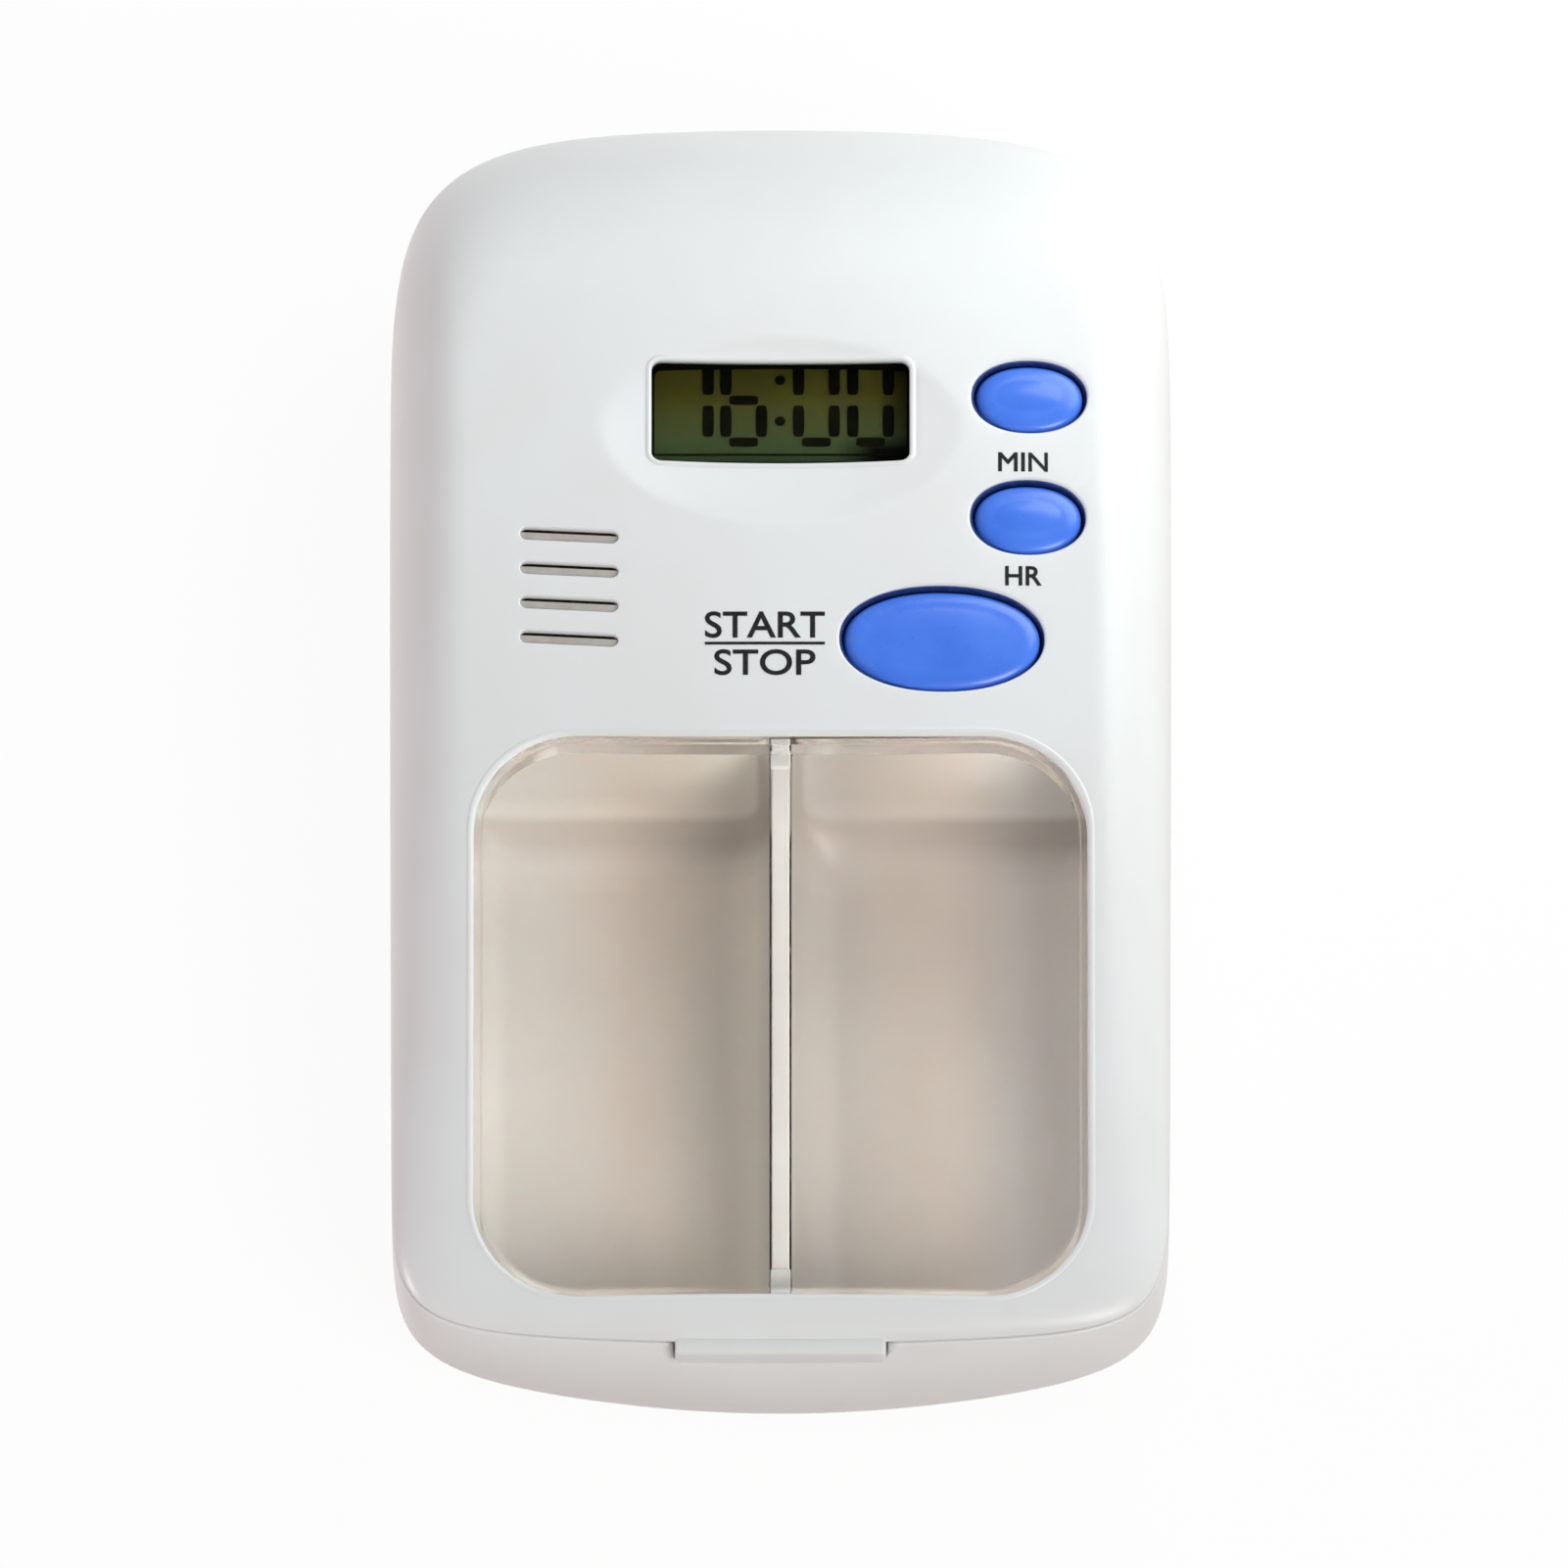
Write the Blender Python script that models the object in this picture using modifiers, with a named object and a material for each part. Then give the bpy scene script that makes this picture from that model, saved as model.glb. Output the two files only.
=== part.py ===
"""Electronic pill box: a domed hand-held clamshell with a clock half and a pill half.

The flat back lies on z = 0 with the nose towards -Y and the hinge end towards +Y.
The base holds a two-compartment tray. The front cover carries a clear window, the
clock module and three push buttons, and swings up about a pin at the hinge end.
Lengths are in metres.
"""
import math

import bmesh
import bpy
from mathutils import Vector

# Whole body
BODY_WIDTH = 0.0500
FACE_TOP = 0.0198
HINGE_END = 0.0450
NOSE_SEAM_REACH = 0.0441
NOSE_BULGE = 0.0009
NOSE_NARROWING = 0.0012
SEAM_HEIGHT = 0.0115
SHELL_WALL = 0.0016
CLEARANCE = 0.0003
OVERRUN = 0.0020
NOSE_CENTRE = -0.0200
CROWN_CENTRE = 0.0150
NOSE_POWER = 6.7
CROWN_POWER = 4.3
TAPER_POWER = 1.3
ARC_STEPS = 10
SIDE_STEPS = 4

# Domed face
CREST_PLACE = 0.0200
NOSE_FALL = 0.0065
NOSE_FALL_POWER = 1.643
HINGE_FALL = 0.0004
HINGE_FALL_SPAN = 0.0100
FACE_CROWN = 0.0004
SIDE_ROUNDING = 0.0050
NOSE_ROUNDING = 0.0020
HINGE_ROUNDING = 0.0120
DOME_ANGLES = (0, 12, 25, 40, 55, 72, 90)
FACE_RING_SHARES = (0.3, 0.6, 0.85)
RIM_TRIM = 0.0008
MERGE_DISTANCE = 0.00001

# Base
BELLY_HEIGHT = 0.0060
BELLY_SIDE_ROUNDING = 0.0065
BELLY_NOSE_ROUNDING = 0.0060
BELLY_HINGE_ROUNDING = 0.0080
BELLY_ANGLES = (90, 70, 50, 30, 12)

# Hinge
HINGE_AXIS_INSET = 0.0013
HINGE_AXIS_Z = 0.0080
KNUCKLE_RADIUS = 0.0013
PIN_RADIUS = 0.0006
PIN_RUNNING_GAP = 0.00008
MIDDLE_KNUCKLE_HALF = 0.0034
ARM_WIDTH = 0.0045
OUTER_KNUCKLE_WIDTH = 0.0035
POCKET_WALL = 0.0012
ARM_FRONT = 0.0008
ARM_BACK = 0.0006
ARM_RISE = 0.0013
KNUCKLE_WEB_RISE = 0.0004

# Finger lip and side latches
LIP_WIDTH = 0.0134
LIP_HEIGHT = 0.0014
LIP_TOP_RISE = 0.0004
LIP_DEPTH = 0.0013
LIP_BEVEL = 0.0002
LATCH_THICKNESS = 0.00075
LATCH_LENGTH = 0.0070
LATCH_PLACE = -0.0200
LATCH_FOOT = 0.0085
LATCH_TOP = 0.0148

# Window
WINDOW_SIDE_MARGIN = 0.00545
WINDOW_NOSE_MARGIN = 0.0026
WINDOW_CLOCK_EDGE = -0.0031
WINDOW_RADIUS = 0.0067
WINDOW_ARC_STEPS = 6
PANE_GAP = 0.0004
PANE_RECESS = 0.00035
PANE_FLANGE = 0.0010
PANE_OVERHANG = 0.0010
PANE_NOSE_OVERHANG = 0.0004
PANE_STATIONS = 8

# Pill tray and divider
TRAY_WALL = 0.0012
TRAY_FLOOR = 0.0013
TRAY_CLOCK_END = -0.0022
TRAY_CORNER_POWER = 7.0
TRAY_BOTTOM_ROUNDING = 0.0050
TRAY_TOP_GAP = 0.0004
TROUGH_INNER_EDGE = 0.0006
TROUGH_POWER = 5.5
TROUGH_ROUNDING = 0.0062
TROUGH_SINK = 0.0070
TROUGH_END_WALL = 0.0016
DIVIDER_THICKNESS = 0.00113
DIVIDER_TAB_THICKNESS = 0.00130
DIVIDER_TAB_LENGTH = 0.0024
DIVIDER_ENGAGEMENT = 0.0006
DIVIDER_SINK = 0.0010

# Display
DISH_CENTRE_Y = 0.0186
DISH_SIDE_MARGIN = 0.00365
DISH_HALF_LENGTH = 0.00735
DISH_DEPTH = 0.0010
DISH_SPHERE_RISE = 0.0020
DISPLAY_CENTRE_Y = 0.0203
DISPLAY_LENGTH = 0.0071
DISPLAY_RADIUS = 0.0005
LENS_LEDGE = 0.00175
LENS_LENGTH = 0.0105
LENS_THICKNESS = 0.0005
LENS_TOP = 0.0181
GLASS_SIDE_ROOM = 0.01425
GLASS_LEDGE = 0.00075
GLASS_LENGTH = 0.0112
GLASS_THICKNESS = 0.0011
REFLECTOR_LENGTH = 0.0078
REFLECTOR_THICKNESS = 0.0003
ZEBRA_END_MARGIN = 0.0005
ZEBRA_LENGTH = 0.0012
STACK_GAP = 0.0003

# Buttons
SMALL_BUTTON_HOLE_WIDTH = 0.0074
SMALL_BUTTON_HOLE_LENGTH = 0.0054
MINUTE_BUTTON_MARGIN = 0.0091
MINUTE_BUTTON_Y = 0.0213
HOUR_BUTTON_MARGIN = 0.0092
HOUR_BUTTON_Y = 0.0125
LARGE_BUTTON_HOLE_WIDTH = 0.0131
LARGE_BUTTON_HOLE_LENGTH = 0.0075
START_BUTTON_MARGIN = 0.0147
START_BUTTON_Y = 0.0038
BUTTON_POWER = 2.15
BUTTON_PROUD = 0.00035
BUTTON_EDGE_HEIGHT = 0.00005
BUTTON_CROWN_SHARES = ((0.93, 0.45), (0.78, 0.75), (0.5, 0.94))
BUTTON_FLANGE = 0.0007
BUTTON_FLANGE_THICKNESS = 0.0007
BUTTON_STEM_RADIUS = 0.0016
BUTTON_STEPS = 28
DOME_BASE_RADIUS = 0.0025
DOME_TOP_RADIUS = 0.0016
DOME_SKIRT = 0.0003
DOME_HEIGHT = 0.0011

# Speaker
SLOT_SIDE_MARGIN = 0.0115
SLOT_TOP_Y = 0.01115
SLOT_PITCH = 0.00245
SLOT_COUNT = 4
SLOT_LENGTH = 0.0063
SLOT_THICKNESS = 0.0007
SLOT_SLOPE = -3.5
SLOT_ARC_STEPS = 4
SOUNDER_Y = 0.0074
SOUNDER_RADIUS = 0.0063
SOUNDER_THICKNESS = 0.0003
SOUNDER_TOP = 0.0168
CRYSTAL_DISC_RADIUS = 0.0043
CRYSTAL_DISC_THICKNESS = 0.00025
CRYSTAL_DISC_GAP = 0.00015
SOUNDER_WALL = 0.0008
SOUNDER_WALL_FOOT = 0.0159
LEAD_RADIUS = 0.00035
LEAD_SPACING = 0.0016
LEAD_RUN = 0.0030

# Circuit board
BOARD_TOP = 0.0142
BOARD_THICKNESS = 0.0012
BOARD_INSET = 0.0056
BOARD_HINGE_INSET = 0.0090
BOARD_CLOCK_END = 0.0009
BOARD_CORNER_CENTRE = 0.0060
BOARD_CORNER_POWER = 9.0
BLOB_SIDE_MARGIN = 0.0150
BLOB_Y = 0.0220
BLOB_RADIUS = 0.0048
BLOB_HEIGHT = 0.0012
TUNING_CAN_RADIUS = 0.0010
TUNING_CAN_LENGTH = 0.0060
TUNING_CAN_SIDE_MARGIN = 0.0130
TUNING_CAN_Y = 0.0120
CAPACITOR_RADIUS = 0.0020
CAPACITOR_HEIGHT = 0.0042
CAPACITOR_SIDE_MARGIN = 0.0090
CAPACITOR_Y = 0.0175
RESISTOR_LENGTH = 0.0020
RESISTOR_WIDTH = 0.00125
RESISTOR_HEIGHT = 0.0006
RESISTOR_SIDE_MARGIN = 0.0190
RESISTOR_Y = 0.0060
RESISTOR_PITCH = 0.0030
RESISTOR_COUNT = 3

# Module cover
MODULE_INSET = 0.0036
MODULE_WALL = 0.0012
MODULE_FLOOR_BOTTOM = 0.0056
MODULE_RIM = 0.0136
MODULE_CLOCK_END = -0.0012
MODULE_HINGE_INSET = 0.0061
MODULE_CORNER_CENTRE = 0.0060
MODULE_CORNER_POWER = 10.0
MODULE_FRONT_INSET = 0.0034
MODULE_FRONT_TOP = 0.0154
POST_RADIUS = 0.0022
SCREW_SHANK_RADIUS = 0.00085
SCREW_HEAD_RADIUS = 0.0019
SCREW_HEAD_THICKNESS = 0.0006
SCREW_SLOT_WIDTH = 0.0005
SCREW_SLOT_DEPTH = 0.0003
SCREW_TOP = 0.0168
SCREW_HOLE_TOP = 0.0172
REAR_SCREW_SIDE_MARGIN = 0.0075
REAR_SCREW_HINGE_MARGIN = 0.0130
FRONT_SCREW_X = -0.0034
FRONT_SCREW_Y = 0.0022
TURN_STEPS = 20

# Battery bay
CELL_RADIUS = 0.0058
CELL_HEIGHT = 0.0054
CELL_CAP_RADIUS = 0.0046
CELL_CAP_RISE = 0.0003
CELL_SCREW_OFFSET = 0.0110
CELL_FIRST_Y = 0.0125
CELL_PITCH = 0.0135
CELL_GAP = 0.0002
LINK_THICKNESS = 0.0003
LINK_WIDTH = 0.0050
LINK_MARGIN = 0.0030
CONTACT_WIDTH = 0.0040
CONTACT_LENGTH = 0.0060
CONTACT_THICKNESS = 0.0003
CONTACT_LEG = 0.0008
DOOR_THICKNESS = 0.0009
DOOR_LAP = 0.0012
DOOR_RADIUS = 0.0015
DOOR_SCREW_MARGIN = 0.0026
DOOR_SCREW_LAP = 0.0024
DOOR_SCREW_LENGTH = 0.0048
DOOR_POST_HEIGHT = 0.0038

# Worked-out widths and places across the body
SIDE_X = BODY_WIDTH / 2
NOSE_HALF_WIDTH = SIDE_X - NOSE_NARROWING
WINDOW_HALF_WIDTH = SIDE_X - WINDOW_SIDE_MARGIN
WINDOW_NOSE_EDGE = WINDOW_NOSE_MARGIN - NOSE_SEAM_REACH
NOSE_FALL_SPAN = CREST_PLACE - WINDOW_NOSE_EDGE
GLASS_WIDTH = BODY_WIDTH - 2 * GLASS_SIDE_ROOM
LENS_WIDTH = GLASS_WIDTH - 2 * GLASS_LEDGE
DISPLAY_WIDTH = LENS_WIDTH - 2 * LENS_LEDGE
ZEBRA_WIDTH = LENS_WIDTH - 2 * ZEBRA_END_MARGIN
DISH_HALF_WIDTH = DISPLAY_WIDTH / 2 + DISH_SIDE_MARGIN
MINUTE_BUTTON_X = SIDE_X - MINUTE_BUTTON_MARGIN
HOUR_BUTTON_X = SIDE_X - HOUR_BUTTON_MARGIN
START_BUTTON_X = SIDE_X - START_BUTTON_MARGIN
SLOT_CENTRE_X = SLOT_SIDE_MARGIN - SIDE_X
BLOB_X = SIDE_X - BLOB_SIDE_MARGIN
TUNING_CAN_X = SIDE_X - TUNING_CAN_SIDE_MARGIN
CAPACITOR_X = SIDE_X - CAPACITOR_SIDE_MARGIN
RESISTOR_X = SIDE_X - RESISTOR_SIDE_MARGIN
MODULE_FRONT_HALF_WIDTH = SIDE_X - MODULE_INSET - MODULE_FRONT_INSET
REAR_SCREW_X = SIDE_X - REAR_SCREW_SIDE_MARGIN
REAR_SCREW_Y = HINGE_END - REAR_SCREW_HINGE_MARGIN
CELL_X = CELL_SCREW_OFFSET - REAR_SCREW_X
HINGE_AXIS_Y = HINGE_END - HINGE_AXIS_INSET

# Worked-out levels and places
COVER_RIM = SEAM_HEIGHT + CLEARANCE / 2
BASE_RIM = SEAM_HEIGHT - CLEARANCE / 2
BOARD_BOTTOM = BOARD_TOP - BOARD_THICKNESS
DOME_BOTTOM = BOARD_TOP + CLEARANCE
STEM_END = DOME_BOTTOM + DOME_HEIGHT + CLEARANCE
TRAY_BOTTOM = SHELL_WALL + CLEARANCE
PANE_TOP_OFFSET = SHELL_WALL + CLEARANCE
PANE_BOTTOM_OFFSET = PANE_TOP_OFFSET + PANE_FLANGE
TRAY_TOP_OFFSET = PANE_BOTTOM_OFFSET + TRAY_TOP_GAP
SCREW_HOLE_RADIUS = SCREW_SHANK_RADIUS + CLEARANCE
MODULE_FLOOR_TOP = MODULE_FLOOR_BOTTOM + MODULE_WALL
DOOR_TOP = MODULE_FLOOR_BOTTOM - CLEARANCE
DOOR_BOTTOM = DOOR_TOP - DOOR_THICKNESS
LINK_BOTTOM = DOOR_TOP + CELL_GAP
CELL_BOTTOM = LINK_BOTTOM + LINK_THICKNESS + CELL_GAP
CELL_LAST_Y = CELL_FIRST_Y + CELL_PITCH
BAY_HALF = CELL_RADIUS + CLEARANCE
DOOR_SCREW_Y = CELL_LAST_Y + BAY_HALF + DOOR_SCREW_MARGIN
BOARD_SCREWS = (
    (REAR_SCREW_X, REAR_SCREW_Y),
    (-REAR_SCREW_X, REAR_SCREW_Y),
    (FRONT_SCREW_X, FRONT_SCREW_Y),
)
BUTTON_PLACES = (
    ("minute_button", MINUTE_BUTTON_X, MINUTE_BUTTON_Y, SMALL_BUTTON_HOLE_WIDTH,
     SMALL_BUTTON_HOLE_LENGTH),
    ("hour_button", HOUR_BUTTON_X, HOUR_BUTTON_Y, SMALL_BUTTON_HOLE_WIDTH,
     SMALL_BUTTON_HOLE_LENGTH),
    ("start_stop_button", START_BUTTON_X, START_BUTTON_Y, LARGE_BUTTON_HOLE_WIDTH,
     LARGE_BUTTON_HOLE_LENGTH),
)
ARM_INNER_X = MIDDLE_KNUCKLE_HALF + CLEARANCE
ARM_OUTER_X = ARM_INNER_X + ARM_WIDTH
OUTER_KNUCKLE_X = ARM_OUTER_X + CLEARANCE
HINGE_HALF = OUTER_KNUCKLE_X + OUTER_KNUCKLE_WIDTH
POCKET_FACE_Y = HINGE_AXIS_Y - KNUCKLE_RADIUS - CLEARANCE
POCKET_FLOOR_Z = HINGE_AXIS_Z - KNUCKLE_RADIUS - CLEARANCE


def clear_scene():
    """Remove every object, collection and material that the file opens with."""
    for item in list(bpy.data.objects):
        bpy.data.objects.remove(item, do_unlink=True)
    for group in list(bpy.data.collections):
        bpy.data.collections.remove(group)
    for material in list(bpy.data.materials):
        bpy.data.materials.remove(material)


def new_collection(name):
    """Add a collection to the scene."""
    group = bpy.data.collections.new(name)
    bpy.context.scene.collection.children.link(group)
    return group


def new_material(name, colour, roughness, metallic=0.0, alpha=1.0):
    """A Principled material of one colour."""
    material = bpy.data.materials.new(name)
    material.use_nodes = True
    shader = material.node_tree.nodes["Principled BSDF"]
    shader.inputs["Base Color"].default_value = (*colour, 1.0)
    shader.inputs["Roughness"].default_value = roughness
    shader.inputs["Metallic"].default_value = metallic
    shader.inputs["Alpha"].default_value = alpha
    return material


class Outline:
    """A plan outline: two half superellipses joined by gently tapered sides."""

    def __init__(self, crown_half_width, nose_half_width, nose_end, crown_end,
                 nose_centre=NOSE_CENTRE, nose_power=NOSE_POWER):
        self.crown_half_width = crown_half_width
        self.nose_half_width = nose_half_width
        self.nose_end = nose_end
        self.crown_end = crown_end
        self.nose_centre = nose_centre
        self.nose_power = nose_power

    def inset(self, side, nose, crown):
        """The same outline drawn in by a side, a nose and a hinge-end distance."""
        return Outline(self.crown_half_width - side, self.nose_half_width - side,
                       self.nose_end + nose, self.crown_end - crown,
                       self.nose_centre, self.nose_power)

    def shrunk(self, share):
        """The outline drawn in towards its middle by a share of its size."""
        keep = 1.0 - share
        nose_end = self.nose_centre - (self.nose_centre - self.nose_end) * keep
        crown_end = CROWN_CENTRE + (self.crown_end - CROWN_CENTRE) * keep
        return Outline(self.crown_half_width * keep, self.nose_half_width * keep,
                       nose_end, crown_end, self.nose_centre, self.nose_power)

    def half_width(self, y):
        """Half the width of the untrimmed sides at a place along the body."""
        if y >= CROWN_CENTRE:
            return self.crown_half_width
        share = (CROWN_CENTRE - y) / (CROWN_CENTRE + NOSE_SEAM_REACH)
        return self.crown_half_width - (self.crown_half_width - self.nose_half_width) * share ** TAPER_POWER

    def half_points(self):
        """Points from the middle of the nose round the +X side to the hinge end."""
        points = []
        for step in range(ARC_STEPS + 1):
            angle = math.radians(90 * step / ARC_STEPS)
            y_share = abs(math.cos(angle)) ** (2 / self.nose_power) if step < ARC_STEPS else 0.0
            y = self.nose_centre - (self.nose_centre - self.nose_end) * y_share
            points.append((self.half_width(y) * math.sin(angle) ** (2 / self.nose_power), y))
        for step in range(1, SIDE_STEPS):
            y = self.nose_centre + (CROWN_CENTRE - self.nose_centre) * step / SIDE_STEPS
            points.append((self.half_width(y), y))
        for step in range(ARC_STEPS, -1, -1):
            angle = math.radians(90 * step / ARC_STEPS)
            y_share = abs(math.cos(angle)) ** (2 / CROWN_POWER) if step < ARC_STEPS else 0.0
            y = CROWN_CENTRE + (self.crown_end - CROWN_CENTRE) * y_share
            points.append((self.crown_half_width * math.sin(angle) ** (2 / CROWN_POWER), y))
        return points

    def ring(self, height):
        """The closed ring of points, anticlockwise from the nose, at height(x, y)."""
        half = self.half_points()
        other = [(-x, y) for x, y in reversed(half[1:-1])]
        return [Vector((x, y, height(x, y))) for x, y in half + other]


def oval_ring(centre_x, centre_y, half_width, half_length, power, height, steps):
    """A closed superellipse ring, anticlockwise from its -Y end."""
    ring = []
    for step in range(steps):
        angle = math.radians(360 * step / steps - 90)
        x_share = math.copysign(abs(math.cos(angle)) ** (2 / power), math.cos(angle))
        y_share = math.copysign(abs(math.sin(angle)) ** (2 / power), math.sin(angle))
        if step in (0, steps // 2):
            x_share = 0.0
        x = centre_x + half_width * x_share
        y = centre_y + half_length * y_share
        ring.append(Vector((x, y, height(x, y))))
    return ring


def level(height):
    """A height function that is the same everywhere."""
    return lambda x, y: height


def face_height(x, y):
    """Height of the domed face above the flat back."""
    if y < CREST_PLACE:
        fall = NOSE_FALL * ((CREST_PLACE - y) / NOSE_FALL_SPAN) ** NOSE_FALL_POWER
    else:
        fall = HINGE_FALL * ((y - CREST_PLACE) / HINGE_FALL_SPAN) ** 2
    return FACE_TOP - fall - FACE_CROWN * (2 * x / BODY_WIDTH) ** 2


def below_face(distance):
    """A height function that runs a distance below the domed face."""
    return lambda x, y: face_height(x, y) - distance


def below_ridge(distance):
    """A height function below the face's middle line, level from side to side."""
    return lambda x, y: face_height(0.0, y) - distance


def add_object(name, mesh, group):
    """Put a mesh in the scene as an object of a collection."""
    item = bpy.data.objects.new(name, mesh)
    group.objects.link(item)
    if group.name == "cutters":
        item.hide_render = True
        item.display_type = "WIRE"
    return item


def mesh_from(name, form):
    """Turn a bmesh into a mesh and free it."""
    mesh = bpy.data.meshes.new(name)
    form.to_mesh(mesh)
    form.free()
    return mesh


def cap_faces(form, ring, facing_up, ladder):
    """Close a ring by one flat face, or by rungs from side to side."""
    count = len(ring)
    if not ladder:
        form.faces.new(ring if facing_up else list(reversed(ring)))
        return
    rungs = [(ring[0], ring[1], ring[-1])]
    for step in range(1, count // 2 - 1):
        rungs.append((ring[step], ring[step + 1], ring[count - step - 1], ring[count - step]))
    middle = count // 2
    rungs.append((ring[middle - 1], ring[middle], ring[middle + 1]))
    for rung in rungs:
        form.faces.new(rung if facing_up else list(reversed(rung)))


def loft(name, rings, group, bottom="flat", top="flat"):
    """Skin rings from the lowest to the highest; each end is flat, ladder or open."""
    form = bmesh.new()
    rows = [[form.verts.new(point) for point in ring] for ring in rings]
    count = len(rows[0])
    for lower, upper in zip(rows, rows[1:]):
        for step in range(count):
            after = (step + 1) % count
            form.faces.new((lower[step], lower[after], upper[after], upper[step]))
    if bottom != "open":
        cap_faces(form, rows[0], False, bottom == "ladder")
    if top != "open":
        cap_faces(form, rows[-1], True, top == "ladder")
    return add_object(name, mesh_from(name, form), group)


def block(name, low, high, group, radius=0.0, arc_steps=3):
    """A box between two corners, with its upright edges rounded if asked."""
    form = bmesh.new()
    bmesh.ops.create_cube(form, size=1.0)
    low = Vector(low)
    high = Vector(high)
    for vert in form.verts:
        vert.co = Vector(low[i] + (high[i] - low[i]) * (vert.co[i] + 0.5) for i in range(3))
    if radius > 0.0:
        upright = [edge for edge in form.edges
                   if abs(edge.verts[0].co.z - edge.verts[1].co.z) > (high.z - low.z) / 2]
        bmesh.ops.bevel(form, geom=upright, offset=radius, segments=arc_steps, profile=0.5,
                        affect="EDGES", clamp_overlap=True)
    return add_object(name, mesh_from(name, form), group)


def cylinder(name, centre_x, centre_y, bottom, top, radius, group, steps=TURN_STEPS):
    """An upright cylinder between two levels."""
    form = bmesh.new()
    bmesh.ops.create_cone(form, cap_ends=True, segments=steps, radius1=radius, radius2=radius,
                          depth=top - bottom)
    bmesh.ops.translate(form, vec=(centre_x, centre_y, (bottom + top) / 2), verts=form.verts)
    return add_object(name, mesh_from(name, form), group)


def cross_cylinder(name, x_from, x_to, centre_y, centre_z, radius, group, steps=TURN_STEPS):
    """A cylinder that lies along X."""
    item = cylinder(name, 0.0, 0.0, x_from, x_to, radius, group, steps)
    for vert in item.data.vertices:
        x, y, z = vert.co
        vert.co = (z, y + centre_y, centre_z - x)
    return item


def turned(name, centre_x, centre_y, profile, group, steps=TURN_STEPS):
    """A turned piece: (radius, height) points from the top of its axis to the bottom."""
    form = bmesh.new()
    verts = [form.verts.new((radius, 0.0, height)) for radius, height in profile]
    for first, second in zip(verts, verts[1:]):
        form.edges.new((first, second))
    item = add_object(name, mesh_from(name, form), group)
    item.location = (centre_x, centre_y, 0.0)
    screw = item.modifiers.new("turn", "SCREW")
    screw.axis = "Z"
    screw.angle = math.radians(360)
    screw.steps = steps
    screw.render_steps = steps
    screw.use_merge_vertices = True
    screw.merge_threshold = MERGE_DISTANCE
    return item


def combine(target, tool, operation):
    """Cut, join or intersect a piece with a tool."""
    change = target.modifiers.new(operation.lower(), "BOOLEAN")
    change.operation = operation
    change.solver = "EXACT"
    change.object = tool


def cut(target, tool):
    """Take a tool's shape out of a piece."""
    combine(target, tool, "DIFFERENCE")


def join(target, tool):
    """Add a tool's shape to a piece."""
    combine(target, tool, "UNION")


def smooth(item, angle=35):
    """Shade a round piece smooth with its corners sharp."""
    item.data.shade_smooth()
    item.data.set_sharp_from_angle(angle=math.radians(angle))


def body_outline():
    """The outline that both shells share at the seam."""
    return Outline(BODY_WIDTH / 2, NOSE_HALF_WIDTH, -NOSE_SEAM_REACH, HINGE_END)


def base_rings(extra_height):
    """Rings of the base's outside from its flat back to above the seam."""
    belly = body_outline().inset(0.0, -NOSE_BULGE, 0.0)
    rings = []
    for degrees in BELLY_ANGLES:
        angle = math.radians(degrees)
        drawn_in = 1.0 - math.cos(angle)
        plan = belly.inset(BELLY_SIDE_ROUNDING * drawn_in, BELLY_NOSE_ROUNDING * drawn_in,
                           BELLY_HINGE_ROUNDING * drawn_in)
        rings.append(plan.ring(level(BELLY_HEIGHT * (1.0 - math.sin(angle)))))
    rings.append(belly.ring(level(BELLY_HEIGHT)))
    waist = body_outline().inset(0.0, -NOSE_BULGE * 2 / 3, 0.0)
    rings.append(waist.ring(level((BELLY_HEIGHT + BASE_RIM) / 2)))
    rings.append(body_outline().ring(level(BASE_RIM)))
    rings.append(body_outline().ring(level(BASE_RIM + extra_height)))
    return rings


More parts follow.
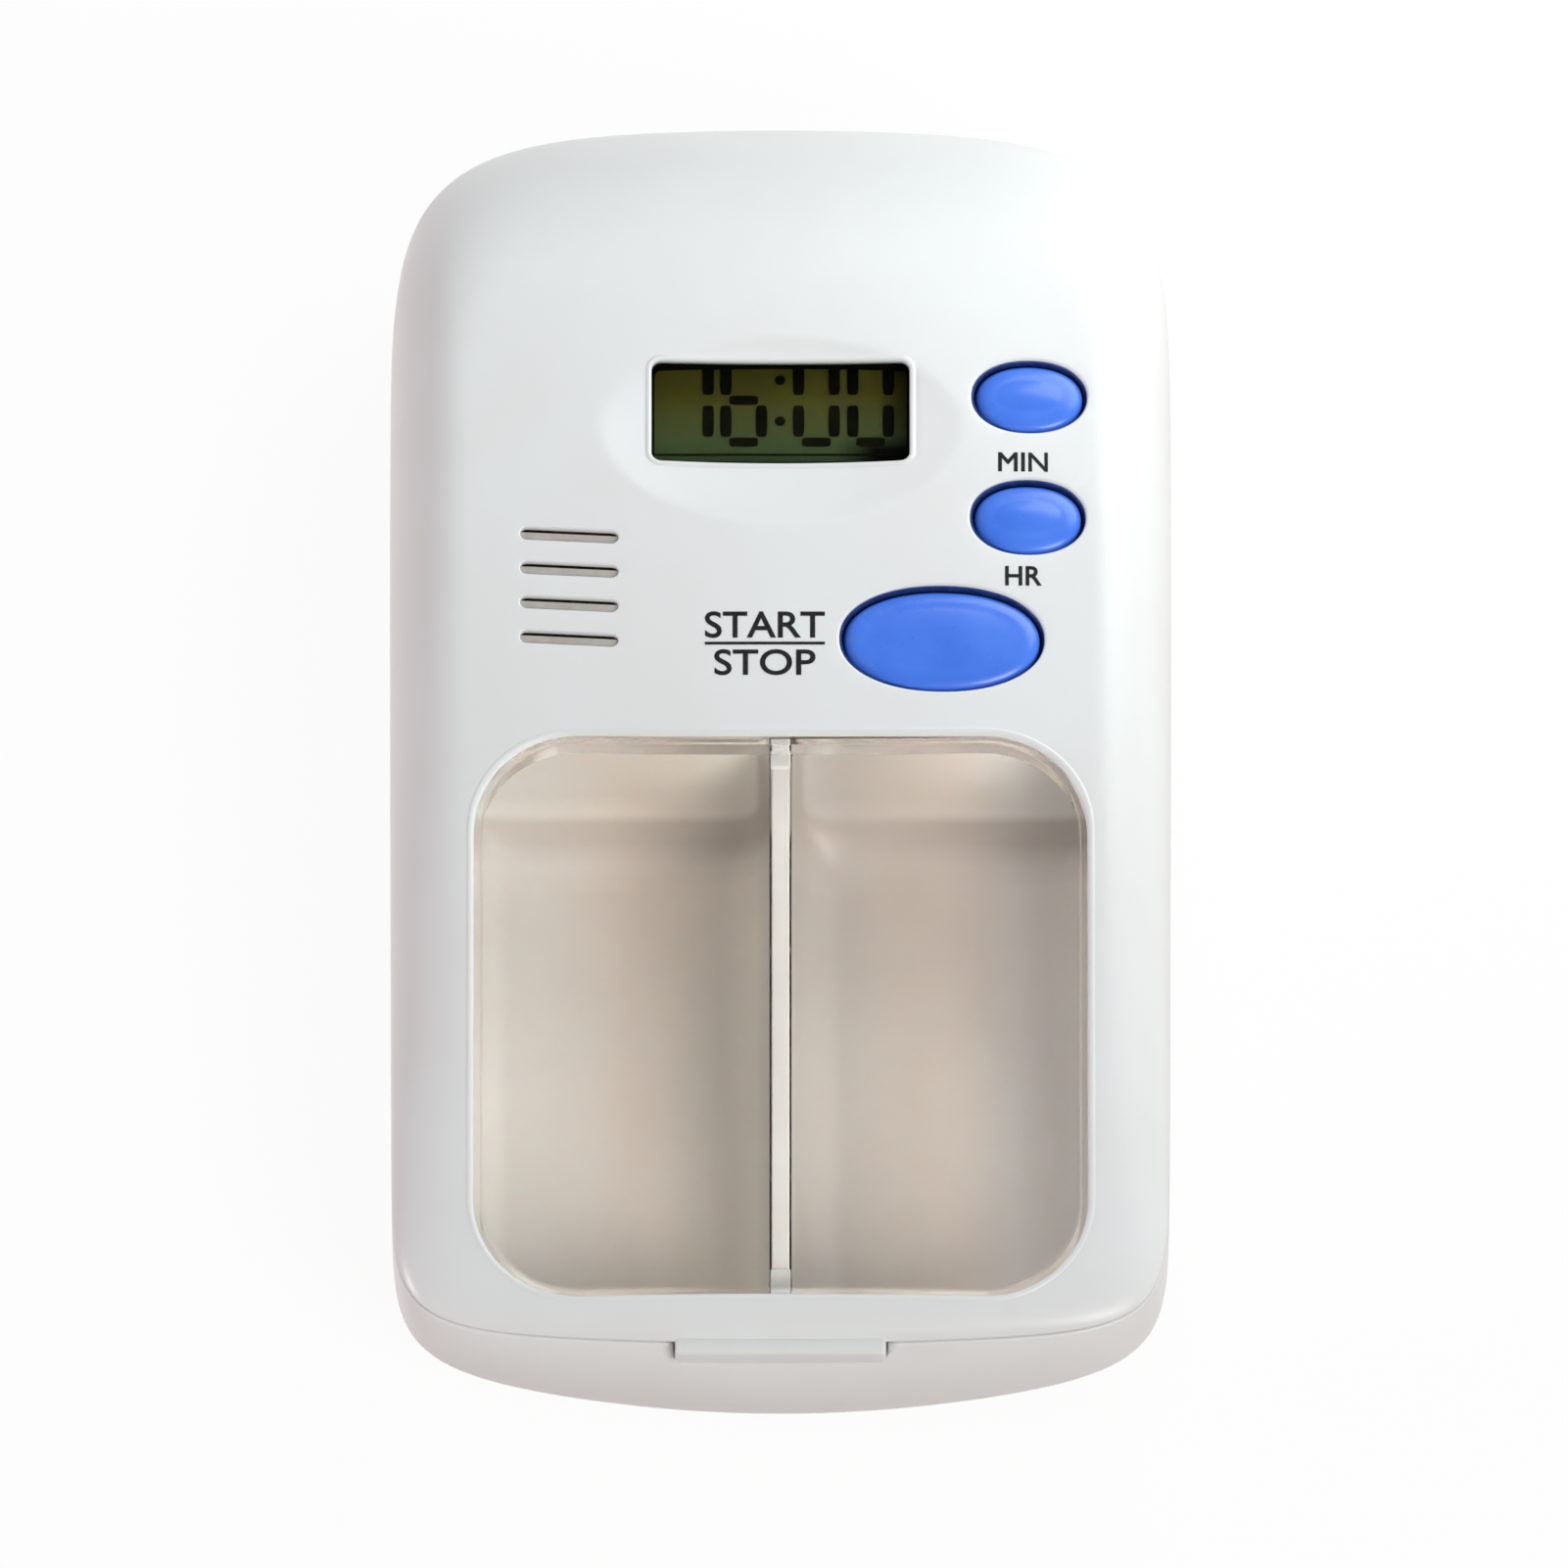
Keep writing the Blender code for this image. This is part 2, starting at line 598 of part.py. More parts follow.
def make_base_shell(parts, cutters):
    """The lower shell with its hinge pocket, three knuckles and the lip's recess."""
    shell = loft("base_shell", base_rings(RIM_TRIM), parts, bottom="flat", top="open")
    wall = shell.modifiers.new("wall", "SOLIDIFY")
    wall.thickness = SHELL_WALL
    wall.offset = -1.0
    wall.use_even_offset = True
    trim = block("base_trim", (-BODY_WIDTH, -BODY_WIDTH * 2, BASE_RIM),
                 (BODY_WIDTH, BODY_WIDTH * 2, BASE_RIM + SHELL_WALL + OVERRUN), cutters)
    cut(shell, trim)
    backing = block("pocket_backing",
                    (-HINGE_HALF - CLEARANCE - POCKET_WALL, POCKET_FACE_Y - POCKET_WALL,
                     POCKET_FLOOR_Z - POCKET_WALL),
                    (HINGE_HALF + CLEARANCE + POCKET_WALL, HINGE_END + OVERRUN, BASE_RIM), cutters)
    envelope = loft("base_envelope", base_rings(RIM_TRIM), cutters)
    combine(backing, envelope, "INTERSECT")
    join(shell, backing)
    pocket = block("hinge_pocket",
                   (-HINGE_HALF - CLEARANCE, POCKET_FACE_Y, POCKET_FLOOR_Z),
                   (HINGE_HALF + CLEARANCE, HINGE_END + OVERRUN, BASE_RIM + OVERRUN), cutters)
    cut(shell, pocket)
    knuckles = (("left", -HINGE_HALF, -OUTER_KNUCKLE_X),
                ("middle", -MIDDLE_KNUCKLE_HALF, MIDDLE_KNUCKLE_HALF),
                ("right", OUTER_KNUCKLE_X, HINGE_HALF))
    for side, x_from, x_to in knuckles:
        web = block("web_" + side,
                    (x_from, POCKET_FACE_Y - POCKET_WALL / 2, HINGE_AXIS_Z - KNUCKLE_RADIUS),
                    (x_to, HINGE_AXIS_Y, HINGE_AXIS_Z + KNUCKLE_WEB_RISE), cutters)
        join(shell, web)
        barrel = cross_cylinder("knuckle_" + side, x_from, x_to, HINGE_AXIS_Y, HINGE_AXIS_Z,
                                KNUCKLE_RADIUS, cutters)
        join(shell, barrel)
    bore = cross_cylinder("pin_bore_base", -HINGE_HALF - OVERRUN / 4, HINGE_HALF + OVERRUN / 4,
                          HINGE_AXIS_Y, HINGE_AXIS_Z, PIN_RADIUS + PIN_RUNNING_GAP, cutters)
    cut(shell, bore)
    lip_inner_y = -NOSE_SEAM_REACH - NOSE_BULGE + LIP_DEPTH
    recess = block("lip_recess",
                   (-LIP_WIDTH / 2 - CLEARANCE, -BODY_WIDTH,
                    COVER_RIM + LIP_TOP_RISE - LIP_HEIGHT - CLEARANCE),
                   (LIP_WIDTH / 2 + CLEARANCE, lip_inner_y + CLEARANCE, BASE_RIM + OVERRUN), cutters)
    cut(shell, recess)
    return shell


def cover_rings(rim):
    """Rings of the domed cover's outside from below its rim to its ridge."""
    outline = body_outline()
    rings = [outline.ring(level(rim - RIM_TRIM))]
    for degrees in DOME_ANGLES:
        angle = math.radians(degrees)
        drawn_in = 1.0 - math.cos(angle)
        rise = math.sin(angle)
        plan = outline.inset(SIDE_ROUNDING * drawn_in, NOSE_ROUNDING * drawn_in,
                             HINGE_ROUNDING * drawn_in)
        rings.append(plan.ring(lambda x, y, rise=rise: rim + (face_height(x, y) - rim) * rise))
    face = outline.inset(SIDE_ROUNDING, NOSE_ROUNDING, HINGE_ROUNDING)
    for share in FACE_RING_SHARES:
        rings.append(face.shrunk(share).ring(face_height))
    return rings


def cover_inner_half_width(y):
    """Half the room between the cover's side walls at the seam."""
    return body_outline().half_width(y) - SHELL_WALL


def make_front_cover(parts, cutters):
    """The domed cover with its openings, screw posts, hinge arms, latches and lip."""
    cover = loft("front_cover", cover_rings(COVER_RIM), parts, bottom="open", top="ladder")
    wall = cover.modifiers.new("wall", "SOLIDIFY")
    wall.thickness = SHELL_WALL
    wall.offset = -1.0
    wall.use_even_offset = True
    trim = block("cover_trim", (-BODY_WIDTH, -BODY_WIDTH * 2, COVER_RIM - SHELL_WALL - OVERRUN),
                 (BODY_WIDTH, BODY_WIDTH * 2, COVER_RIM), cutters)
    cut(cover, trim)
    for number, (x, y) in enumerate(BOARD_SCREWS, start=1):
        inside = face_height(x, y) - SHELL_WALL / 2
        join(cover, cylinder(f"cover_post_{number}", x, y, BOARD_TOP + CLEARANCE, inside,
                             POST_RADIUS, cutters))
        cut(cover, cylinder(f"cover_post_hole_{number}", x, y, BOARD_TOP - OVERRUN, SCREW_HOLE_TOP,
                            SCREW_HOLE_RADIUS, cutters))
    inner = SOUNDER_RADIUS + CLEARANCE
    inside = face_height(SLOT_CENTRE_X, SOUNDER_Y) - SHELL_WALL / 2
    seat = cylinder("sounder_seat", SLOT_CENTRE_X, SOUNDER_Y, SOUNDER_WALL_FOOT, inside,
                    inner + SOUNDER_WALL, cutters, TURN_STEPS * 2)
    room = cylinder("sounder_room", SLOT_CENTRE_X, SOUNDER_Y, SOUNDER_WALL_FOOT - OVERRUN,
                    inside - SHELL_WALL / 4, inner, cutters, TURN_STEPS * 2)
    cut(seat, room)
    join(cover, seat)
    for side, direction in (("right", 1), ("left", -1)):
        near = direction * ARM_INNER_X
        far = direction * ARM_OUTER_X
        arm = block("hinge_arm_" + side,
                    (min(near, far), HINGE_AXIS_Y - ARM_FRONT, HINGE_AXIS_Z),
                    (max(near, far), HINGE_AXIS_Y + ARM_BACK, COVER_RIM + ARM_RISE), cutters)
        join(cover, arm)
        barrel = cross_cylinder("cover_knuckle_" + side, min(near, far), max(near, far),
                                HINGE_AXIS_Y, HINGE_AXIS_Z, KNUCKLE_RADIUS, cutters)
        join(cover, barrel)
        outer = cover_inner_half_width(LATCH_PLACE) - CLEARANCE
        latch_near = direction * (outer - LATCH_THICKNESS)
        latch_far = direction * outer
        latch = block("side_latch_" + side,
                      (min(latch_near, latch_far), LATCH_PLACE - LATCH_LENGTH / 2, LATCH_FOOT),
                      (max(latch_near, latch_far), LATCH_PLACE + LATCH_LENGTH / 2, LATCH_TOP), cutters)
        join(cover, latch)
    bore = cross_cylinder("pin_bore_cover", -HINGE_HALF, HINGE_HALF, HINGE_AXIS_Y, HINGE_AXIS_Z,
                          PIN_RADIUS + PIN_RUNNING_GAP, cutters)
    cut(cover, bore)
    lip_front_y = -NOSE_SEAM_REACH - NOSE_BULGE
    lip_top = COVER_RIM + LIP_TOP_RISE
    lip = block("finger_lip", (-LIP_WIDTH / 2, lip_front_y, lip_top - LIP_HEIGHT),
                (LIP_WIDTH / 2, lip_front_y + LIP_DEPTH, lip_top), cutters, LIP_BEVEL, 2)
    join(cover, lip)
    top = FACE_TOP + OVERRUN
    window = block("window_opening", (-WINDOW_HALF_WIDTH, WINDOW_NOSE_EDGE, BASE_RIM - OVERRUN / 4),
                   (WINDOW_HALF_WIDTH, WINDOW_CLOCK_EDGE, top), cutters, WINDOW_RADIUS, WINDOW_ARC_STEPS)
    cut(cover, window)
    cut(cover, make_dish_cutter(cutters))
    display = block("display_opening",
                    (-DISPLAY_WIDTH / 2, DISPLAY_CENTRE_Y - DISPLAY_LENGTH / 2, BOARD_TOP),
                    (DISPLAY_WIDTH / 2, DISPLAY_CENTRE_Y + DISPLAY_LENGTH / 2, top), cutters,
                    DISPLAY_RADIUS, 3)
    cut(cover, display)
    seat_half_width = LENS_WIDTH / 2 + CLEARANCE
    seat_half_length = LENS_LENGTH / 2 + CLEARANCE
    lens_seat = block("lens_seat",
                      (-seat_half_width, DISPLAY_CENTRE_Y - seat_half_length, BOARD_TOP),
                      (seat_half_width, DISPLAY_CENTRE_Y + seat_half_length, LENS_TOP + CLEARANCE / 2),
                      cutters)
    cut(cover, lens_seat)
    for name, x, y, width, length in BUTTON_PLACES:
        rings = [oval_ring(x, y, width / 2, length / 2, BUTTON_POWER, level(height), BUTTON_STEPS)
                 for height in (BOARD_TOP + OVERRUN / 2, top)]
        cut(cover, loft(name + "_hole", rings, cutters))
    for number in range(SLOT_COUNT):
        cut(cover, make_slot_cutter(number, cutters))
    smooth(cover)
    return cover


def make_dish_cutter(cutters):
    """A flattened sphere that sinks the oval dish round the display."""
    radius = DISH_SPHERE_RISE + DISH_DEPTH
    spread = math.sqrt(1.0 - (DISH_SPHERE_RISE / radius) ** 2)
    form = bmesh.new()
    bmesh.ops.create_uvsphere(form, u_segments=40, v_segments=28, radius=1.0)
    bmesh.ops.scale(form, vec=(DISH_HALF_WIDTH / spread, DISH_HALF_LENGTH / spread, radius),
                    verts=form.verts)
    ground = face_height(0.0, DISH_CENTRE_Y)
    bmesh.ops.translate(form, vec=(0.0, DISH_CENTRE_Y, ground + DISH_SPHERE_RISE), verts=form.verts)
    return add_object("dish", mesh_from("dish", form), cutters)


def make_slot_cutter(number, cutters):
    """One round-ended sound slot, sloping down to the right."""
    half = SLOT_LENGTH / 2 - SLOT_THICKNESS / 2
    turn = math.radians(SLOT_SLOPE)
    centre = Vector((SLOT_CENTRE_X, SLOT_TOP_Y - SLOT_PITCH * number))
    plan = []
    for end, start in ((1, -90), (-1, 90)):
        for step in range(SLOT_ARC_STEPS + 1):
            angle = math.radians(start + 180 * step / SLOT_ARC_STEPS)
            x = end * half + math.cos(angle) * SLOT_THICKNESS / 2
            y = math.sin(angle) * SLOT_THICKNESS / 2
            plan.append((centre.x + x * math.cos(turn) - y * math.sin(turn),
                         centre.y + x * math.sin(turn) + y * math.cos(turn)))
    rings = [[Vector((x, y, height)) for x, y in plan]
             for height in (SOUNDER_TOP + SOUNDER_THICKNESS, FACE_TOP + OVERRUN)]
    return loft(f"sound_slot_{number + 1}", rings, cutters)


def make_button(name, x, y, hole_width, hole_length, parts, cutters):
    """A push button: crowned cap, flange behind the cover and a stem."""
    half_width = hole_width / 2 - CLEARANCE
    half_length = hole_length / 2 - CLEARANCE
    flange_top = SHELL_WALL + CLEARANCE + FACE_CROWN / 4
    flange_bottom = face_height(x, y) - flange_top - BUTTON_FLANGE_THICKNESS

    def ring(extra, height):
        return oval_ring(x, y, half_width + extra, half_length + extra, BUTTON_POWER, height,
                         BUTTON_STEPS)

    rings = [ring(BUTTON_FLANGE, level(flange_bottom)),
             ring(BUTTON_FLANGE, below_face(flange_top)),
             ring(0.0, below_face(flange_top)),
             ring(0.0, below_face(-BUTTON_EDGE_HEIGHT))]
    for plan_share, rise_share in BUTTON_CROWN_SHARES:
        rise = BUTTON_EDGE_HEIGHT + (BUTTON_PROUD - BUTTON_EDGE_HEIGHT) * rise_share
        rings.append(oval_ring(x, y, half_width * plan_share, half_length * plan_share,
                               BUTTON_POWER, below_face(-rise), BUTTON_STEPS))
    cap = loft(name, rings, parts, bottom="flat", top="ladder")
    join(cap, cylinder(name + "_stem", x, y, STEM_END, flange_bottom + BUTTON_FLANGE_THICKNESS / 2,
                       BUTTON_STEM_RADIUS, cutters))
    smooth(cap)
    return cap


def make_rubber_dome(name, x, y, parts):
    """The rubber dome between a button's stem and the circuit board."""
    top = DOME_BOTTOM + DOME_HEIGHT
    profile = [(0.0, top), (DOME_TOP_RADIUS, top), (DOME_BASE_RADIUS, DOME_BOTTOM + DOME_SKIRT),
               (DOME_BASE_RADIUS, DOME_BOTTOM), (0.0, DOME_BOTTOM)]
    return turned(name, x, y, profile, parts)


def pane_slab(name, top_offset, bottom_offset, cutters):
    """A slab that follows the domed face between two depths below it."""
    length = WINDOW_CLOCK_EDGE - WINDOW_NOSE_EDGE + 2 * OVERRUN
    start = WINDOW_NOSE_EDGE - OVERRUN
    form = bmesh.new()
    rows = []
    for step in range(PANE_STATIONS + 1):
        y = start + length * step / PANE_STATIONS
        high = face_height(0.0, y) - top_offset
        low = face_height(0.0, y) - bottom_offset
        rows.append([form.verts.new((x, y, z)) for x, z in (
            (-BODY_WIDTH / 2, low), (BODY_WIDTH / 2, low), (BODY_WIDTH / 2, high),
            (-BODY_WIDTH / 2, high))])
    for near, far in zip(rows, rows[1:]):
        for corner in range(4):
            after = (corner + 1) % 4
            form.faces.new((near[corner], far[corner], far[after], near[after]))
    form.faces.new(rows[0])
    form.faces.new(list(reversed(rows[-1])))
    bmesh.ops.recalc_face_normals(form, faces=form.faces)
    return add_object(name, mesh_from(name, form), cutters)


def make_window_pane(parts, cutters):
    """The clear pane: a panel in the opening with a flange behind the cover."""
    depth = FACE_TOP
    gap = PANE_GAP
    pane = block("window_pane",
                 (-WINDOW_HALF_WIDTH + gap, WINDOW_NOSE_EDGE + gap, BASE_RIM - OVERRUN),
                 (WINDOW_HALF_WIDTH - gap, WINDOW_CLOCK_EDGE - gap, depth), parts,
                 WINDOW_RADIUS - gap, WINDOW_ARC_STEPS)
    combine(pane, pane_slab("pane_slab", PANE_RECESS, PANE_TOP_OFFSET + PANE_FLANGE / 2, cutters),
            "INTERSECT")
    over = PANE_OVERHANG
    flange = block("pane_flange",
                   (-WINDOW_HALF_WIDTH - over, WINDOW_NOSE_EDGE - PANE_NOSE_OVERHANG, BELLY_HEIGHT),
                   (WINDOW_HALF_WIDTH + over, WINDOW_CLOCK_EDGE + over, depth), cutters,
                   WINDOW_RADIUS + PANE_NOSE_OVERHANG, WINDOW_ARC_STEPS)
    slab = pane_slab("flange_slab", PANE_TOP_OFFSET + FACE_CROWN, PANE_BOTTOM_OFFSET, cutters)
    combine(flange, slab, "INTERSECT")
    join(pane, flange)
    return pane


def tray_outline():
    """Outline of the pill tray inside the base."""
    side = SHELL_WALL + LATCH_THICKNESS + 2 * CLEARANCE
    return body_outline().inset(side, SHELL_WALL + 2 * CLEARANCE, 0.0)


def tray_ring(drawn_in, height):
    """A ring of the tray's outside, drawn in all round."""
    outline = tray_outline()
    nose_end = outline.nose_end + drawn_in
    clock_end = TRAY_CLOCK_END - drawn_in
    middle = (nose_end + clock_end) / 2
    ring = oval_ring(0.0, middle, 1.0, (clock_end - nose_end) / 2, TRAY_CORNER_POWER, level(0.0),
                     4 * ARC_STEPS)
    placed = []
    for point in ring:
        x = point.x * (outline.half_width(point.y) - drawn_in)
        placed.append(Vector((x, point.y, height(x, point.y))))
    return placed


def make_pill_tray(parts, cutters):
    """The natural-coloured tray with two rounded troughs and guide slots."""
    rings = []
    for degrees in BELLY_ANGLES:
        angle = math.radians(degrees)
        height = TRAY_BOTTOM + TRAY_BOTTOM_ROUNDING * (1.0 - math.sin(angle))
        rings.append(tray_ring(TRAY_BOTTOM_ROUNDING * (1.0 - math.cos(angle)), level(height)))
    rings.append(tray_ring(0.0, level(TRAY_BOTTOM + TRAY_BOTTOM_ROUNDING)))
    rings.append(tray_ring(0.0, below_ridge(TRAY_TOP_OFFSET)))
    tray = loft("pill_tray", rings, parts, bottom="flat", top="ladder")
    for side, direction in (("right", 1), ("left", -1)):
        cut(tray, make_trough_cutter(side, direction, cutters))
    slot_half = DIVIDER_TAB_THICKNESS / 2 + CLEARANCE
    nose_end, clock_end = trough_ends()
    reach = DIVIDER_ENGAGEMENT + CLEARANCE
    slot = block("divider_slot",
                 (-slot_half, nose_end - reach, TRAY_BOTTOM + TRAY_FLOOR + DIVIDER_SINK - CLEARANCE),
                 (slot_half, clock_end + reach, FACE_TOP), cutters)
    cut(tray, slot)
    return tray


def trough_ends():
    """Where the two troughs begin and end along the body."""
    nose_end = tray_outline().nose_end + TROUGH_END_WALL
    return nose_end, TRAY_CLOCK_END - TROUGH_END_WALL


def make_trough_cutter(side, direction, cutters):
    """The hollow of one compartment, with a rounded floor."""
    nose_end, clock_end = trough_ends()
    middle_y = (nose_end + clock_end) / 2
    half_length = (clock_end - nose_end) / 2
    floor = TRAY_BOTTOM + TRAY_FLOOR
    outer = tray_outline().half_width(middle_y) - TRAY_WALL
    middle_x = direction * (outer + TROUGH_INNER_EDGE) / 2
    half_width = (outer - TROUGH_INNER_EDGE) / 2
    rings = []
    for degrees in BELLY_ANGLES:
        angle = math.radians(degrees)
        drawn_in = TROUGH_ROUNDING * (1.0 - math.cos(angle))
        height = floor + TROUGH_SINK * (1.0 - math.sin(angle))
        rings.append(oval_ring(middle_x, middle_y, half_width - drawn_in, half_length - drawn_in,
                               TROUGH_POWER, level(height), 4 * ARC_STEPS))
    for height in (floor + TROUGH_SINK, FACE_TOP):
        rings.append(oval_ring(middle_x, middle_y, half_width, half_length, TROUGH_POWER,
                               level(height), 4 * ARC_STEPS))
    return loft("trough_" + side, rings, cutters)


def make_tray_divider(parts, cutters):
    """The white plate that stands between the compartments."""
    nose_end, clock_end = trough_ends()
    bottom = TRAY_BOTTOM + TRAY_FLOOR + DIVIDER_SINK
    top_slab = pane_slab("divider_slab", TRAY_TOP_OFFSET, FACE_TOP, cutters)
    low_y = nose_end - DIVIDER_ENGAGEMENT
    high_y = clock_end + DIVIDER_ENGAGEMENT
    half = DIVIDER_THICKNESS / 2
    divider = block("tray_divider", (-half, low_y, bottom), (half, high_y, FACE_TOP), parts)
    half = DIVIDER_TAB_THICKNESS / 2
    for end, start in (("nose", low_y), ("clock", high_y - DIVIDER_TAB_LENGTH)):
        join(divider, block("divider_tab_" + end, (-half, start, bottom),
                            (half, start + DIVIDER_TAB_LENGTH, FACE_TOP - OVERRUN / 4), cutters))
    combine(divider, top_slab, "INTERSECT")
    return divider


def make_display(parts):
    """Front lens, display glass, reflector and the two contact strips."""
    centre = DISPLAY_CENTRE_Y

    def plate(name, width, length, top, thickness, middle=centre):
        return block(name, (-width / 2, middle - length / 2, top - thickness),
                     (width / 2, middle + length / 2, top), parts)

    pieces = [plate("display_lens", LENS_WIDTH, LENS_LENGTH, LENS_TOP, LENS_THICKNESS)]
    glass_top = LENS_TOP - LENS_THICKNESS - STACK_GAP
    pieces.append(plate("display_glass", GLASS_WIDTH, GLASS_LENGTH, glass_top, GLASS_THICKNESS))
    reflector_top = glass_top - GLASS_THICKNESS - STACK_GAP
    pieces.append(plate("display_reflector", LENS_WIDTH, REFLECTOR_LENGTH, reflector_top,
                        REFLECTOR_THICKNESS))
    offset = (GLASS_LENGTH - ZEBRA_LENGTH) / 2
    for name, shift in (("contact_strip_upper", offset), ("contact_strip_lower", -offset)):
        bottom = BOARD_TOP + CLEARANCE
        pieces.append(plate(name, ZEBRA_WIDTH, ZEBRA_LENGTH, reflector_top, reflector_top - bottom,
                            centre + shift))
    return pieces


def make_sounder(parts):
    """The brass disc, its ceramic disc and two leads to the board."""
    brass = turned("sounder_plate", SLOT_CENTRE_X, SOUNDER_Y,
                   [(0.0, SOUNDER_TOP), (SOUNDER_RADIUS, SOUNDER_TOP),
                    (SOUNDER_RADIUS, SOUNDER_TOP - SOUNDER_THICKNESS),
                    (0.0, SOUNDER_TOP - SOUNDER_THICKNESS)], parts, TURN_STEPS * 2)
    disc_top = SOUNDER_TOP - SOUNDER_THICKNESS - CRYSTAL_DISC_GAP
    disc_bottom = disc_top - CRYSTAL_DISC_THICKNESS
    ceramic = turned("sounder_disc", SLOT_CENTRE_X, SOUNDER_Y,
                     [(0.0, disc_top), (CRYSTAL_DISC_RADIUS, disc_top),
                      (CRYSTAL_DISC_RADIUS, disc_bottom), (0.0, disc_bottom)], parts, TURN_STEPS)
    leads = []
    for number, direction in ((1, -1), (2, 1)):
        x = SLOT_CENTRE_X + direction * LEAD_SPACING
        start = Vector((x, SOUNDER_Y, disc_bottom - CLEARANCE - LEAD_RADIUS))
        end = Vector((x, SOUNDER_Y + LEAD_RUN, BOARD_TOP + CLEARANCE))
        leads.append(make_lead(f"sounder_lead_{number}", start, end, parts))
    return brass, ceramic, leads


def make_lead(name, start, end, parts):
    """A short wire that leaves level and drops square to the board."""
    curve = bpy.data.curves.new(name, "CURVE")
    curve.dimensions = "3D"
    curve.bevel_depth = LEAD_RADIUS
    curve.bevel_resolution = 2
    curve.use_fill_caps = True
    steps = 8
    spline = curve.splines.new("POLY")
    spline.points.add(steps)
    for step in range(steps + 1):
        angle = math.radians(90 * step / steps)
        y = start.y + (end.y - start.y) * math.sin(angle)
        z = end.z + (start.z - end.z) * math.cos(angle)
        spline.points[step].co = (start.x, y, z, 1.0)
    return add_object(name, curve, parts)


def board_outline():
    """Outline of the circuit board."""
    outline = body_outline().inset(BOARD_INSET, 0.0, BOARD_HINGE_INSET)
    return Outline(outline.crown_half_width, outline.crown_half_width, BOARD_CLOCK_END,
                   outline.crown_end, BOARD_CORNER_CENTRE, BOARD_CORNER_POWER)


def make_circuit_board(parts, cutters):
    """The circuit board with its three screw holes."""
    rings = [board_outline().ring(level(height)) for height in (BOARD_BOTTOM, BOARD_TOP)]
    board = loft("circuit_board", rings, parts)
    for number, (x, y) in enumerate(BOARD_SCREWS, start=1):
        cut(board, cylinder(f"board_hole_{number}", x, y, BOARD_BOTTOM - OVERRUN, BOARD_TOP + OVERRUN,
                            SCREW_HOLE_RADIUS, cutters))
    return board


def make_board_parts(parts):
    """The small parts on the back of the circuit board."""
    top = BOARD_BOTTOM - CLEARANCE
    profile = [(0.0, top), (BLOB_RADIUS, top)]
    for degrees in (25, 50, 75, 90):
        angle = math.radians(degrees)
        profile.append((BLOB_RADIUS * math.cos(angle) if degrees < 90 else 0.0,
                        top - BLOB_HEIGHT * math.sin(angle)))
    blob = turned("controller_chip", BLOB_X, BLOB_Y, profile, parts)
    can = cross_cylinder("timing_crystal", TUNING_CAN_X - TUNING_CAN_LENGTH / 2,
                         TUNING_CAN_X + TUNING_CAN_LENGTH / 2, TUNING_CAN_Y, top - TUNING_CAN_RADIUS,
                         TUNING_CAN_RADIUS, parts, 16)
    capacitor = cylinder("capacitor", CAPACITOR_X, CAPACITOR_Y, top - CAPACITOR_HEIGHT, top,
                         CAPACITOR_RADIUS, parts)
    resistors = []
    for number in range(RESISTOR_COUNT):
        y = RESISTOR_Y + RESISTOR_PITCH * number
        resistors.append(block(f"resistor_{number + 1}",
                               (RESISTOR_X - RESISTOR_LENGTH / 2, y - RESISTOR_WIDTH / 2,
                                top - RESISTOR_HEIGHT),
                               (RESISTOR_X + RESISTOR_LENGTH / 2, y + RESISTOR_WIDTH / 2, top), parts))
    return blob, can, capacitor, resistors


def module_outline(drawn_in):
    """Outline of the module cover, drawn in by a wall if asked."""
    half = BODY_WIDTH / 2 - MODULE_INSET - drawn_in
    return Outline(half, half, MODULE_CLOCK_END + drawn_in,
                   HINGE_END - MODULE_HINGE_INSET - drawn_in, MODULE_CORNER_CENTRE,
                   MODULE_CORNER_POWER)


def make_module_cover(parts, cutters):
    """The tub that closes the clock module, with its posts and battery bay."""
    rings = [module_outline(0.0).ring(level(height)) for height in (MODULE_FLOOR_BOTTOM, MODULE_RIM)]
    tub = loft("module_cover", rings, parts)
    rings = [module_outline(MODULE_WALL).ring(level(height))
             for height in (MODULE_FLOOR_TOP, MODULE_RIM + OVERRUN)]
    cut(tub, loft("module_room", rings, cutters))
    join(tub, block("module_front", (-MODULE_FRONT_HALF_WIDTH, MODULE_CLOCK_END, MODULE_FLOOR_TOP),
                    (MODULE_FRONT_HALF_WIDTH, MODULE_CLOCK_END + MODULE_WALL, MODULE_FRONT_TOP),
                    cutters))
    for number, (x, y) in enumerate(BOARD_SCREWS, start=1):
        join(tub, cylinder(f"module_post_{number}", x, y, MODULE_FLOOR_TOP - MODULE_WALL / 2,
                           BOARD_BOTTOM - CLEARANCE, POST_RADIUS, cutters))
        cut(tub, cylinder(f"module_post_hole_{number}", x, y, MODULE_FLOOR_BOTTOM - OVERRUN,
                          BOARD_BOTTOM + OVERRUN, SCREW_HOLE_RADIUS, cutters))
    join(tub, cylinder("door_post", CELL_X, DOOR_SCREW_Y, MODULE_FLOOR_TOP - MODULE_WALL / 2,
                       MODULE_FLOOR_TOP + DOOR_POST_HEIGHT, POST_RADIUS, cutters))
    cut(tub, cylinder("door_post_hole", CELL_X, DOOR_SCREW_Y, MODULE_FLOOR_BOTTOM - OVERRUN,
                      MODULE_FLOOR_TOP + DOOR_POST_HEIGHT + OVERRUN, SCREW_HOLE_RADIUS, cutters))
    cut(tub, block("battery_bay", (CELL_X - BAY_HALF, CELL_FIRST_Y - BAY_HALF,
                                   MODULE_FLOOR_BOTTOM - OVERRUN),
                   (CELL_X + BAY_HALF, CELL_LAST_Y + BAY_HALF, MODULE_FLOOR_TOP + OVERRUN), cutters,
                   BAY_HALF - DOOR_RADIUS, 6))
    return tub


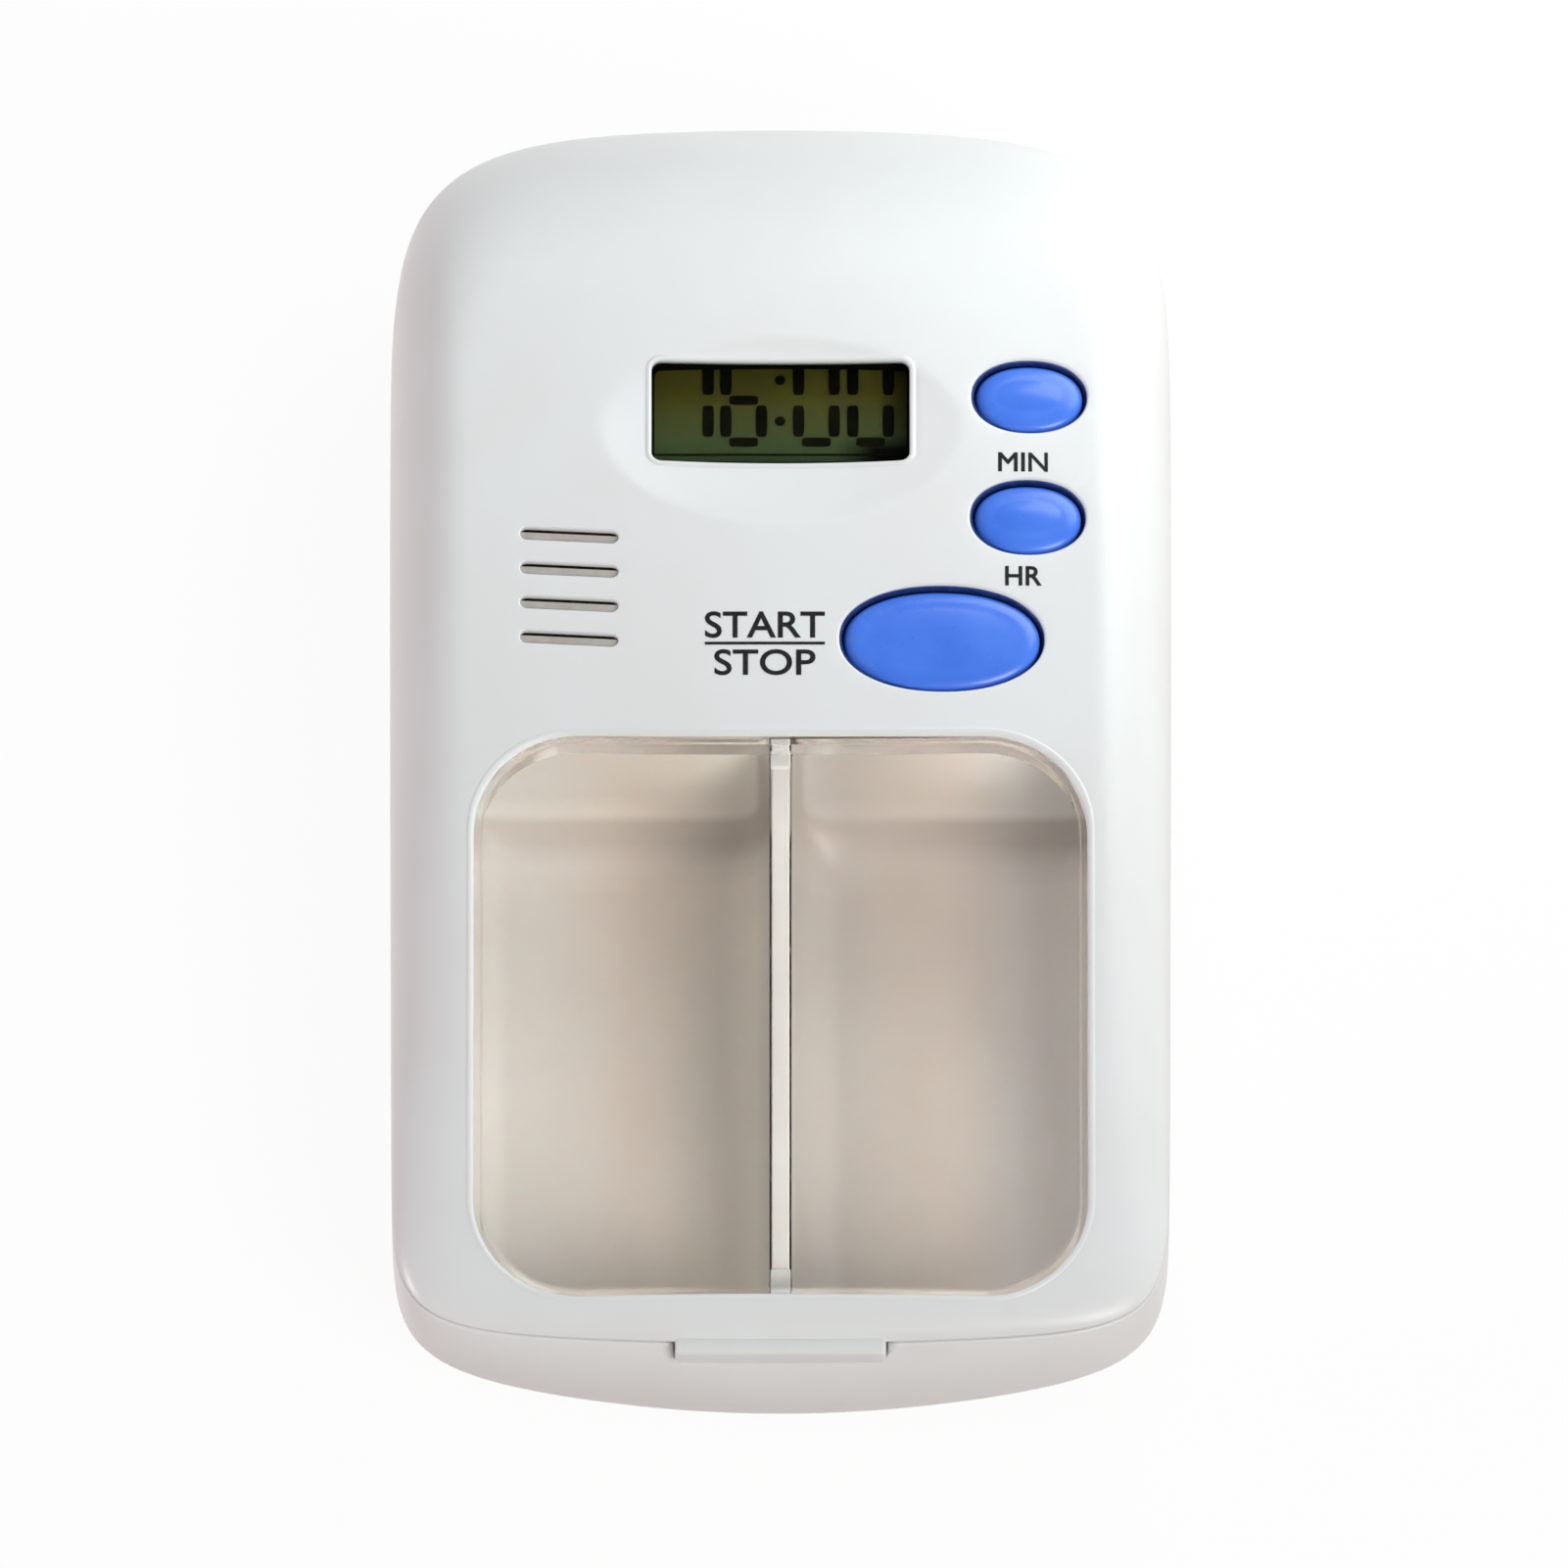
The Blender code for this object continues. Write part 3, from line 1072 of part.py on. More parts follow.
def make_battery_door(parts, cutters):
    """The plate under the two cells, held by one screw."""
    door = block("battery_door",
                 (CELL_X - BAY_HALF - DOOR_LAP, CELL_FIRST_Y - BAY_HALF - DOOR_LAP, DOOR_BOTTOM),
                 (CELL_X + BAY_HALF + DOOR_LAP, DOOR_SCREW_Y + DOOR_SCREW_LAP, DOOR_TOP), parts,
                 DOOR_RADIUS, 3)
    cut(door, cylinder("door_hole", CELL_X, DOOR_SCREW_Y, DOOR_BOTTOM - OVERRUN, DOOR_TOP + OVERRUN,
                       SCREW_HOLE_RADIUS, cutters))
    link = block("battery_link",
                 (CELL_X - LINK_WIDTH / 2, CELL_FIRST_Y - LINK_MARGIN, LINK_BOTTOM),
                 (CELL_X + LINK_WIDTH / 2, CELL_LAST_Y + LINK_MARGIN, LINK_BOTTOM + LINK_THICKNESS),
                 parts)
    return door, link


def make_screw(name, x, y, head_top, top, parts, cutters):
    """A pan-head screw driven upwards, with a slot in its head."""
    head_bottom = head_top - SCREW_HEAD_THICKNESS
    profile = [(0.0, top), (SCREW_SHANK_RADIUS, top), (SCREW_SHANK_RADIUS, head_top),
               (SCREW_HEAD_RADIUS, head_top), (SCREW_HEAD_RADIUS, head_bottom), (0.0, head_bottom)]
    screw = turned(name, x, y, profile, parts)
    slot = block(name + "_slot",
                 (x - SCREW_HEAD_RADIUS - OVERRUN, y - SCREW_SLOT_WIDTH / 2, head_bottom - OVERRUN),
                 (x + SCREW_HEAD_RADIUS + OVERRUN, y + SCREW_SLOT_WIDTH / 2,
                  head_bottom + SCREW_SLOT_DEPTH), cutters)
    cut(screw, slot)
    return screw


def make_cells(parts, cutters):
    """Two button cells and the leaf contacts above them."""
    cells = []
    contacts = []
    top = CELL_BOTTOM + CELL_HEIGHT
    for number in (1, 2):
        y = CELL_FIRST_Y + CELL_PITCH * (number - 1)
        shoulder = top - CELL_CAP_RISE
        cells.append(turned(f"button_cell_{number}", CELL_X, y,
                            [(0.0, top), (CELL_CAP_RADIUS, top), (CELL_CAP_RADIUS, shoulder),
                             (CELL_RADIUS, shoulder), (CELL_RADIUS, CELL_BOTTOM),
                             (0.0, CELL_BOTTOM)], parts, TURN_STEPS * 2))
        leaf_bottom = top + CELL_GAP
        leaf = block(f"battery_contact_{number}",
                     (CELL_X - CONTACT_LENGTH / 2, y - CONTACT_WIDTH / 2, leaf_bottom),
                     (CELL_X + CONTACT_LENGTH / 2, y + CONTACT_WIDTH / 2,
                      leaf_bottom + CONTACT_THICKNESS), parts)
        leg_x = CELL_X - CONTACT_LENGTH / 2
        leg = block(f"contact_leg_{number}",
                    (leg_x, y - CONTACT_WIDTH / 2, leaf_bottom + CONTACT_THICKNESS / 2),
                    (leg_x + CONTACT_LEG, y + CONTACT_WIDTH / 2, BOARD_BOTTOM - CLEARANCE), cutters)
        join(leaf, leg)
        contacts.append(leaf)
    return cells, contacts


def make_hinge_pin(parts):
    """The steel pin that the knuckles turn on."""
    return cross_cylinder("hinge_pin", -HINGE_HALF + CLEARANCE, HINGE_HALF - CLEARANCE,
                          HINGE_AXIS_Y, HINGE_AXIS_Z, PIN_RADIUS, parts)


def add_empty(name, location, group):
    """An empty that marks a joint's axis."""
    empty = bpy.data.objects.new(name, None)
    empty.location = location
    group.objects.link(empty)
    return empty


def hang(items, parent):
    """Parent pieces to an empty and leave them where they are."""
    for item in items:
        item.parent = parent
        item.matrix_parent_inverse = parent.matrix_world.inverted()


def dress(items, material):
    """Give pieces one material."""
    for item in items:
        item.data.materials.append(material)


def main():
    """Build every piece, dress it and hang it on its joint."""
    clear_scene()
    parts = new_collection("electronic_pill_box")
    cutters = new_collection("cutters")
    white = new_material("white_shell", (0.86, 0.87, 0.87), 0.32)
    clear = new_material("clear_window", (0.90, 0.90, 0.88), 0.08, alpha=0.25)
    natural = new_material("natural_tray", (0.47, 0.38, 0.31), 0.45)
    blue = new_material("blue_button", (0.08, 0.23, 0.83), 0.35)
    olive = new_material("display_olive", (0.10, 0.09, 0.03), 0.15)
    silver = new_material("silver_foil", (0.60, 0.60, 0.55), 0.40, 0.8)
    rubber = new_material("dark_rubber", (0.06, 0.06, 0.07), 0.70)
    board_green = new_material("board_green", (0.03, 0.20, 0.08), 0.45)
    epoxy = new_material("black_epoxy", (0.02, 0.02, 0.02), 0.35)
    steel = new_material("bright_steel", (0.62, 0.62, 0.60), 0.28, 1.0)
    brass = new_material("brass_sheet", (0.75, 0.55, 0.22), 0.30, 1.0)
    ceramic = new_material("pale_ceramic", (0.85, 0.84, 0.80), 0.30)
    red = new_material("red_wire", (0.60, 0.04, 0.03), 0.45)

    base = make_base_shell(parts, cutters)
    smooth(base)
    tray = make_pill_tray(parts, cutters)
    smooth(tray)
    divider = make_tray_divider(parts, cutters)
    pin = make_hinge_pin(parts)
    cover = make_front_cover(parts, cutters)
    pane = make_window_pane(parts, cutters)
    lens, glass, reflector, strip_upper, strip_lower = make_display(parts)
    plate, disc, leads = make_sounder(parts)
    board = make_circuit_board(parts, cutters)
    chip, crystal, capacitor, resistors = make_board_parts(parts)
    tub = make_module_cover(parts, cutters)
    door, link = make_battery_door(parts, cutters)
    cells, contacts = make_cells(parts, cutters)
    screws = [make_screw(f"module_screw_{number}", x, y, MODULE_FLOOR_BOTTOM - CLEARANCE / 2,
                         SCREW_TOP, parts, cutters)
              for number, (x, y) in enumerate(BOARD_SCREWS, start=1)]
    door_screw = make_screw("battery_door_screw", CELL_X, DOOR_SCREW_Y, DOOR_BOTTOM - CLEARANCE / 2,
                            DOOR_BOTTOM + DOOR_SCREW_LENGTH, parts, cutters)

    cover_axis = add_empty("cover_axis", (0.0, HINGE_AXIS_Y, HINGE_AXIS_Z), parts)
    door_axis = add_empty("door_axis", (CELL_X, DOOR_SCREW_Y, DOOR_BOTTOM), parts)
    bpy.context.view_layer.update()
    button_caps = []
    domes = []
    for name, x, y, width, length in BUTTON_PLACES:
        cap = make_button(name, x, y, width, length, parts, cutters)
        dome = make_rubber_dome(name.replace("button", "dome"), x, y, parts)
        button_axis = add_empty(name + "_axis", (x, y, STEM_END), parts)
        bpy.context.view_layer.update()
        hang([cap], button_axis)
        hang([button_axis], cover_axis)
        button_caps.append(cap)
        domes.append(dome)
    door_pieces = [door, link, door_screw]
    hang(door_pieces, door_axis)
    hang([door_axis], cover_axis)
    hang([cover, pane, lens, glass, reflector, strip_upper, strip_lower, plate, disc, board, chip,
          crystal, capacitor, tub] + leads + resistors + cells + contacts + screws + domes, cover_axis)

    dress([base, cover, divider, tub, door], white)
    dress([tray], natural)
    dress([pane, lens], clear)
    dress([glass], olive)
    dress([reflector], silver)
    dress([strip_upper, strip_lower] + domes, rubber)
    dress(button_caps, blue)
    dress([board], board_green)
    dress([chip], epoxy)
    dress([crystal, capacitor, link, pin, door_screw] + cells + contacts + screws, steel)
    dress([plate], brass)
    dress([disc] + resistors, ceramic)
    dress(leads, red)


main()
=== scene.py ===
"""Looks of the electronic pill box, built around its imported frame.

The box lies flat on z = 0 with the nose towards -Y and the hinge end towards +Y.
Lengths are in metres and angles in degrees, unless a name says otherwise.
"""

import logging
import math
from collections.abc import Callable, Iterable, Sequence
from dataclasses import dataclass, field, replace
from enum import Enum
from functools import cache, cached_property

import bmesh
import bpy
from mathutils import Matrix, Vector
from mathutils.geometry import delaunay_2d_cdt


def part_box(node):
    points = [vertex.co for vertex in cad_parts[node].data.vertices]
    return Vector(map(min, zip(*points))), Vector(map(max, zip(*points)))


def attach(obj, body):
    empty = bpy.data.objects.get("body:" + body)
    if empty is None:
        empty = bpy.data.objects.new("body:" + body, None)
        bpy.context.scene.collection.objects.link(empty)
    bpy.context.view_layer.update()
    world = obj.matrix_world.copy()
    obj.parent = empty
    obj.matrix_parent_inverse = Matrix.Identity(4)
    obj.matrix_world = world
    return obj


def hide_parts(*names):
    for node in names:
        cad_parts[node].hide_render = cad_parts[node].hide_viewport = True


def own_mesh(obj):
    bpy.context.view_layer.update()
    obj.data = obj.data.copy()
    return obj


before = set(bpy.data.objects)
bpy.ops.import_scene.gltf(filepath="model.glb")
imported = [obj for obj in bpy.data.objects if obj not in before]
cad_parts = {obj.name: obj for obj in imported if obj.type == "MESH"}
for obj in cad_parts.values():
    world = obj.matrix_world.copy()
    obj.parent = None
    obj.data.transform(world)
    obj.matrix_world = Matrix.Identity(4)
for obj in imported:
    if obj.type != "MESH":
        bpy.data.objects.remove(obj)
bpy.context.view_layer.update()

Point = tuple[float, float]
Colour = tuple[float, float, float]
HeightMap = Callable[[float, float], float]
Socket = bpy.types.NodeSocket
Item = bpy.types.Object

WHOLE: Point = (0.0, 1.0)
SHARP_ANGLE = 38.0
ROUND_ANGLE = 50.0
ROD_FACETS = 32
ARC_STEPS = 600
LEAST_TURN = 0.5
TOUCHING = 1e-9

log = logging.getLogger("pill_box")


class Body(Enum):
    """The bodies that a piece can ride on."""

    BASE = "base"
    COVER = "cover"
    MINUTE_KEY = "minute_key"
    HOUR_KEY = "hour_key"
    START_STOP_KEY = "start_stop_key"


class Carving(Enum):
    """What a tool does to a piece."""

    CUT = "DIFFERENCE"
    JOIN = "UNION"
    KEEP = "INTERSECT"


# Finishes


class NodeSheet:
    """A material's node tree, with short calls that add nodes and link them."""

    speck_core = 0.6
    speck_step = 0.01

    def __init__(self, name: str) -> None:
        """Start a material with its shader and the place on the surface.

        Args:
            name: The material's name.
        """
        self.material = bpy.data.materials.new(name)
        self.material.use_nodes = True
        self.tree = self.material.node_tree
        self.shader = self.tree.nodes["Principled BSDF"]
        self.place = self.add("ShaderNodeTexCoord").outputs["Object"]

    def add(self, kind: str, **settings: object) -> bpy.types.Node:
        """Add a node.

        Args:
            kind: The node's type.
            settings: Properties to set on it.

        Returns:
            The new node.
        """
        node = self.tree.nodes.new(kind)
        for name, value in settings.items():
            setattr(node, name, value)
        return node

    def link(self, source: Socket, target: Socket) -> None:
        """Link an output to an input."""
        self.tree.links.new(source, target)

    def stretched(self, stretch: Colour) -> Socket:
        """The place on the surface, stretched along the three axes.

        Args:
            stretch: How much it is stretched along each axis.

        Returns:
            The stretched place.
        """
        mapping = self.add("ShaderNodeMapping")
        mapping.inputs["Scale"].default_value = stretch
        self.link(self.place, mapping.inputs["Vector"])
        return mapping.outputs["Vector"]

    def noise(self, size: float, detail: float = 3.0,
              stretch: Colour = (1.0, 1.0, 1.0)) -> Socket:
        """Cloudy noise over the surface.

        Args:
            size: Width of one cloud.
            detail: How many finer layers it carries.
            stretch: How much faster it changes along each axis.

        Returns:
            The noise, from 0 to 1.
        """
        texture = self.add("ShaderNodeTexNoise")
        texture.inputs["Scale"].default_value = 1.0 / size
        texture.inputs["Detail"].default_value = detail
        self.link(self.stretched(stretch), texture.inputs["Vector"])
        return texture.outputs["Fac"]

    def remap(self, value: Socket, source: Point, target: Point) -> Socket:
        """Stretch one span of a value over another.

        Args:
            value: The value to read.
            source: The span that is read.
            target: The span that comes out.

        Returns:
            The remapped value, held inside the target span.
        """
        node = self.add("ShaderNodeMapRange")
        for name, number in zip(("From Min", "From Max", "To Min", "To Max"), (*source, *target)):
            node.inputs[name].default_value = number
        self.link(value, node.inputs["Value"])
        return node.outputs["Result"]

    def joined(self, operation: str, first: Socket, second: Socket) -> Socket:
        """One value worked out from two.

        Args:
            operation: What is done with them.
            first: The first value.
            second: The second value.

        Returns:
            The new value.
        """
        node = self.add("ShaderNodeMath", operation=operation)
        self.link(first, node.inputs[0])
        self.link(second, node.inputs[1])
        return node.outputs[0]

    def times(self, first: Socket, second: Socket) -> Socket:
        """The product of two values."""
        return self.joined("MULTIPLY", first, second)

    def lay_over(self, share: Socket, shader: Socket) -> None:
        """Lay another shader over the material's own.

        Args:
            share: How much of the other shader shows.
            shader: The other shader.
        """
        mixed = self.add("ShaderNodeMixShader")
        for source, target in zip((share, self.shader.outputs[0], shader), mixed.inputs):
            self.link(source, target)
        self.link(mixed.outputs[0], self.tree.nodes["Material Output"].inputs["Surface"])

    def blend(self, share: Socket | float, first: object,
              second: object) -> Socket:
        """Blend two colours, each a colour or an output.

        Args:
            share: How much of the second colour shows.
            first: The colour under it.
            second: The colour over it.

        Returns:
            The blended colour.
        """
        node = self.add("ShaderNodeMix", data_type="RGBA")
        colours = [socket for socket in node.inputs if socket.type == "RGBA"]
        shares = [socket for socket in node.inputs if socket.type == "VALUE"]
        if isinstance(share, float):
            shares[0].default_value = share
        else:
            self.link(share, shares[0])
        for socket, colour in zip(colours, (first, second)):
            if isinstance(colour, tuple):
                socket.default_value = (*colour, 1.0)
            else:
                self.link(colour, socket)
        return next(socket for socket in node.outputs if socket.type == "RGBA")

    def specks(self, spacing: float, size: float, share: float) -> Socket:
        """Small round specks, strewn unevenly.

        Args:
            spacing: Distance between the places where a speck may lie.
            size: Radius of a speck.
            share: Share of the places that hold one.

        Returns:
            1 inside a speck and 0 outside.
        """
        cells = self.add("ShaderNodeTexVoronoi")
        cells.inputs["Scale"].default_value = 1.0 / spacing
        self.link(self.place, cells.inputs["Vector"])
        dot = self.remap(cells.outputs["Distance"], (size / spacing, self.speck_core * size / spacing), WHOLE)
        chosen = self.remap(cells.outputs["Color"], (1.0 - share, 1.0 - share + self.speck_step), WHOLE)
        return self.times(dot, chosen)

    def edges(self, low: float, high: float) -> Socket:
        """How sharply the surface turns outwards, from 0 to 1."""
        geometry = self.add("ShaderNodeNewGeometry")
        return self.remap(geometry.outputs["Pointiness"], (low, high), WHOLE)

    def relief(self, height: Socket, depth: float) -> None:
        """Give the surface a fine relief.

        Args:
            height: The relief, from 0 to 1.
            depth: How deep it is.
        """
        bump = self.add("ShaderNodeBump")
        bump.inputs["Distance"].default_value = depth
        self.link(height, bump.inputs["Height"])
        self.link(bump.outputs["Normal"], self.shader.inputs["Normal"])

    def along(self, axis: str, start: float, end: float) -> Socket:
        """How far a place is from start to end along an axis, from 0 to 1.

        Args:
            axis: X, Y or Z.
            start: Where the value is 0.
            end: Where the value is 1.

        Returns:
            The share of the way.
        """
        split = self.add("ShaderNodeSeparateXYZ")
        self.link(self.place, split.inputs[0])
        return self.remap(split.outputs[axis], (start, end), WHOLE)


@dataclass(frozen=True)
class Finish:
    """A surface with drifting colour, uneven gloss, fine grain, wear and dust."""

    name: str
    slot: str
    colour: Colour
    drift_colour: Colour
    roughness: float
    roughness_spread: float = 0.08
    drift_size: float = 0.011
    grain_size: float = 0.00018
    grain_depth: float = 0.0000025
    grain_stretch: Colour = (1.0, 1.0, 1.0)
    metallic: float = 0.0
    shine: float = 0.5
    coat: float = 0.0
    translucence: float = 0.0
    translucence_depth: float = 0.001
    worn_colour: Colour = (0.6, 0.6, 0.6)
    worn_share: float = 0.0
    dust_colour: Colour = (0.55, 0.52, 0.48)
    dust_share: float = 0.0
    dust_size: float = 0.00006
    dust_spacing: float = 0.0018
    cloud_span: Point = (0.35, 0.68)
    patch_span: Point = (0.4, 0.7)
    edge_span: Point = (0.52, 0.58)
    gloss_span: Point = (0.3, 0.7)

    def clouded(self, sheet: NodeSheet) -> Socket:
        """The two colours, drifting into each other."""
        cloud = sheet.remap(sheet.noise(self.drift_size), self.cloud_span, WHOLE)
        return sheet.blend(cloud, self.colour, self.drift_colour)

    def dusted(self, sheet: NodeSheet, colour: Socket) -> Socket:
        """A colour with dust strewn over it."""
        dust = sheet.specks(self.dust_spacing, self.dust_size, self.dust_share)
        return sheet.blend(dust, colour, self.dust_colour)

    def base_colour(self, sheet: NodeSheet) -> Socket:
        """The colour over the surface.

        Args:
            sheet: The material's nodes.

        Returns:
            The colour.
        """
        colour = self.clouded(sheet)
        if self.worn_share > 0.0:
            patchy = sheet.remap(sheet.noise(self.drift_size / 4), self.patch_span, (0.0, self.worn_share))
            worn = sheet.times(sheet.edges(*self.edge_span), patchy)
            colour = sheet.blend(worn, colour, self.worn_colour)
        return self.dusted(sheet, colour) if self.dust_share > 0.0 else colour

    @cache
    def material(self) -> bpy.types.Material:
        """The material of this finish, made once.

        Returns:
            The material.
        """
        sheet = NodeSheet(self.name)
        inputs = sheet.shader.inputs
        sheet.link(self.base_colour(sheet), inputs["Base Color"])
        half = self.roughness_spread / 2
        gloss = sheet.remap(sheet.noise(self.drift_size / 3, 5.0), self.gloss_span,
                            (self.roughness - half, self.roughness + half))
        sheet.link(gloss, inputs["Roughness"])
        sheet.relief(sheet.noise(self.grain_size, 2.0, self.grain_stretch), self.grain_depth)
        inputs["Metallic"].default_value = self.metallic
        inputs["Specular IOR Level"].default_value = self.shine
        inputs["Coat Weight"].default_value = self.coat
        inputs["Subsurface Weight"].default_value = self.translucence
        inputs["Subsurface Scale"].default_value = self.translucence_depth
        return sheet.material


@dataclass(frozen=True)
class ClearFinish(Finish):
    """Clear moulded plastic with faint haze, fine scratches and dust."""

    scratch_size: float = 0.0006
    scratch_stretch: Colour = (0.08, 1.0, 1.0)
    scratch_span: Point = (0.52, 0.75)
    refraction: float = 1.34
    shadow_colour: Colour = (0.93, 0.92, 0.90)

    @cache
    def material(self) -> bpy.types.Material:
        """The clear material, made once.

        Returns:
            The material.
        """
        sheet = NodeSheet(self.name)
        inputs = sheet.shader.inputs
        inputs["Transmission Weight"].default_value = 1.0
        inputs["IOR"].default_value = self.refraction
        sheet.link(self.base_colour(sheet), inputs["Base Color"])
        scratches = sheet.noise(self.scratch_size, 4.0, self.scratch_stretch)
        gloss = sheet.remap(scratches, self.scratch_span,
                            (self.roughness, self.roughness + self.roughness_spread))
        sheet.link(gloss, inputs["Roughness"])
        sheet.relief(sheet.noise(self.drift_size, 1.0), self.grain_depth)
        rays = sheet.add("ShaderNodeLightPath")
        clear = sheet.add("ShaderNodeBsdfTransparent")
        clear.inputs["Color"].default_value = (*self.shadow_colour, 1.0)
        sheet.lay_over(rays.outputs["Is Shadow Ray"], clear.outputs[0])
        return sheet.material


@dataclass(frozen=True)
class TrayFinish(Finish):
    """Natural plastic with painted light and shade: its tone changes across the two troughs and darkens near
    their clock end.
    """

    tint_share: float = 0.82
    span: Point = (-0.0195, 0.0195)
    # Painted light and shade across the troughs: each is paler towards its right side, which lies in shade,
    # and darker towards its lit left side.
    painted_light_tones: tuple[tuple[float, Colour], ...] = (
        (-0.0195, (0.63, 0.62, 0.60)), (-0.0150, (0.66, 0.64, 0.61)), (-0.0095, (0.69, 0.62, 0.56)),
        (-0.0060, (0.78, 0.71, 0.64)), (-0.0015, (1.0, 0.93, 0.86)), (0.0010, (0.46, 0.44, 0.42)),
        (0.0045, (0.49, 0.46, 0.43)), (0.0085, (0.65, 0.59, 0.535)), (0.0120, (0.87, 0.79, 0.73)),
        (0.0150, (1.0, 0.97, 0.95)),
    )
    length: Point = (-0.0080, -0.0015)
    # Painted shade along the tray: darkens the troughs' lit clock-end walls.
    painted_shade_stops: tuple[tuple[float, float], ...] = (
        (-0.0062, 0.0), (-0.0048, 0.16), (-0.0036, 0.55), (-0.0027, 0.55), (-0.0024, 0.10))
    painted_shade_colour: Colour = (0.34, 0.29, 0.25)

    def ramp(self, sheet: NodeSheet, axis: str, span: Point,
             painted_light_tones: Sequence[tuple[float, Colour]]) -> Socket:
        """Colours that follow one axis of the box.

        Args:
            sheet: The material's nodes.
            axis: The axis, X or Y.
            span: Where the ramp starts and ends.
            painted_light_tones: Places between them, each with its colour.

        Returns:
            The colour.
        """
        ramp = sheet.add("ShaderNodeValToRGB")
        low, high = span
        sheet.link(sheet.along(axis, low, high), ramp.inputs["Fac"])
        stops = ramp.color_ramp.elements
        while len(stops) < len(painted_light_tones):
            stops.new(0.5)
        for stop, (place, colour) in zip(stops, painted_light_tones):
            stop.position = (place - low) / (high - low)
            stop.color = (*colour, 1.0)
        return ramp.outputs["Color"]

    def base_colour(self, sheet: NodeSheet) -> Socket:
        """The drifting colour under the painted light and shade that run across and along the tray.

        Args:
            sheet: The material's nodes.

        Returns:
            The colour.
        """
        # Painted light and shade across the troughs.
        across = self.ramp(sheet, "X", self.span, self.painted_light_tones)
        tinted = sheet.blend(self.tint_share, super().base_colour(sheet), across)
        # Painted shade towards the troughs' clock end.
        shares = self.ramp(sheet, "Y", self.length, [(y, (share, share, share)) for y, share in self.painted_shade_stops])
        return sheet.blend(shares, tinted, self.painted_shade_colour)


@dataclass(frozen=True)
class DisplayFinish(Finish):
    """Olive liquid-crystal glass that turns green lower down, with painted shadow that blackens its lower
    right corner.
    """

    low_colour: Colour = (0.038, 0.064, 0.030)
    # Painted shadow colour for the lower right corner.
    painted_shade_colour: Colour = (0.001, 0.001, 0.001)
    lower_edge: float = 0.0175
    upper_edge: float = 0.0225
    corner_shadow_x: Point = (0.0034, 0.0060)
    corner_shadow_y: Point = (0.0196, 0.0184)

    def base_colour(self, sheet: NodeSheet) -> Socket:
        """Olive above, green below and black in the corner as painted shadow.

        Args:
            sheet: The material's nodes.

        Returns:
            The colour.
        """
        lower = sheet.along("Y", self.upper_edge, self.lower_edge)
        colour = sheet.blend(lower, self.clouded(sheet), self.low_colour)
        # Painted shadow in the lower right corner.
        corner = sheet.times(sheet.along("X", *self.corner_shadow_x), sheet.along("Y", *self.corner_shadow_y))
        return self.dusted(sheet, sheet.blend(corner, colour, self.painted_shade_colour))


SHELL_WHITE = Finish("satin_white_shell", "white_shell", (0.80, 0.825, 0.83), (0.78, 0.795, 0.795), 0.34,
                     worn_colour=(0.66, 0.65, 0.62), worn_share=0.12,
                     dust_colour=(0.30, 0.28, 0.26), dust_share=0.03, dust_size=0.00007,
                     dust_spacing=0.004)
INNER_WHITE = Finish("plain_white_moulding", "white_shell", (0.74, 0.75, 0.75), (0.70, 0.70, 0.69), 0.42,
                     worn_share=0.1)
DIVIDER_WHITE = Finish("divider_white", "white_divider", (0.69, 0.69, 0.67), (0.64, 0.635, 0.61), 0.38,
                       translucence=0.15, dust_share=0.10, dust_colour=(0.5, 0.47, 0.43))
TRAY_NATURAL = TrayFinish("tray_plastic", "natural_tray", (0.73, 0.65, 0.58), (0.70, 0.62, 0.55), 0.42,
                      drift_size=0.018, translucence=0.2, translucence_depth=0.002,
                      dust_share=0.30, dust_colour=(0.72, 0.66, 0.58), dust_size=0.00006,
                      dust_spacing=0.0022)
WINDOW_CLEAR = ClearFinish("window_plastic", "clear_window", (0.97, 0.965, 0.955), (0.94, 0.93, 0.915), 0.03,
                           roughness_spread=0.12, drift_size=0.006, grain_depth=0.000004,
                           dust_share=0.12, dust_colour=(0.9, 0.88, 0.85), dust_size=0.00005,
                           dust_spacing=0.0024)
LENS_CLEAR = ClearFinish("clear_lens", "clear_window", (0.97, 0.97, 0.95), (0.95, 0.95, 0.92), 0.04,
                         roughness_spread=0.08, drift_size=0.004, grain_depth=0.000002,
                         dust_share=0.10, dust_colour=(0.9, 0.9, 0.85), dust_size=0.00006,
                         dust_spacing=0.0016, refraction=1.07)
DISPLAY_OLIVE = DisplayFinish("display_crystal", "display_olive", (0.056, 0.053, 0.007),
                              (0.045, 0.044, 0.010), 0.30, shine=0.02, drift_size=0.0035,
                              grain_size=0.0003, grain_depth=0.0000005,
                              dust_share=0.05, dust_colour=(0.6, 0.58, 0.4), dust_size=0.00007,
                              dust_spacing=0.002)
# Black of the digits, also used for painted shadow along the display's edges.
DIGIT_AND_SHADOW_BLACK = Finish("display_digits_and_shadow", "display_olive", (0.002, 0.002, 0.001), (0.005, 0.005, 0.002), 0.5,
                     shine=0.02, drift_size=0.0012, grain_depth=0.0000005)
PRINT_BLACK = Finish("printed_legend", "white_shell", (0.012, 0.012, 0.014), (0.024, 0.023, 0.026), 0.5,
                     shine=0.15, drift_size=0.0006, grain_size=0.00006, grain_depth=0.000002)
BUTTON_BLUE = Finish("button_plastic", "blue_button", (0.055, 0.190, 0.84), (0.072, 0.225, 0.90), 0.30,
                     drift_size=0.004, coat=0.10, worn_colour=(0.16, 0.34, 0.88), worn_share=0.25,
                     dust_share=0.05, dust_colour=(0.25, 0.4, 0.8))
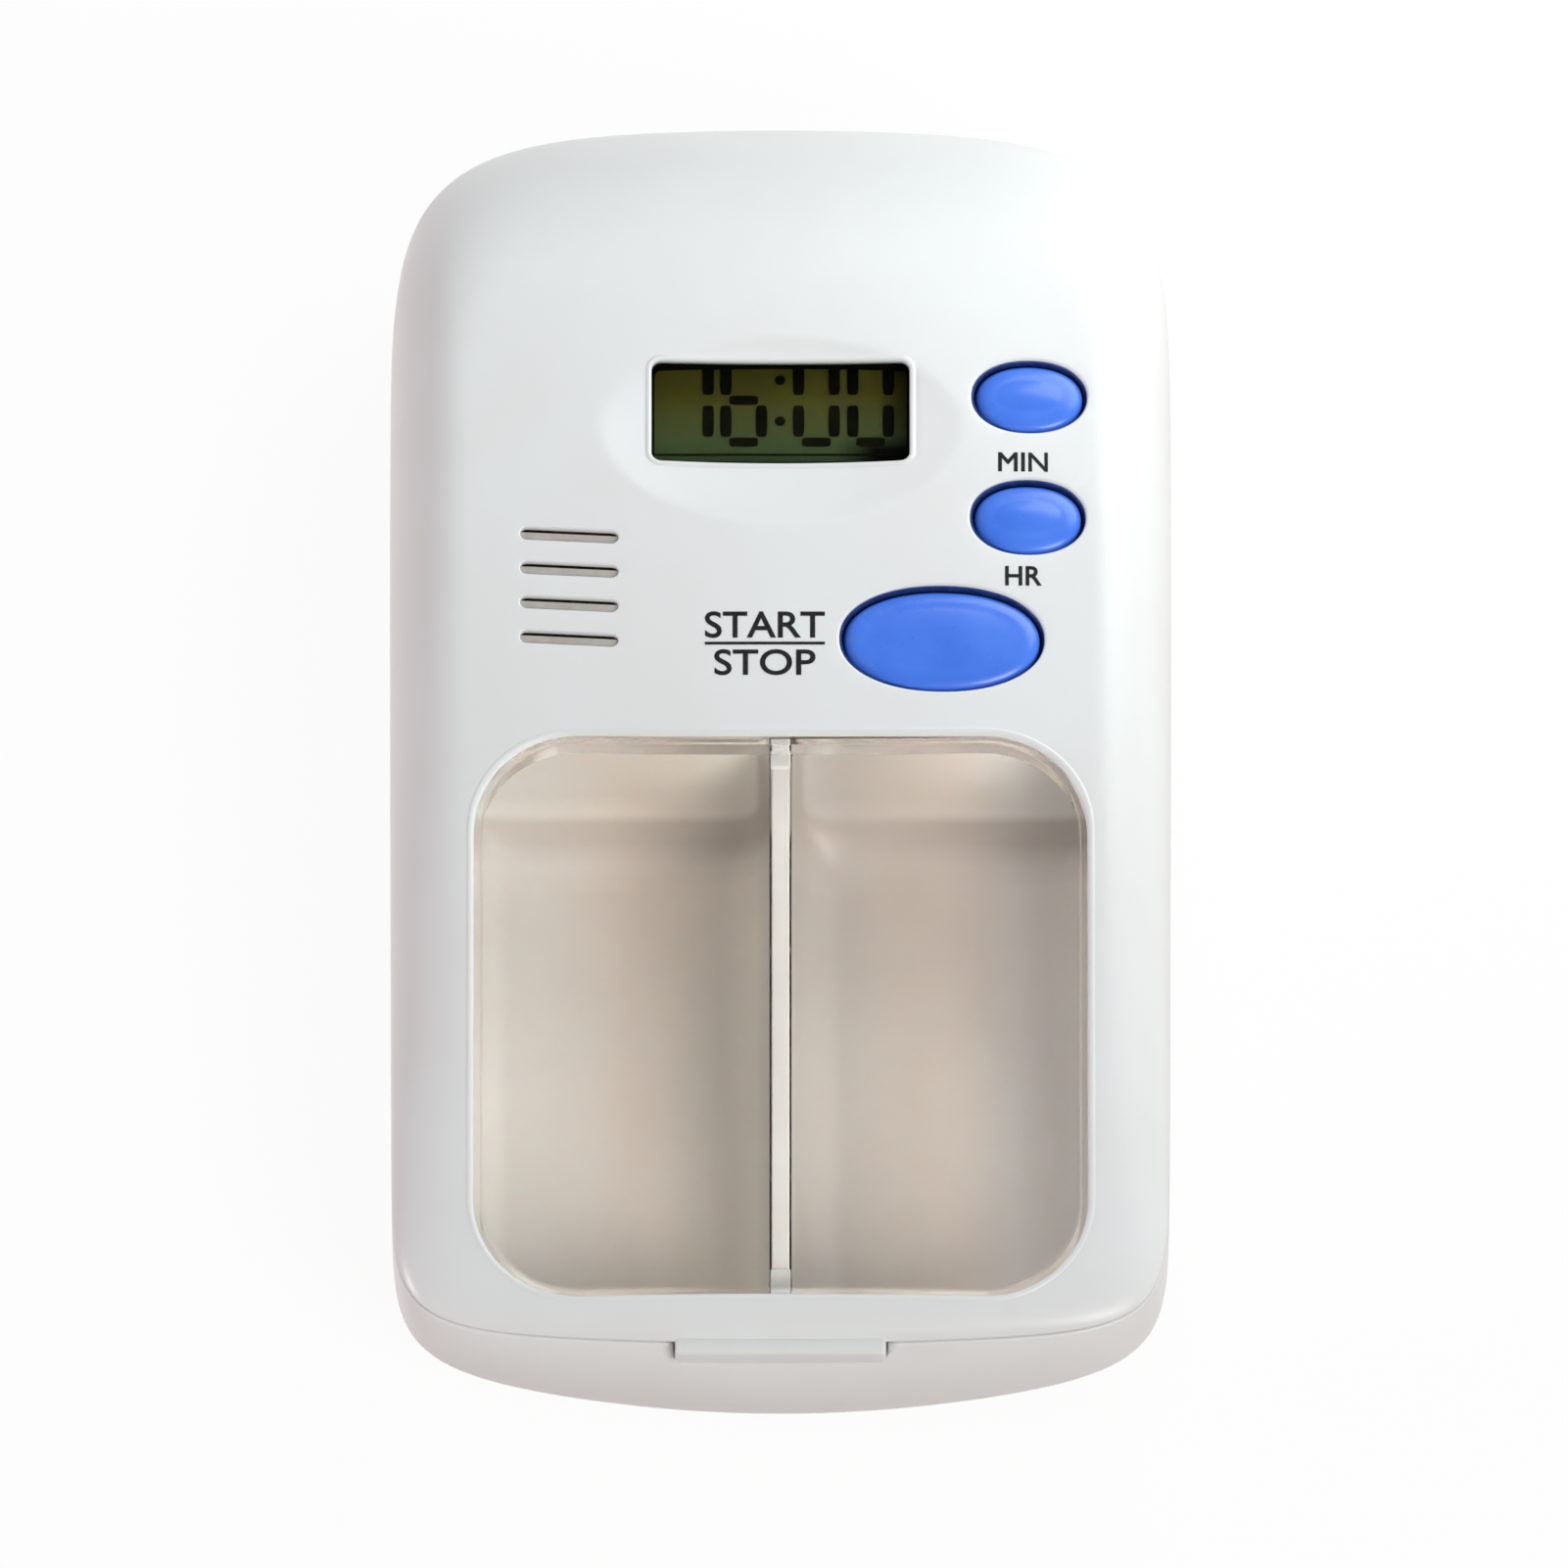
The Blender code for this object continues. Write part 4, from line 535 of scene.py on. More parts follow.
# Dark navy for the linings of the button holes: painted shade for the shadowed gap round each button.
SHADE_LINING_NAVY = Finish("navy_collar", "blue_button", (0.010, 0.030, 0.16), (0.018, 0.045, 0.20), 0.45,
                     drift_size=0.002, shine=0.25, worn_colour=(0.05, 0.10, 0.30), worn_share=0.3)
# Grey for the strips in the sound slots: painted shade for the shadowed shelf of each slot.
SLOT_SHADE_GREY = Finish("slot_painted_shade", "white_divider", (0.50, 0.475, 0.445), (0.44, 0.415, 0.39), 0.85,
                    drift_size=0.002, grain_size=0.00008, grain_depth=0.000008,
                    worn_colour=(0.36, 0.34, 0.32), worn_share=0.3)
SILVER_FOIL = Finish("reflector_foil", "silver_foil", (0.60, 0.61, 0.58), (0.50, 0.51, 0.47), 0.34,
                     metallic=0.8, grain_size=0.0002, grain_stretch=(1.0, 6.0, 1.0))
DARK_RUBBER = Finish("black_rubber", "dark_rubber", (0.045, 0.045, 0.05), (0.075, 0.07, 0.07), 0.68,
                     drift_size=0.003, grain_size=0.0001, grain_depth=0.000006,
                     worn_colour=(0.16, 0.15, 0.15), worn_share=0.4)
BOARD_GREEN = Finish("board_laminate", "board_green", (0.02, 0.15, 0.06), (0.035, 0.20, 0.08), 0.38,
                     drift_size=0.005, grain_size=0.0004, grain_depth=0.00001,
                     grain_stretch=(1.0, 3.0, 1.0), coat=0.2, worn_colour=(0.35, 0.33, 0.2), worn_share=0.3)
BLACK_EPOXY = Finish("moulded_epoxy", "black_epoxy", (0.014, 0.014, 0.015), (0.028, 0.027, 0.026), 0.30,
                     drift_size=0.002, grain_size=0.0004, grain_depth=0.00001)
BRIGHT_STEEL = Finish("plated_steel", "bright_steel", (0.58, 0.57, 0.55), (0.48, 0.47, 0.45), 0.28,
                      metallic=1.0, drift_size=0.002, grain_size=0.0001, grain_stretch=(1.0, 8.0, 1.0),
                      worn_colour=(0.75, 0.74, 0.72), worn_share=0.6)
BRASS_SHEET = Finish("rolled_brass", "brass_sheet", (0.72, 0.53, 0.24), (0.56, 0.39, 0.17), 0.30,
                     metallic=1.0, drift_size=0.003, grain_size=0.0001, grain_stretch=(6.0, 1.0, 1.0))
PALE_CERAMIC = Finish("fired_ceramic", "pale_ceramic", (0.74, 0.72, 0.66), (0.66, 0.64, 0.58), 0.36,
                      drift_size=0.002, grain_depth=0.000004)
RED_WIRE = Finish("wire_sleeve", "red_wire", (0.50, 0.025, 0.02), (0.40, 0.02, 0.02), 0.40,
                  drift_size=0.002, worn_colour=(0.6, 0.15, 0.12), worn_share=0.3)


# Mesh work


class MeshDraft:
    """Points and faces of a piece while it is being drawn."""

    def __init__(self) -> None:
        """Start with an empty draft."""
        self.points: list[tuple[float, float, float]] = []
        self.faces: list[tuple[int, ...]] = []

    def ring(self, points: Iterable[Sequence[float]]) -> list[int]:
        """Add points and return their numbers.

        Args:
            points: The points, in metres.

        Returns:
            Their numbers.
        """
        start = len(self.points)
        self.points.extend(tuple(point) for point in points)
        return list(range(start, len(self.points)))

    def level_ring(self, plan: Sequence[Point], height: HeightMap | float) -> list[int]:
        """Add plan points at a height.

        Args:
            plan: Points seen from above.
            height: One height, or the height at each place.

        Returns:
            Their numbers.
        """
        if callable(height):
            return self.ring((x, y, height(x, y)) for x, y in plan)
        return self.ring((x, y, height) for x, y in plan)

    def bridge(self, lower: Sequence[int], upper: Sequence[int]) -> None:
        """Join two closed rings of the same count by a band of quads.

        Args:
            lower: One ring.
            upper: The other ring.
        """
        count = len(lower)
        for step in range(count):
            after = (step + 1) % count
            self.faces.append((lower[step], lower[after], upper[after], upper[step]))

    def stack(self, rings: Sequence[Sequence[int]]) -> None:
        """Bridge each ring to the next."""
        for lower, upper in zip(rings, rings[1:]):
            self.bridge(lower, upper)

    def cap(self, ring: Sequence[int]) -> None:
        """Close a flat ring by one face."""
        self.faces.append(tuple(ring))

    def hoop(self, rings: Sequence[Sequence[int]]) -> None:
        """Bridge each ring to the next and the last to the first."""
        self.stack([*rings, rings[0]])

    def solid(self, rings: Sequence[Sequence[int]]) -> None:
        """Bridge each ring to the next and close both ends.

        Args:
            rings: The rings, in order.
        """
        self.stack(rings)
        self.cap(rings[0])
        self.cap(rings[-1])

    def ladder(self, ring: Sequence[int], flat: float = 0.0001) -> None:
        """Close a ring that is the same on both sides by rungs across it.

        Args:
            ring: The ring, from the middle of one end round to itself.
            flat: How far along the box each end is closed by one face.
        """
        count = len(ring)
        middle = count // 2
        places = [self.points[number][1] for number in ring]
        first = next(step for step in range(1, middle) if abs(places[step] - places[0]) > flat)
        last = next(step for step in range(middle - 1, 0, -1) if abs(places[step] - places[middle]) > flat)
        self.faces.append(tuple(ring[count - first:]) + tuple(ring[:first + 1]))
        for step in range(first, last):
            self.faces.append((ring[step], ring[step + 1], ring[count - step - 1], ring[count - step]))
        self.faces.append(tuple(ring[last:count - last + 1]))

    def fan(self, ring: Sequence[int], centre: Sequence[float]) -> None:
        """Close a ring by triangles to a point in its middle.

        Args:
            ring: The ring.
            centre: The point.
        """
        middle = self.ring([centre])[0]
        for step in range(len(ring)):
            self.faces.append((ring[step], ring[(step + 1) % len(ring)], middle))

    def sheet(self, border: Sequence[int], holes: Sequence[Sequence[int]],
              inside: Iterable[Point], height: HeightMap) -> None:
        """Fill the space between a border and its holes with fine triangles.

        Args:
            border: Numbers of the points round the outside.
            holes: Numbers of the points round each hole.
            inside: Plan points to use in between.
            height: Height of the points in between.
        """
        plan = [Vector(self.points[number][:2]) for number in border]
        numbers = list(border)
        edges = [(step, (step + 1) % len(border)) for step in range(len(border))]
        fences = []
        for hole in holes:
            start = len(plan)
            count = len(hole)
            plan.extend(Vector(self.points[number][:2]) for number in hole)
            numbers.extend(hole)
            edges.extend((start + step, start + (step + 1) % count) for step in range(count))
            fences.append(Fence([self.points[number][:2] for number in hole]))
        extra = list(inside)
        numbers.extend(self.level_ring(extra, height))
        plan.extend(Vector(point) for point in extra)
        found = delaunay_2d_cdt(plan, edges, [], 1, TOUCHING, True)
        spots, triangles, sources = found[0], found[2], found[3]
        lookup = [numbers[source[0]] if source else None for source in sources]
        for place, number in enumerate(lookup):
            if number is None:
                x, y = spots[place]
                lookup[place] = self.ring([(x, y, height(x, y))])[0]
        for triangle in triangles:
            x = sum(spots[place][0] for place in triangle) / 3
            y = sum(spots[place][1] for place in triangle) / 3
            if not any(fence.holds(x, y) for fence in fences):
                self.faces.append(tuple(lookup[place] for place in triangle))

    def piece(self, name: str, sharp_angle: float = SHARP_ANGLE) -> Item:
        """Turn the draft into a closed, smooth-shaded object.

        Args:
            name: The object's name.
            sharp_angle: Turns of more than this stay sharp.

        Returns:
            The object.
        """
        form = bmesh.new()
        verts = [form.verts.new(point) for point in self.points]
        for face in self.faces:
            corners = [verts[number] for number in face]
            if len(set(corners)) > 2:
                form.faces.new(corners)
        bmesh.ops.delete(form, geom=[vert for vert in form.verts if not vert.link_faces], context="VERTS")
        bmesh.ops.recalc_face_normals(form, faces=form.faces)
        item = made(name, form)
        shade(item, sharp_angle)
        return item


class Fence:
    """A closed plan line that can tell what lies inside it."""

    def __init__(self, points: Sequence[Point]) -> None:
        """Keep the line and the box round it.

        Args:
            points: The line's corners.
        """
        self.points = list(points)
        self.low_x = min(x for x, _ in points)
        self.high_x = max(x for x, _ in points)
        self.low_y = min(y for _, y in points)
        self.high_y = max(y for _, y in points)

    def holds(self, x: float, y: float) -> bool:
        """Whether a place lies inside the line.

        Args:
            x: Place across the box.
            y: Place along the box.

        Returns:
            True inside.
        """
        if not (self.low_x < x < self.high_x and self.low_y < y < self.high_y):
            return False
        inside = False
        last_x, last_y = self.points[-1]
        for next_x, next_y in self.points:
            if (next_y > y) != (last_y > y):
                if x < (last_x - next_x) * (y - next_y) / (last_y - next_y) + next_x:
                    inside = not inside
            last_x, last_y = next_x, next_y
        return inside


def made(name: str, form: bmesh.types.BMesh) -> Item:
    """Turn a finished form into an object of the scene.

    Args:
        name: The object's name.
        form: Its form, which is used up.

    Returns:
        The object.
    """
    mesh = bpy.data.meshes.new(name)
    form.to_mesh(mesh)
    form.free()
    item = bpy.data.objects.new(name, mesh)
    bpy.context.scene.collection.objects.link(item)
    return item


def worked_mesh(item: Item) -> bpy.types.Mesh:
    """A copy of an object's mesh with its modifiers worked in."""
    bpy.context.view_layer.update()
    return bpy.data.meshes.new_from_object(item.evaluated_get(bpy.context.evaluated_depsgraph_get()))


def work_in(item: Item) -> None:
    """Work an object's modifiers into its mesh.

    Args:
        item: The object.
    """
    mesh = worked_mesh(item)
    item.modifiers.clear()
    item.data = mesh


def shade(item: Item, sharp_angle: float) -> None:
    """Shade a mesh smooth, keep its sharper edges and keep its broad faces flat.

    Args:
        item: The object to shade.
        sharp_angle: Turns of more than this stay sharp.
    """
    item.data.shade_smooth()
    item.data.set_sharp_from_angle(angle=math.radians(sharp_angle))
    balance = item.modifiers.new("balance", "WEIGHTED_NORMAL")
    balance.keep_sharp = True
    work_in(item)


def quarter(steps: int) -> list[Point]:
    """How far each step up a quarter of a unit circle still is from its side and its top."""
    angles = [math.radians(90 * step / steps) for step in range(steps + 1)]
    return [(1.0 - math.cos(angle), 1.0 - math.sin(angle)) for angle in angles]


def grown(points: Sequence[Point], distance: float) -> list[Point]:
    """Move a closed anticlockwise line outwards.

    Args:
        points: The line's corners.
        distance: How far out it goes, or in if negative.

    Returns:
        The moved corners.
    """
    moved = []
    count = len(points)
    for step in range(count):
        here = Vector(points[step])
        before = (here - Vector(points[step - 1])).normalized()
        after = (Vector(points[(step + 1) % count]) - here).normalized()
        tangent = (before + after).normalized()
        stretch = max(tangent.dot(after), LEAST_TURN)
        moved.append((here.x + tangent.y * distance / stretch, here.y - tangent.x * distance / stretch))
    return moved


def mirrored(half: Sequence[Point]) -> list[Point]:
    """A closed line from the half on the +X side, which starts and ends at x = 0."""
    return list(half) + [(-x, y) for x, y in reversed(half[1:-1])]


def staggered(half_width: float, low: float, high: float, spacing: float) -> list[Point]:
    """A grid over a plan box, with every other row moved by half a step.

    Args:
        half_width: Half the box's width.
        low: Its nose end.
        high: Its hinge end.
        spacing: Distance between points.

    Returns:
        The points, row by row.
    """
    return [(-half_width + spacing * (column + row % 2 / 2), low + spacing * row)
            for row in range(int((high - low) / spacing) + 1)
            for column in range(int(2 * half_width / spacing) + 1)]


def line_length(points: Sequence[Point]) -> float:
    """Length of an open line."""
    return sum(math.dist(first, second) for first, second in zip(points, points[1:]))


def spaced(points: Sequence[Point], spacing: float) -> list[Point]:
    """Points evenly spaced along an open line, ends included."""
    return shared_out(points, max(round(line_length(points) / spacing), 1))


def shared_out(points: Sequence[Point], count: int) -> list[Point]:
    """Split an open line in equal stretches.

    Args:
        points: The line's corners.
        count: How many stretches.

    Returns:
        The new points, ends included.
    """
    lengths = [0.0]
    for first, second in zip(points, points[1:]):
        lengths.append(lengths[-1] + math.dist(first, second))
    found = []
    place = 0
    for step in range(count + 1):
        target = lengths[-1] * step / count
        while place < len(points) - 2 and lengths[place + 1] < target:
            place += 1
        share = (target - lengths[place]) / max(lengths[place + 1] - lengths[place], 1e-12)
        share = min(max(share, 0.0), 1.0)
        found.append(tuple(a + (b - a) * share for a, b in zip(points[place], points[place + 1])))
    return found


def unit_arc(power: float, reach_x: float, reach_y: float, spacing: float) -> list[Point]:
    """A superellipse quarter on a unit square, evenly spaced at its real size.

    Args:
        power: How square the corner is.
        reach_x: Real half width.
        reach_y: Real reach along the box.
        spacing: Wanted distance between points.

    Returns:
        Unit points from (0, 1) to (1, 0).
    """
    track = []
    for step in range(ARC_STEPS + 1):
        angle = math.radians(90 * step / ARC_STEPS)
        across = math.sin(angle) / reach_x
        along = math.cos(angle) / reach_y
        size = (abs(across) ** power + abs(along) ** power) ** (-1 / power)
        track.append((math.sin(angle) * size, math.cos(angle) * size))
    return [(x / reach_x, y / reach_y) for x, y in spaced(track, spacing)]


def cornered(half_width: float, low: float, high: float, radius: float, turn: int) -> list[Point]:
    """The +X half of a rounded rectangle.

    Args:
        half_width: Half its width.
        low: Its nose side.
        high: Its clock side.
        radius: Rounding of its corners.
        turn: Degrees between the points round a corner.

    Returns:
        Points from the middle of the nose side to the middle of the clock side.
    """
    track = [(0.0, low)]
    for start, centre in ((-90, low + radius), (0, high - radius)):
        for degrees in range(0, 91, turn):
            angle = math.radians(start + degrees)
            track.append((half_width - radius + radius * math.cos(angle), centre + radius * math.sin(angle)))
    return track + [(0.0, high)]


def rounded_box(low: Sequence[float], high: Sequence[float], radius: float, name: str,
                segments: int = 3) -> Item:
    """A block with all its edges rounded.

    Args:
        low: Its lowest corner.
        high: Its highest corner.
        radius: Rounding of the edges, 0 for none.
        name: The object's name.
        segments: Facets round each edge.

    Returns:
        The object.
    """
    form = bmesh.new()
    bmesh.ops.create_cube(form, size=1.0)
    for vert in form.verts:
        vert.co = Vector(low[axis] + (high[axis] - low[axis]) * (vert.co[axis] + 0.5) for axis in range(3))
    if radius > 0.0:
        bmesh.ops.bevel(form, geom=form.edges[:], offset=radius, segments=segments, profile=0.5,
                        affect="EDGES", clamp_overlap=True)
    item = made(name, form)
    shade(item, SHARP_ANGLE)
    return item


def disc_line(x: float, y: float, radius: float, steps: int) -> list[Point]:
    """A round plan line, anticlockwise."""
    return [(x + radius * math.cos(math.tau * step / steps), y + radius * math.sin(math.tau * step / steps))
            for step in range(steps)]


def rod(name: str, plan: Sequence[Point], low: float, high: float) -> Item:
    """An upright rod of any plan.

    Args:
        name: The object's name.
        plan: Its outline from above.
        low: Its foot.
        high: Its top.

    Returns:
        The object.
    """
    draft = MeshDraft()
    draft.solid([draft.level_ring(plan, height) for height in (low, high)])
    return draft.piece(name)


def cross_rod(name: str, x_span: Point, y: float, z: float, radius: float) -> Item:
    """A round rod along X.

    Args:
        name: The object's name.
        x_span: Where it starts and ends.
        y: Its axis along the box.
        z: Its axis above the ground.
        radius: Its radius.

    Returns:
        The object.
    """
    draft = MeshDraft()
    profile = disc_line(y, z, radius, ROD_FACETS)
    draft.solid([draft.ring((x, a, b) for a, b in profile) for x in x_span])
    return draft.piece(name)


def gathered(name: str, items: Sequence[Item]) -> Item:
    """Gather separate tools in one object, so that they work in one go.

    Args:
        name: The new object's name.
        items: The tools, which are used up.

    Returns:
        The one tool.
    """
    form = bmesh.new()
    for item in items:
        form.from_mesh(item.data)
        bpy.data.objects.remove(item)
    return made(name, form)


def carve(piece: Item, steps: Sequence[tuple[Carving, Item]],
          sharp_angle: float = SHARP_ANGLE) -> None:
    """Cut and join tools one after the other, then remove them.

    Args:
        piece: The piece to work on.
        steps: What each tool does, and the tool.
        sharp_angle: Turns of more than this stay sharp.
    """
    for action, tool in steps:
        change = piece.modifiers.new(tool.name, "BOOLEAN")
        change.operation = action.value
        change.solver = "EXACT"
        change.object = tool
    work_in(piece)
    for _, tool in steps:
        bpy.data.objects.remove(tool)
    shade(piece, sharp_angle)


def fit_out(piece: Item, body: Body, finish: Finish, stands_for: Sequence[str] = ()) -> None:
    """Dress a piece, hang it on its body and let it stand for nodes of the frame.

    Args:
        piece: The finished piece.
        body: The body that it rides on.
        finish: Its finish.
        stands_for: Nodes that it replaces.
    """
    piece.data.materials.clear()
    piece.data.materials.append(finish.material())
    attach(piece, body.value)
    if stands_for:
        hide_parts(*stands_for)
    log.info("made %s with %d faces", piece.name, len(piece.data.polygons))


# The form that both shells share


@dataclass(frozen=True)
class Stations:
    """Where the points of a plan line sit, as shares that fit any inset."""

    nose: tuple[Point, ...]
    side: tuple[float, ...]
    crown: tuple[Point, ...]


@dataclass(frozen=True)
class Plan:
    """A plan line: two half superellipses joined by gently tapered sides."""

    half_width: float
    nose_half_width: float
    nose_end: float
    hinge_end: float
    taper_end: float
    nose_centre: float = -0.0200
    crown_centre: float = 0.0150
    nose_power: float = 9.0
    crown_power: float = 5.5
    nose_arch: float = 0.0013
    crown_arch: float = 0.0018
    taper_power: float = 1.3

    def inset(self, side: float, nose: float, hinge: float) -> "Plan":
        """The same line drawn in."""
        return replace(self, half_width=self.half_width - side, nose_half_width=self.nose_half_width - side,
                       nose_end=self.nose_end + nose, hinge_end=self.hinge_end - hinge)

    def side(self, y: float) -> float:
        """Half the width of the sides at a place along the box.

        Args:
            y: Place along the box.

        Returns:
            The half width.
        """
        if y >= self.crown_centre:
            return self.half_width
        share = (self.crown_centre - y) / (self.crown_centre - self.taper_end)
        return self.half_width - (self.half_width - self.nose_half_width) * share ** self.taper_power

    def nose_reach(self, across: float) -> float:
        """Length of the arched nose at a share of its half width."""
        return self.nose_centre - self.nose_end - self.nose_arch * across ** 2

    def crown_reach(self, across: float) -> float:
        """Length of the arched hinge end at a share of its half width."""
        return self.hinge_end - self.crown_centre - self.crown_arch * across ** 2

    def holds(self, x: float, y: float) -> bool:
        """Whether a place lies inside the line.

        Args:
            x: Place across the box.
            y: Place along the box.

        Returns:
            True inside the line.
        """
        across = abs(x) / self.side(y)
        if y < self.nose_centre:
            along = (self.nose_centre - y) / self.nose_reach(across)
            power = self.nose_power
        else:
            along = max(y - self.crown_centre, 0.0) / self.crown_reach(across)
            power = self.crown_power
        return across < 1.0 and along < 1.0 and across ** power + along ** power <= 1.0

    def stations(self, spacing: float) -> Stations:
        """Evenly spaced stations round this line.

        Args:
            spacing: Wanted distance between points.

        Returns:
            The stations.
        """
        nose = unit_arc(self.nose_power, self.nose_half_width, self.nose_centre - self.nose_end, spacing)
        crown = unit_arc(self.crown_power, self.half_width, self.hinge_end - self.crown_centre, spacing)
        count = round((self.crown_centre - self.nose_centre) / spacing)
        side = tuple(step / count for step in range(1, count))
        return Stations(tuple(nose), side, tuple(crown))

    def line(self, stations: Stations) -> list[Point]:
        """The closed line, anticlockwise from the middle of the nose.

        Args:
            stations: Where its points sit.

        Returns:
            Its points.
        """
        half = []
        for across, along in stations.nose:
            y = self.nose_centre - self.nose_reach(across) * along
            half.append((self.side(y) * across, y))
        for share in stations.side:
            y = self.nose_centre + (self.crown_centre - self.nose_centre) * share
            half.append((self.side(y), y))
        for across, along in reversed(stations.crown):
            y = self.crown_centre + self.crown_reach(across) * along
            half.append((self.half_width * across, y))
        return mirrored(half)


@dataclass(frozen=True)
class Dome:
    """The domed face, from its rim up, or the same face a wall thickness below it."""

    plan: Plan
    rim: float
    top: float = 0.0198
    drop: float = 0.0
    crest: float = 0.0200
    nose_fall: float = 0.0065
    nose_fall_end: float = -0.0415
    nose_fall_power: float = 1.643
    hinge_fall: float = 0.0004
    hinge_fall_span: float = 0.0100
    crown: float = 0.0004
    half_width: float = 0.0250
    side_rounding: float = 0.0050
    nose_rounding: float = 0.0020
    hinge_rounding: float = 0.0120
    halvings: int = 26

    def ridge(self, x: float, y: float) -> float:
        """Height of the face before its sides round down.

        Args:
            x: Place across the box.
            y: Place along the box.

        Returns:
            The height.
        """
        if y < self.crest:
            share = (self.crest - y) / (self.crest - self.nose_fall_end)
            fall = self.nose_fall * share ** self.nose_fall_power
        else:
            fall = self.hinge_fall * ((y - self.crest) / self.hinge_fall_span) ** 2
        return self.top - self.drop - fall - self.crown * (x / self.half_width) ** 2

    def drawn_in(self, share: float) -> Plan:
        """The plan drawn in by a share of the roundings."""
        return self.plan.inset(self.side_rounding * share, self.nose_rounding * share,
                               self.hinge_rounding * share)

    def inset_share(self, x: float, y: float) -> float:
        """How far in from the plan a place lies, as a share of the roundings.

        Args:
            x: Place across the box.
            y: Place along the box.

        Returns:
            0 on the plan line and 1 where the roundings end.
        """
        if self.drawn_in(1.0).holds(x, y):
            return 1.0
        low, high = 0.0, 1.0
        for _ in range(self.halvings):
            middle = (low + high) / 2
            if self.drawn_in(middle).holds(x, y):
                low = middle
            else:
                high = middle
        return low

    def height(self, x: float, y: float) -> float:
        """Height of the dome at a place."""
        return self.height_at_share(x, y, self.inset_share(x, y))

    def height_at_share(self, x: float, y: float, share: float) -> float:
        """Height of the dome at a place whose inset share is known."""
        rise = math.sqrt(max(1.0 - (1.0 - share) ** 2, 0.0))
        return self.rim + (self.ridge(x, y) - self.rim) * rise

    def inner(self, wall: float) -> "Dome":
        """The inside of the dome.

        Args:
            wall: Thickness of the shell.

        Returns:
            The inner dome.
        """
        return Dome(self.plan.inset(wall, wall, wall), self.rim, self.top, wall,
                    side_rounding=self.side_rounding - wall, nose_rounding=self.nose_rounding - wall,
                    hinge_rounding=self.hinge_rounding - wall)


@dataclass(frozen=True)
class ShellForm:
    """Sizes that the base and the cover have in common."""

    wall: float = 0.0016
    clearance: float = 0.0003
    seam: float = 0.0115
    nose_bulge: float = 0.0009
    nose_narrowing: float = 0.0003
    spacing: float = 0.00062
    hinge_inset: float = 0.0013
    hinge_height: float = 0.0080
    knuckle_radius: float = 0.0013
    bore_radius: float = 0.00068
    middle_knuckle: float = 0.0034
    arm_width: float = 0.0045
    outer_knuckle: float = 0.0035
    lip_width: float = 0.0134
    lip_height: float = 0.0014
    lip_rise: float = 0.0004
    lip_depth: float = 0.0013

    @cached_property
    def plan(self) -> Plan:
        """The plan line that both shells share at the seam, from the frame.

        Returns:
            The plan.
        """
        low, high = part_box("base_shell")
        nose_end = low.y + self.nose_bulge
        return Plan(high.x, high.x - self.nose_narrowing, nose_end, high.y, nose_end)

    @property
    def cover_rim(self) -> float:
        """Height of the cover's rim."""
        return self.seam + self.clearance / 2

    @property
    def base_rim(self) -> float:
        """Height of the base's rim."""
        return self.seam - self.clearance / 2

    @property
    def hinge_y(self) -> float:
        """Place of the hinge axis along the box."""
        return self.plan.hinge_end - self.hinge_inset

    @property
    def arm_span(self) -> Point:
        """Where the cover's right hinge arm starts and ends."""
        start = self.middle_knuckle + self.clearance
        return start, start + self.arm_width

    @property
    def hinge_half(self) -> float:
        """Half the length of the whole hinge."""
        return self.arm_span[1] + self.clearance + self.outer_knuckle

    @cached_property
    def dome(self) -> Dome:
        """The outside of the cover."""
        return Dome(self.plan, self.cover_rim)


# Openings in the cover


@dataclass(frozen=True)
class Opening:
    """A hole through the cover with a softened edge."""

    line: tuple[Point, ...]
    softening: float
    throat: tuple[Point, ...] = ()
    lip: float = 0.0
    undercut: float = 0.0
    bead: float = 0.0
    bead_rise: float = 0.5
    shelf: float = 0.0
    bead_reach: float = 1.35

    @property
    def under_line(self) -> list[Point]:
        """The line round the hole on the underside."""
        return grown(self.throat or self.line, self.undercut)

    def fence(self, margin: float) -> Fence:
        """The line round the hole at a distance from it."""
        return Fence(grown(self.line, margin + self.softening + self.bead * self.bead_reach))

    def under_fence(self, margin: float) -> Fence:
        """The line round the hole on the underside at a distance from it."""
        return Fence(grown(self.under_line, margin))


@dataclass(frozen=True)
class WindowOpening:
    """The big opening over the pill compartments."""

    half_width: float = 0.01955
    nose_edge: float = -0.0415
    clock_edge: float = -0.0031
    radius: float = 0.0067
    softening: float = 0.00032
    pinch: float = 0.00022
    stretches: int = 124
    lip: float = 0.00055
    undercut: float = 0.00003
    clock_undercut: float = 0.0009
    undercut_power: int = 4
    corner_turn: int = 3
    bead: float = 0.00013

    def half_line(self, gap: float) -> list[Point]:
        """The +X half of the line, drawn in by a gap.

        Args:
            gap: Distance inside the opening, negative outside it.

        Returns:
            Points from the nose side to the clock side.
        """
        width = self.half_width - gap
        low = self.nose_edge + gap
        high = self.clock_edge - gap
        track = cornered(width, low, high, self.radius - gap, self.corner_turn)
        middle = (low + high) / 2
        points = []
        for x, y in shared_out(track, self.stretches):
            reach = (y - middle) / (high - middle)
            bend = self.pinch * max(1.0 - (x / width) ** 2, 0.0) * reach * abs(reach)
            points.append((x, y - bend))
        points[0] = (0.0, points[0][1])
        points[-1] = (0.0, points[-1][1])
        return points

    def opening(self) -> Opening:
        """The hole in the cover, undercut at the clock side so that the edge looks thin.

        Returns:
            The opening.
        """
        line = mirrored(self.half_line(0.0))
        middle = (self.nose_edge + self.clock_edge) / 2
        reach = self.clock_edge - middle
        throat = [(x, y + self.clock_undercut * max((y - middle) / reach, 0.0) ** self.undercut_power)
                  for x, y in line]
        return Opening(tuple(line), self.softening, tuple(throat), self.lip, self.undercut, self.bead)


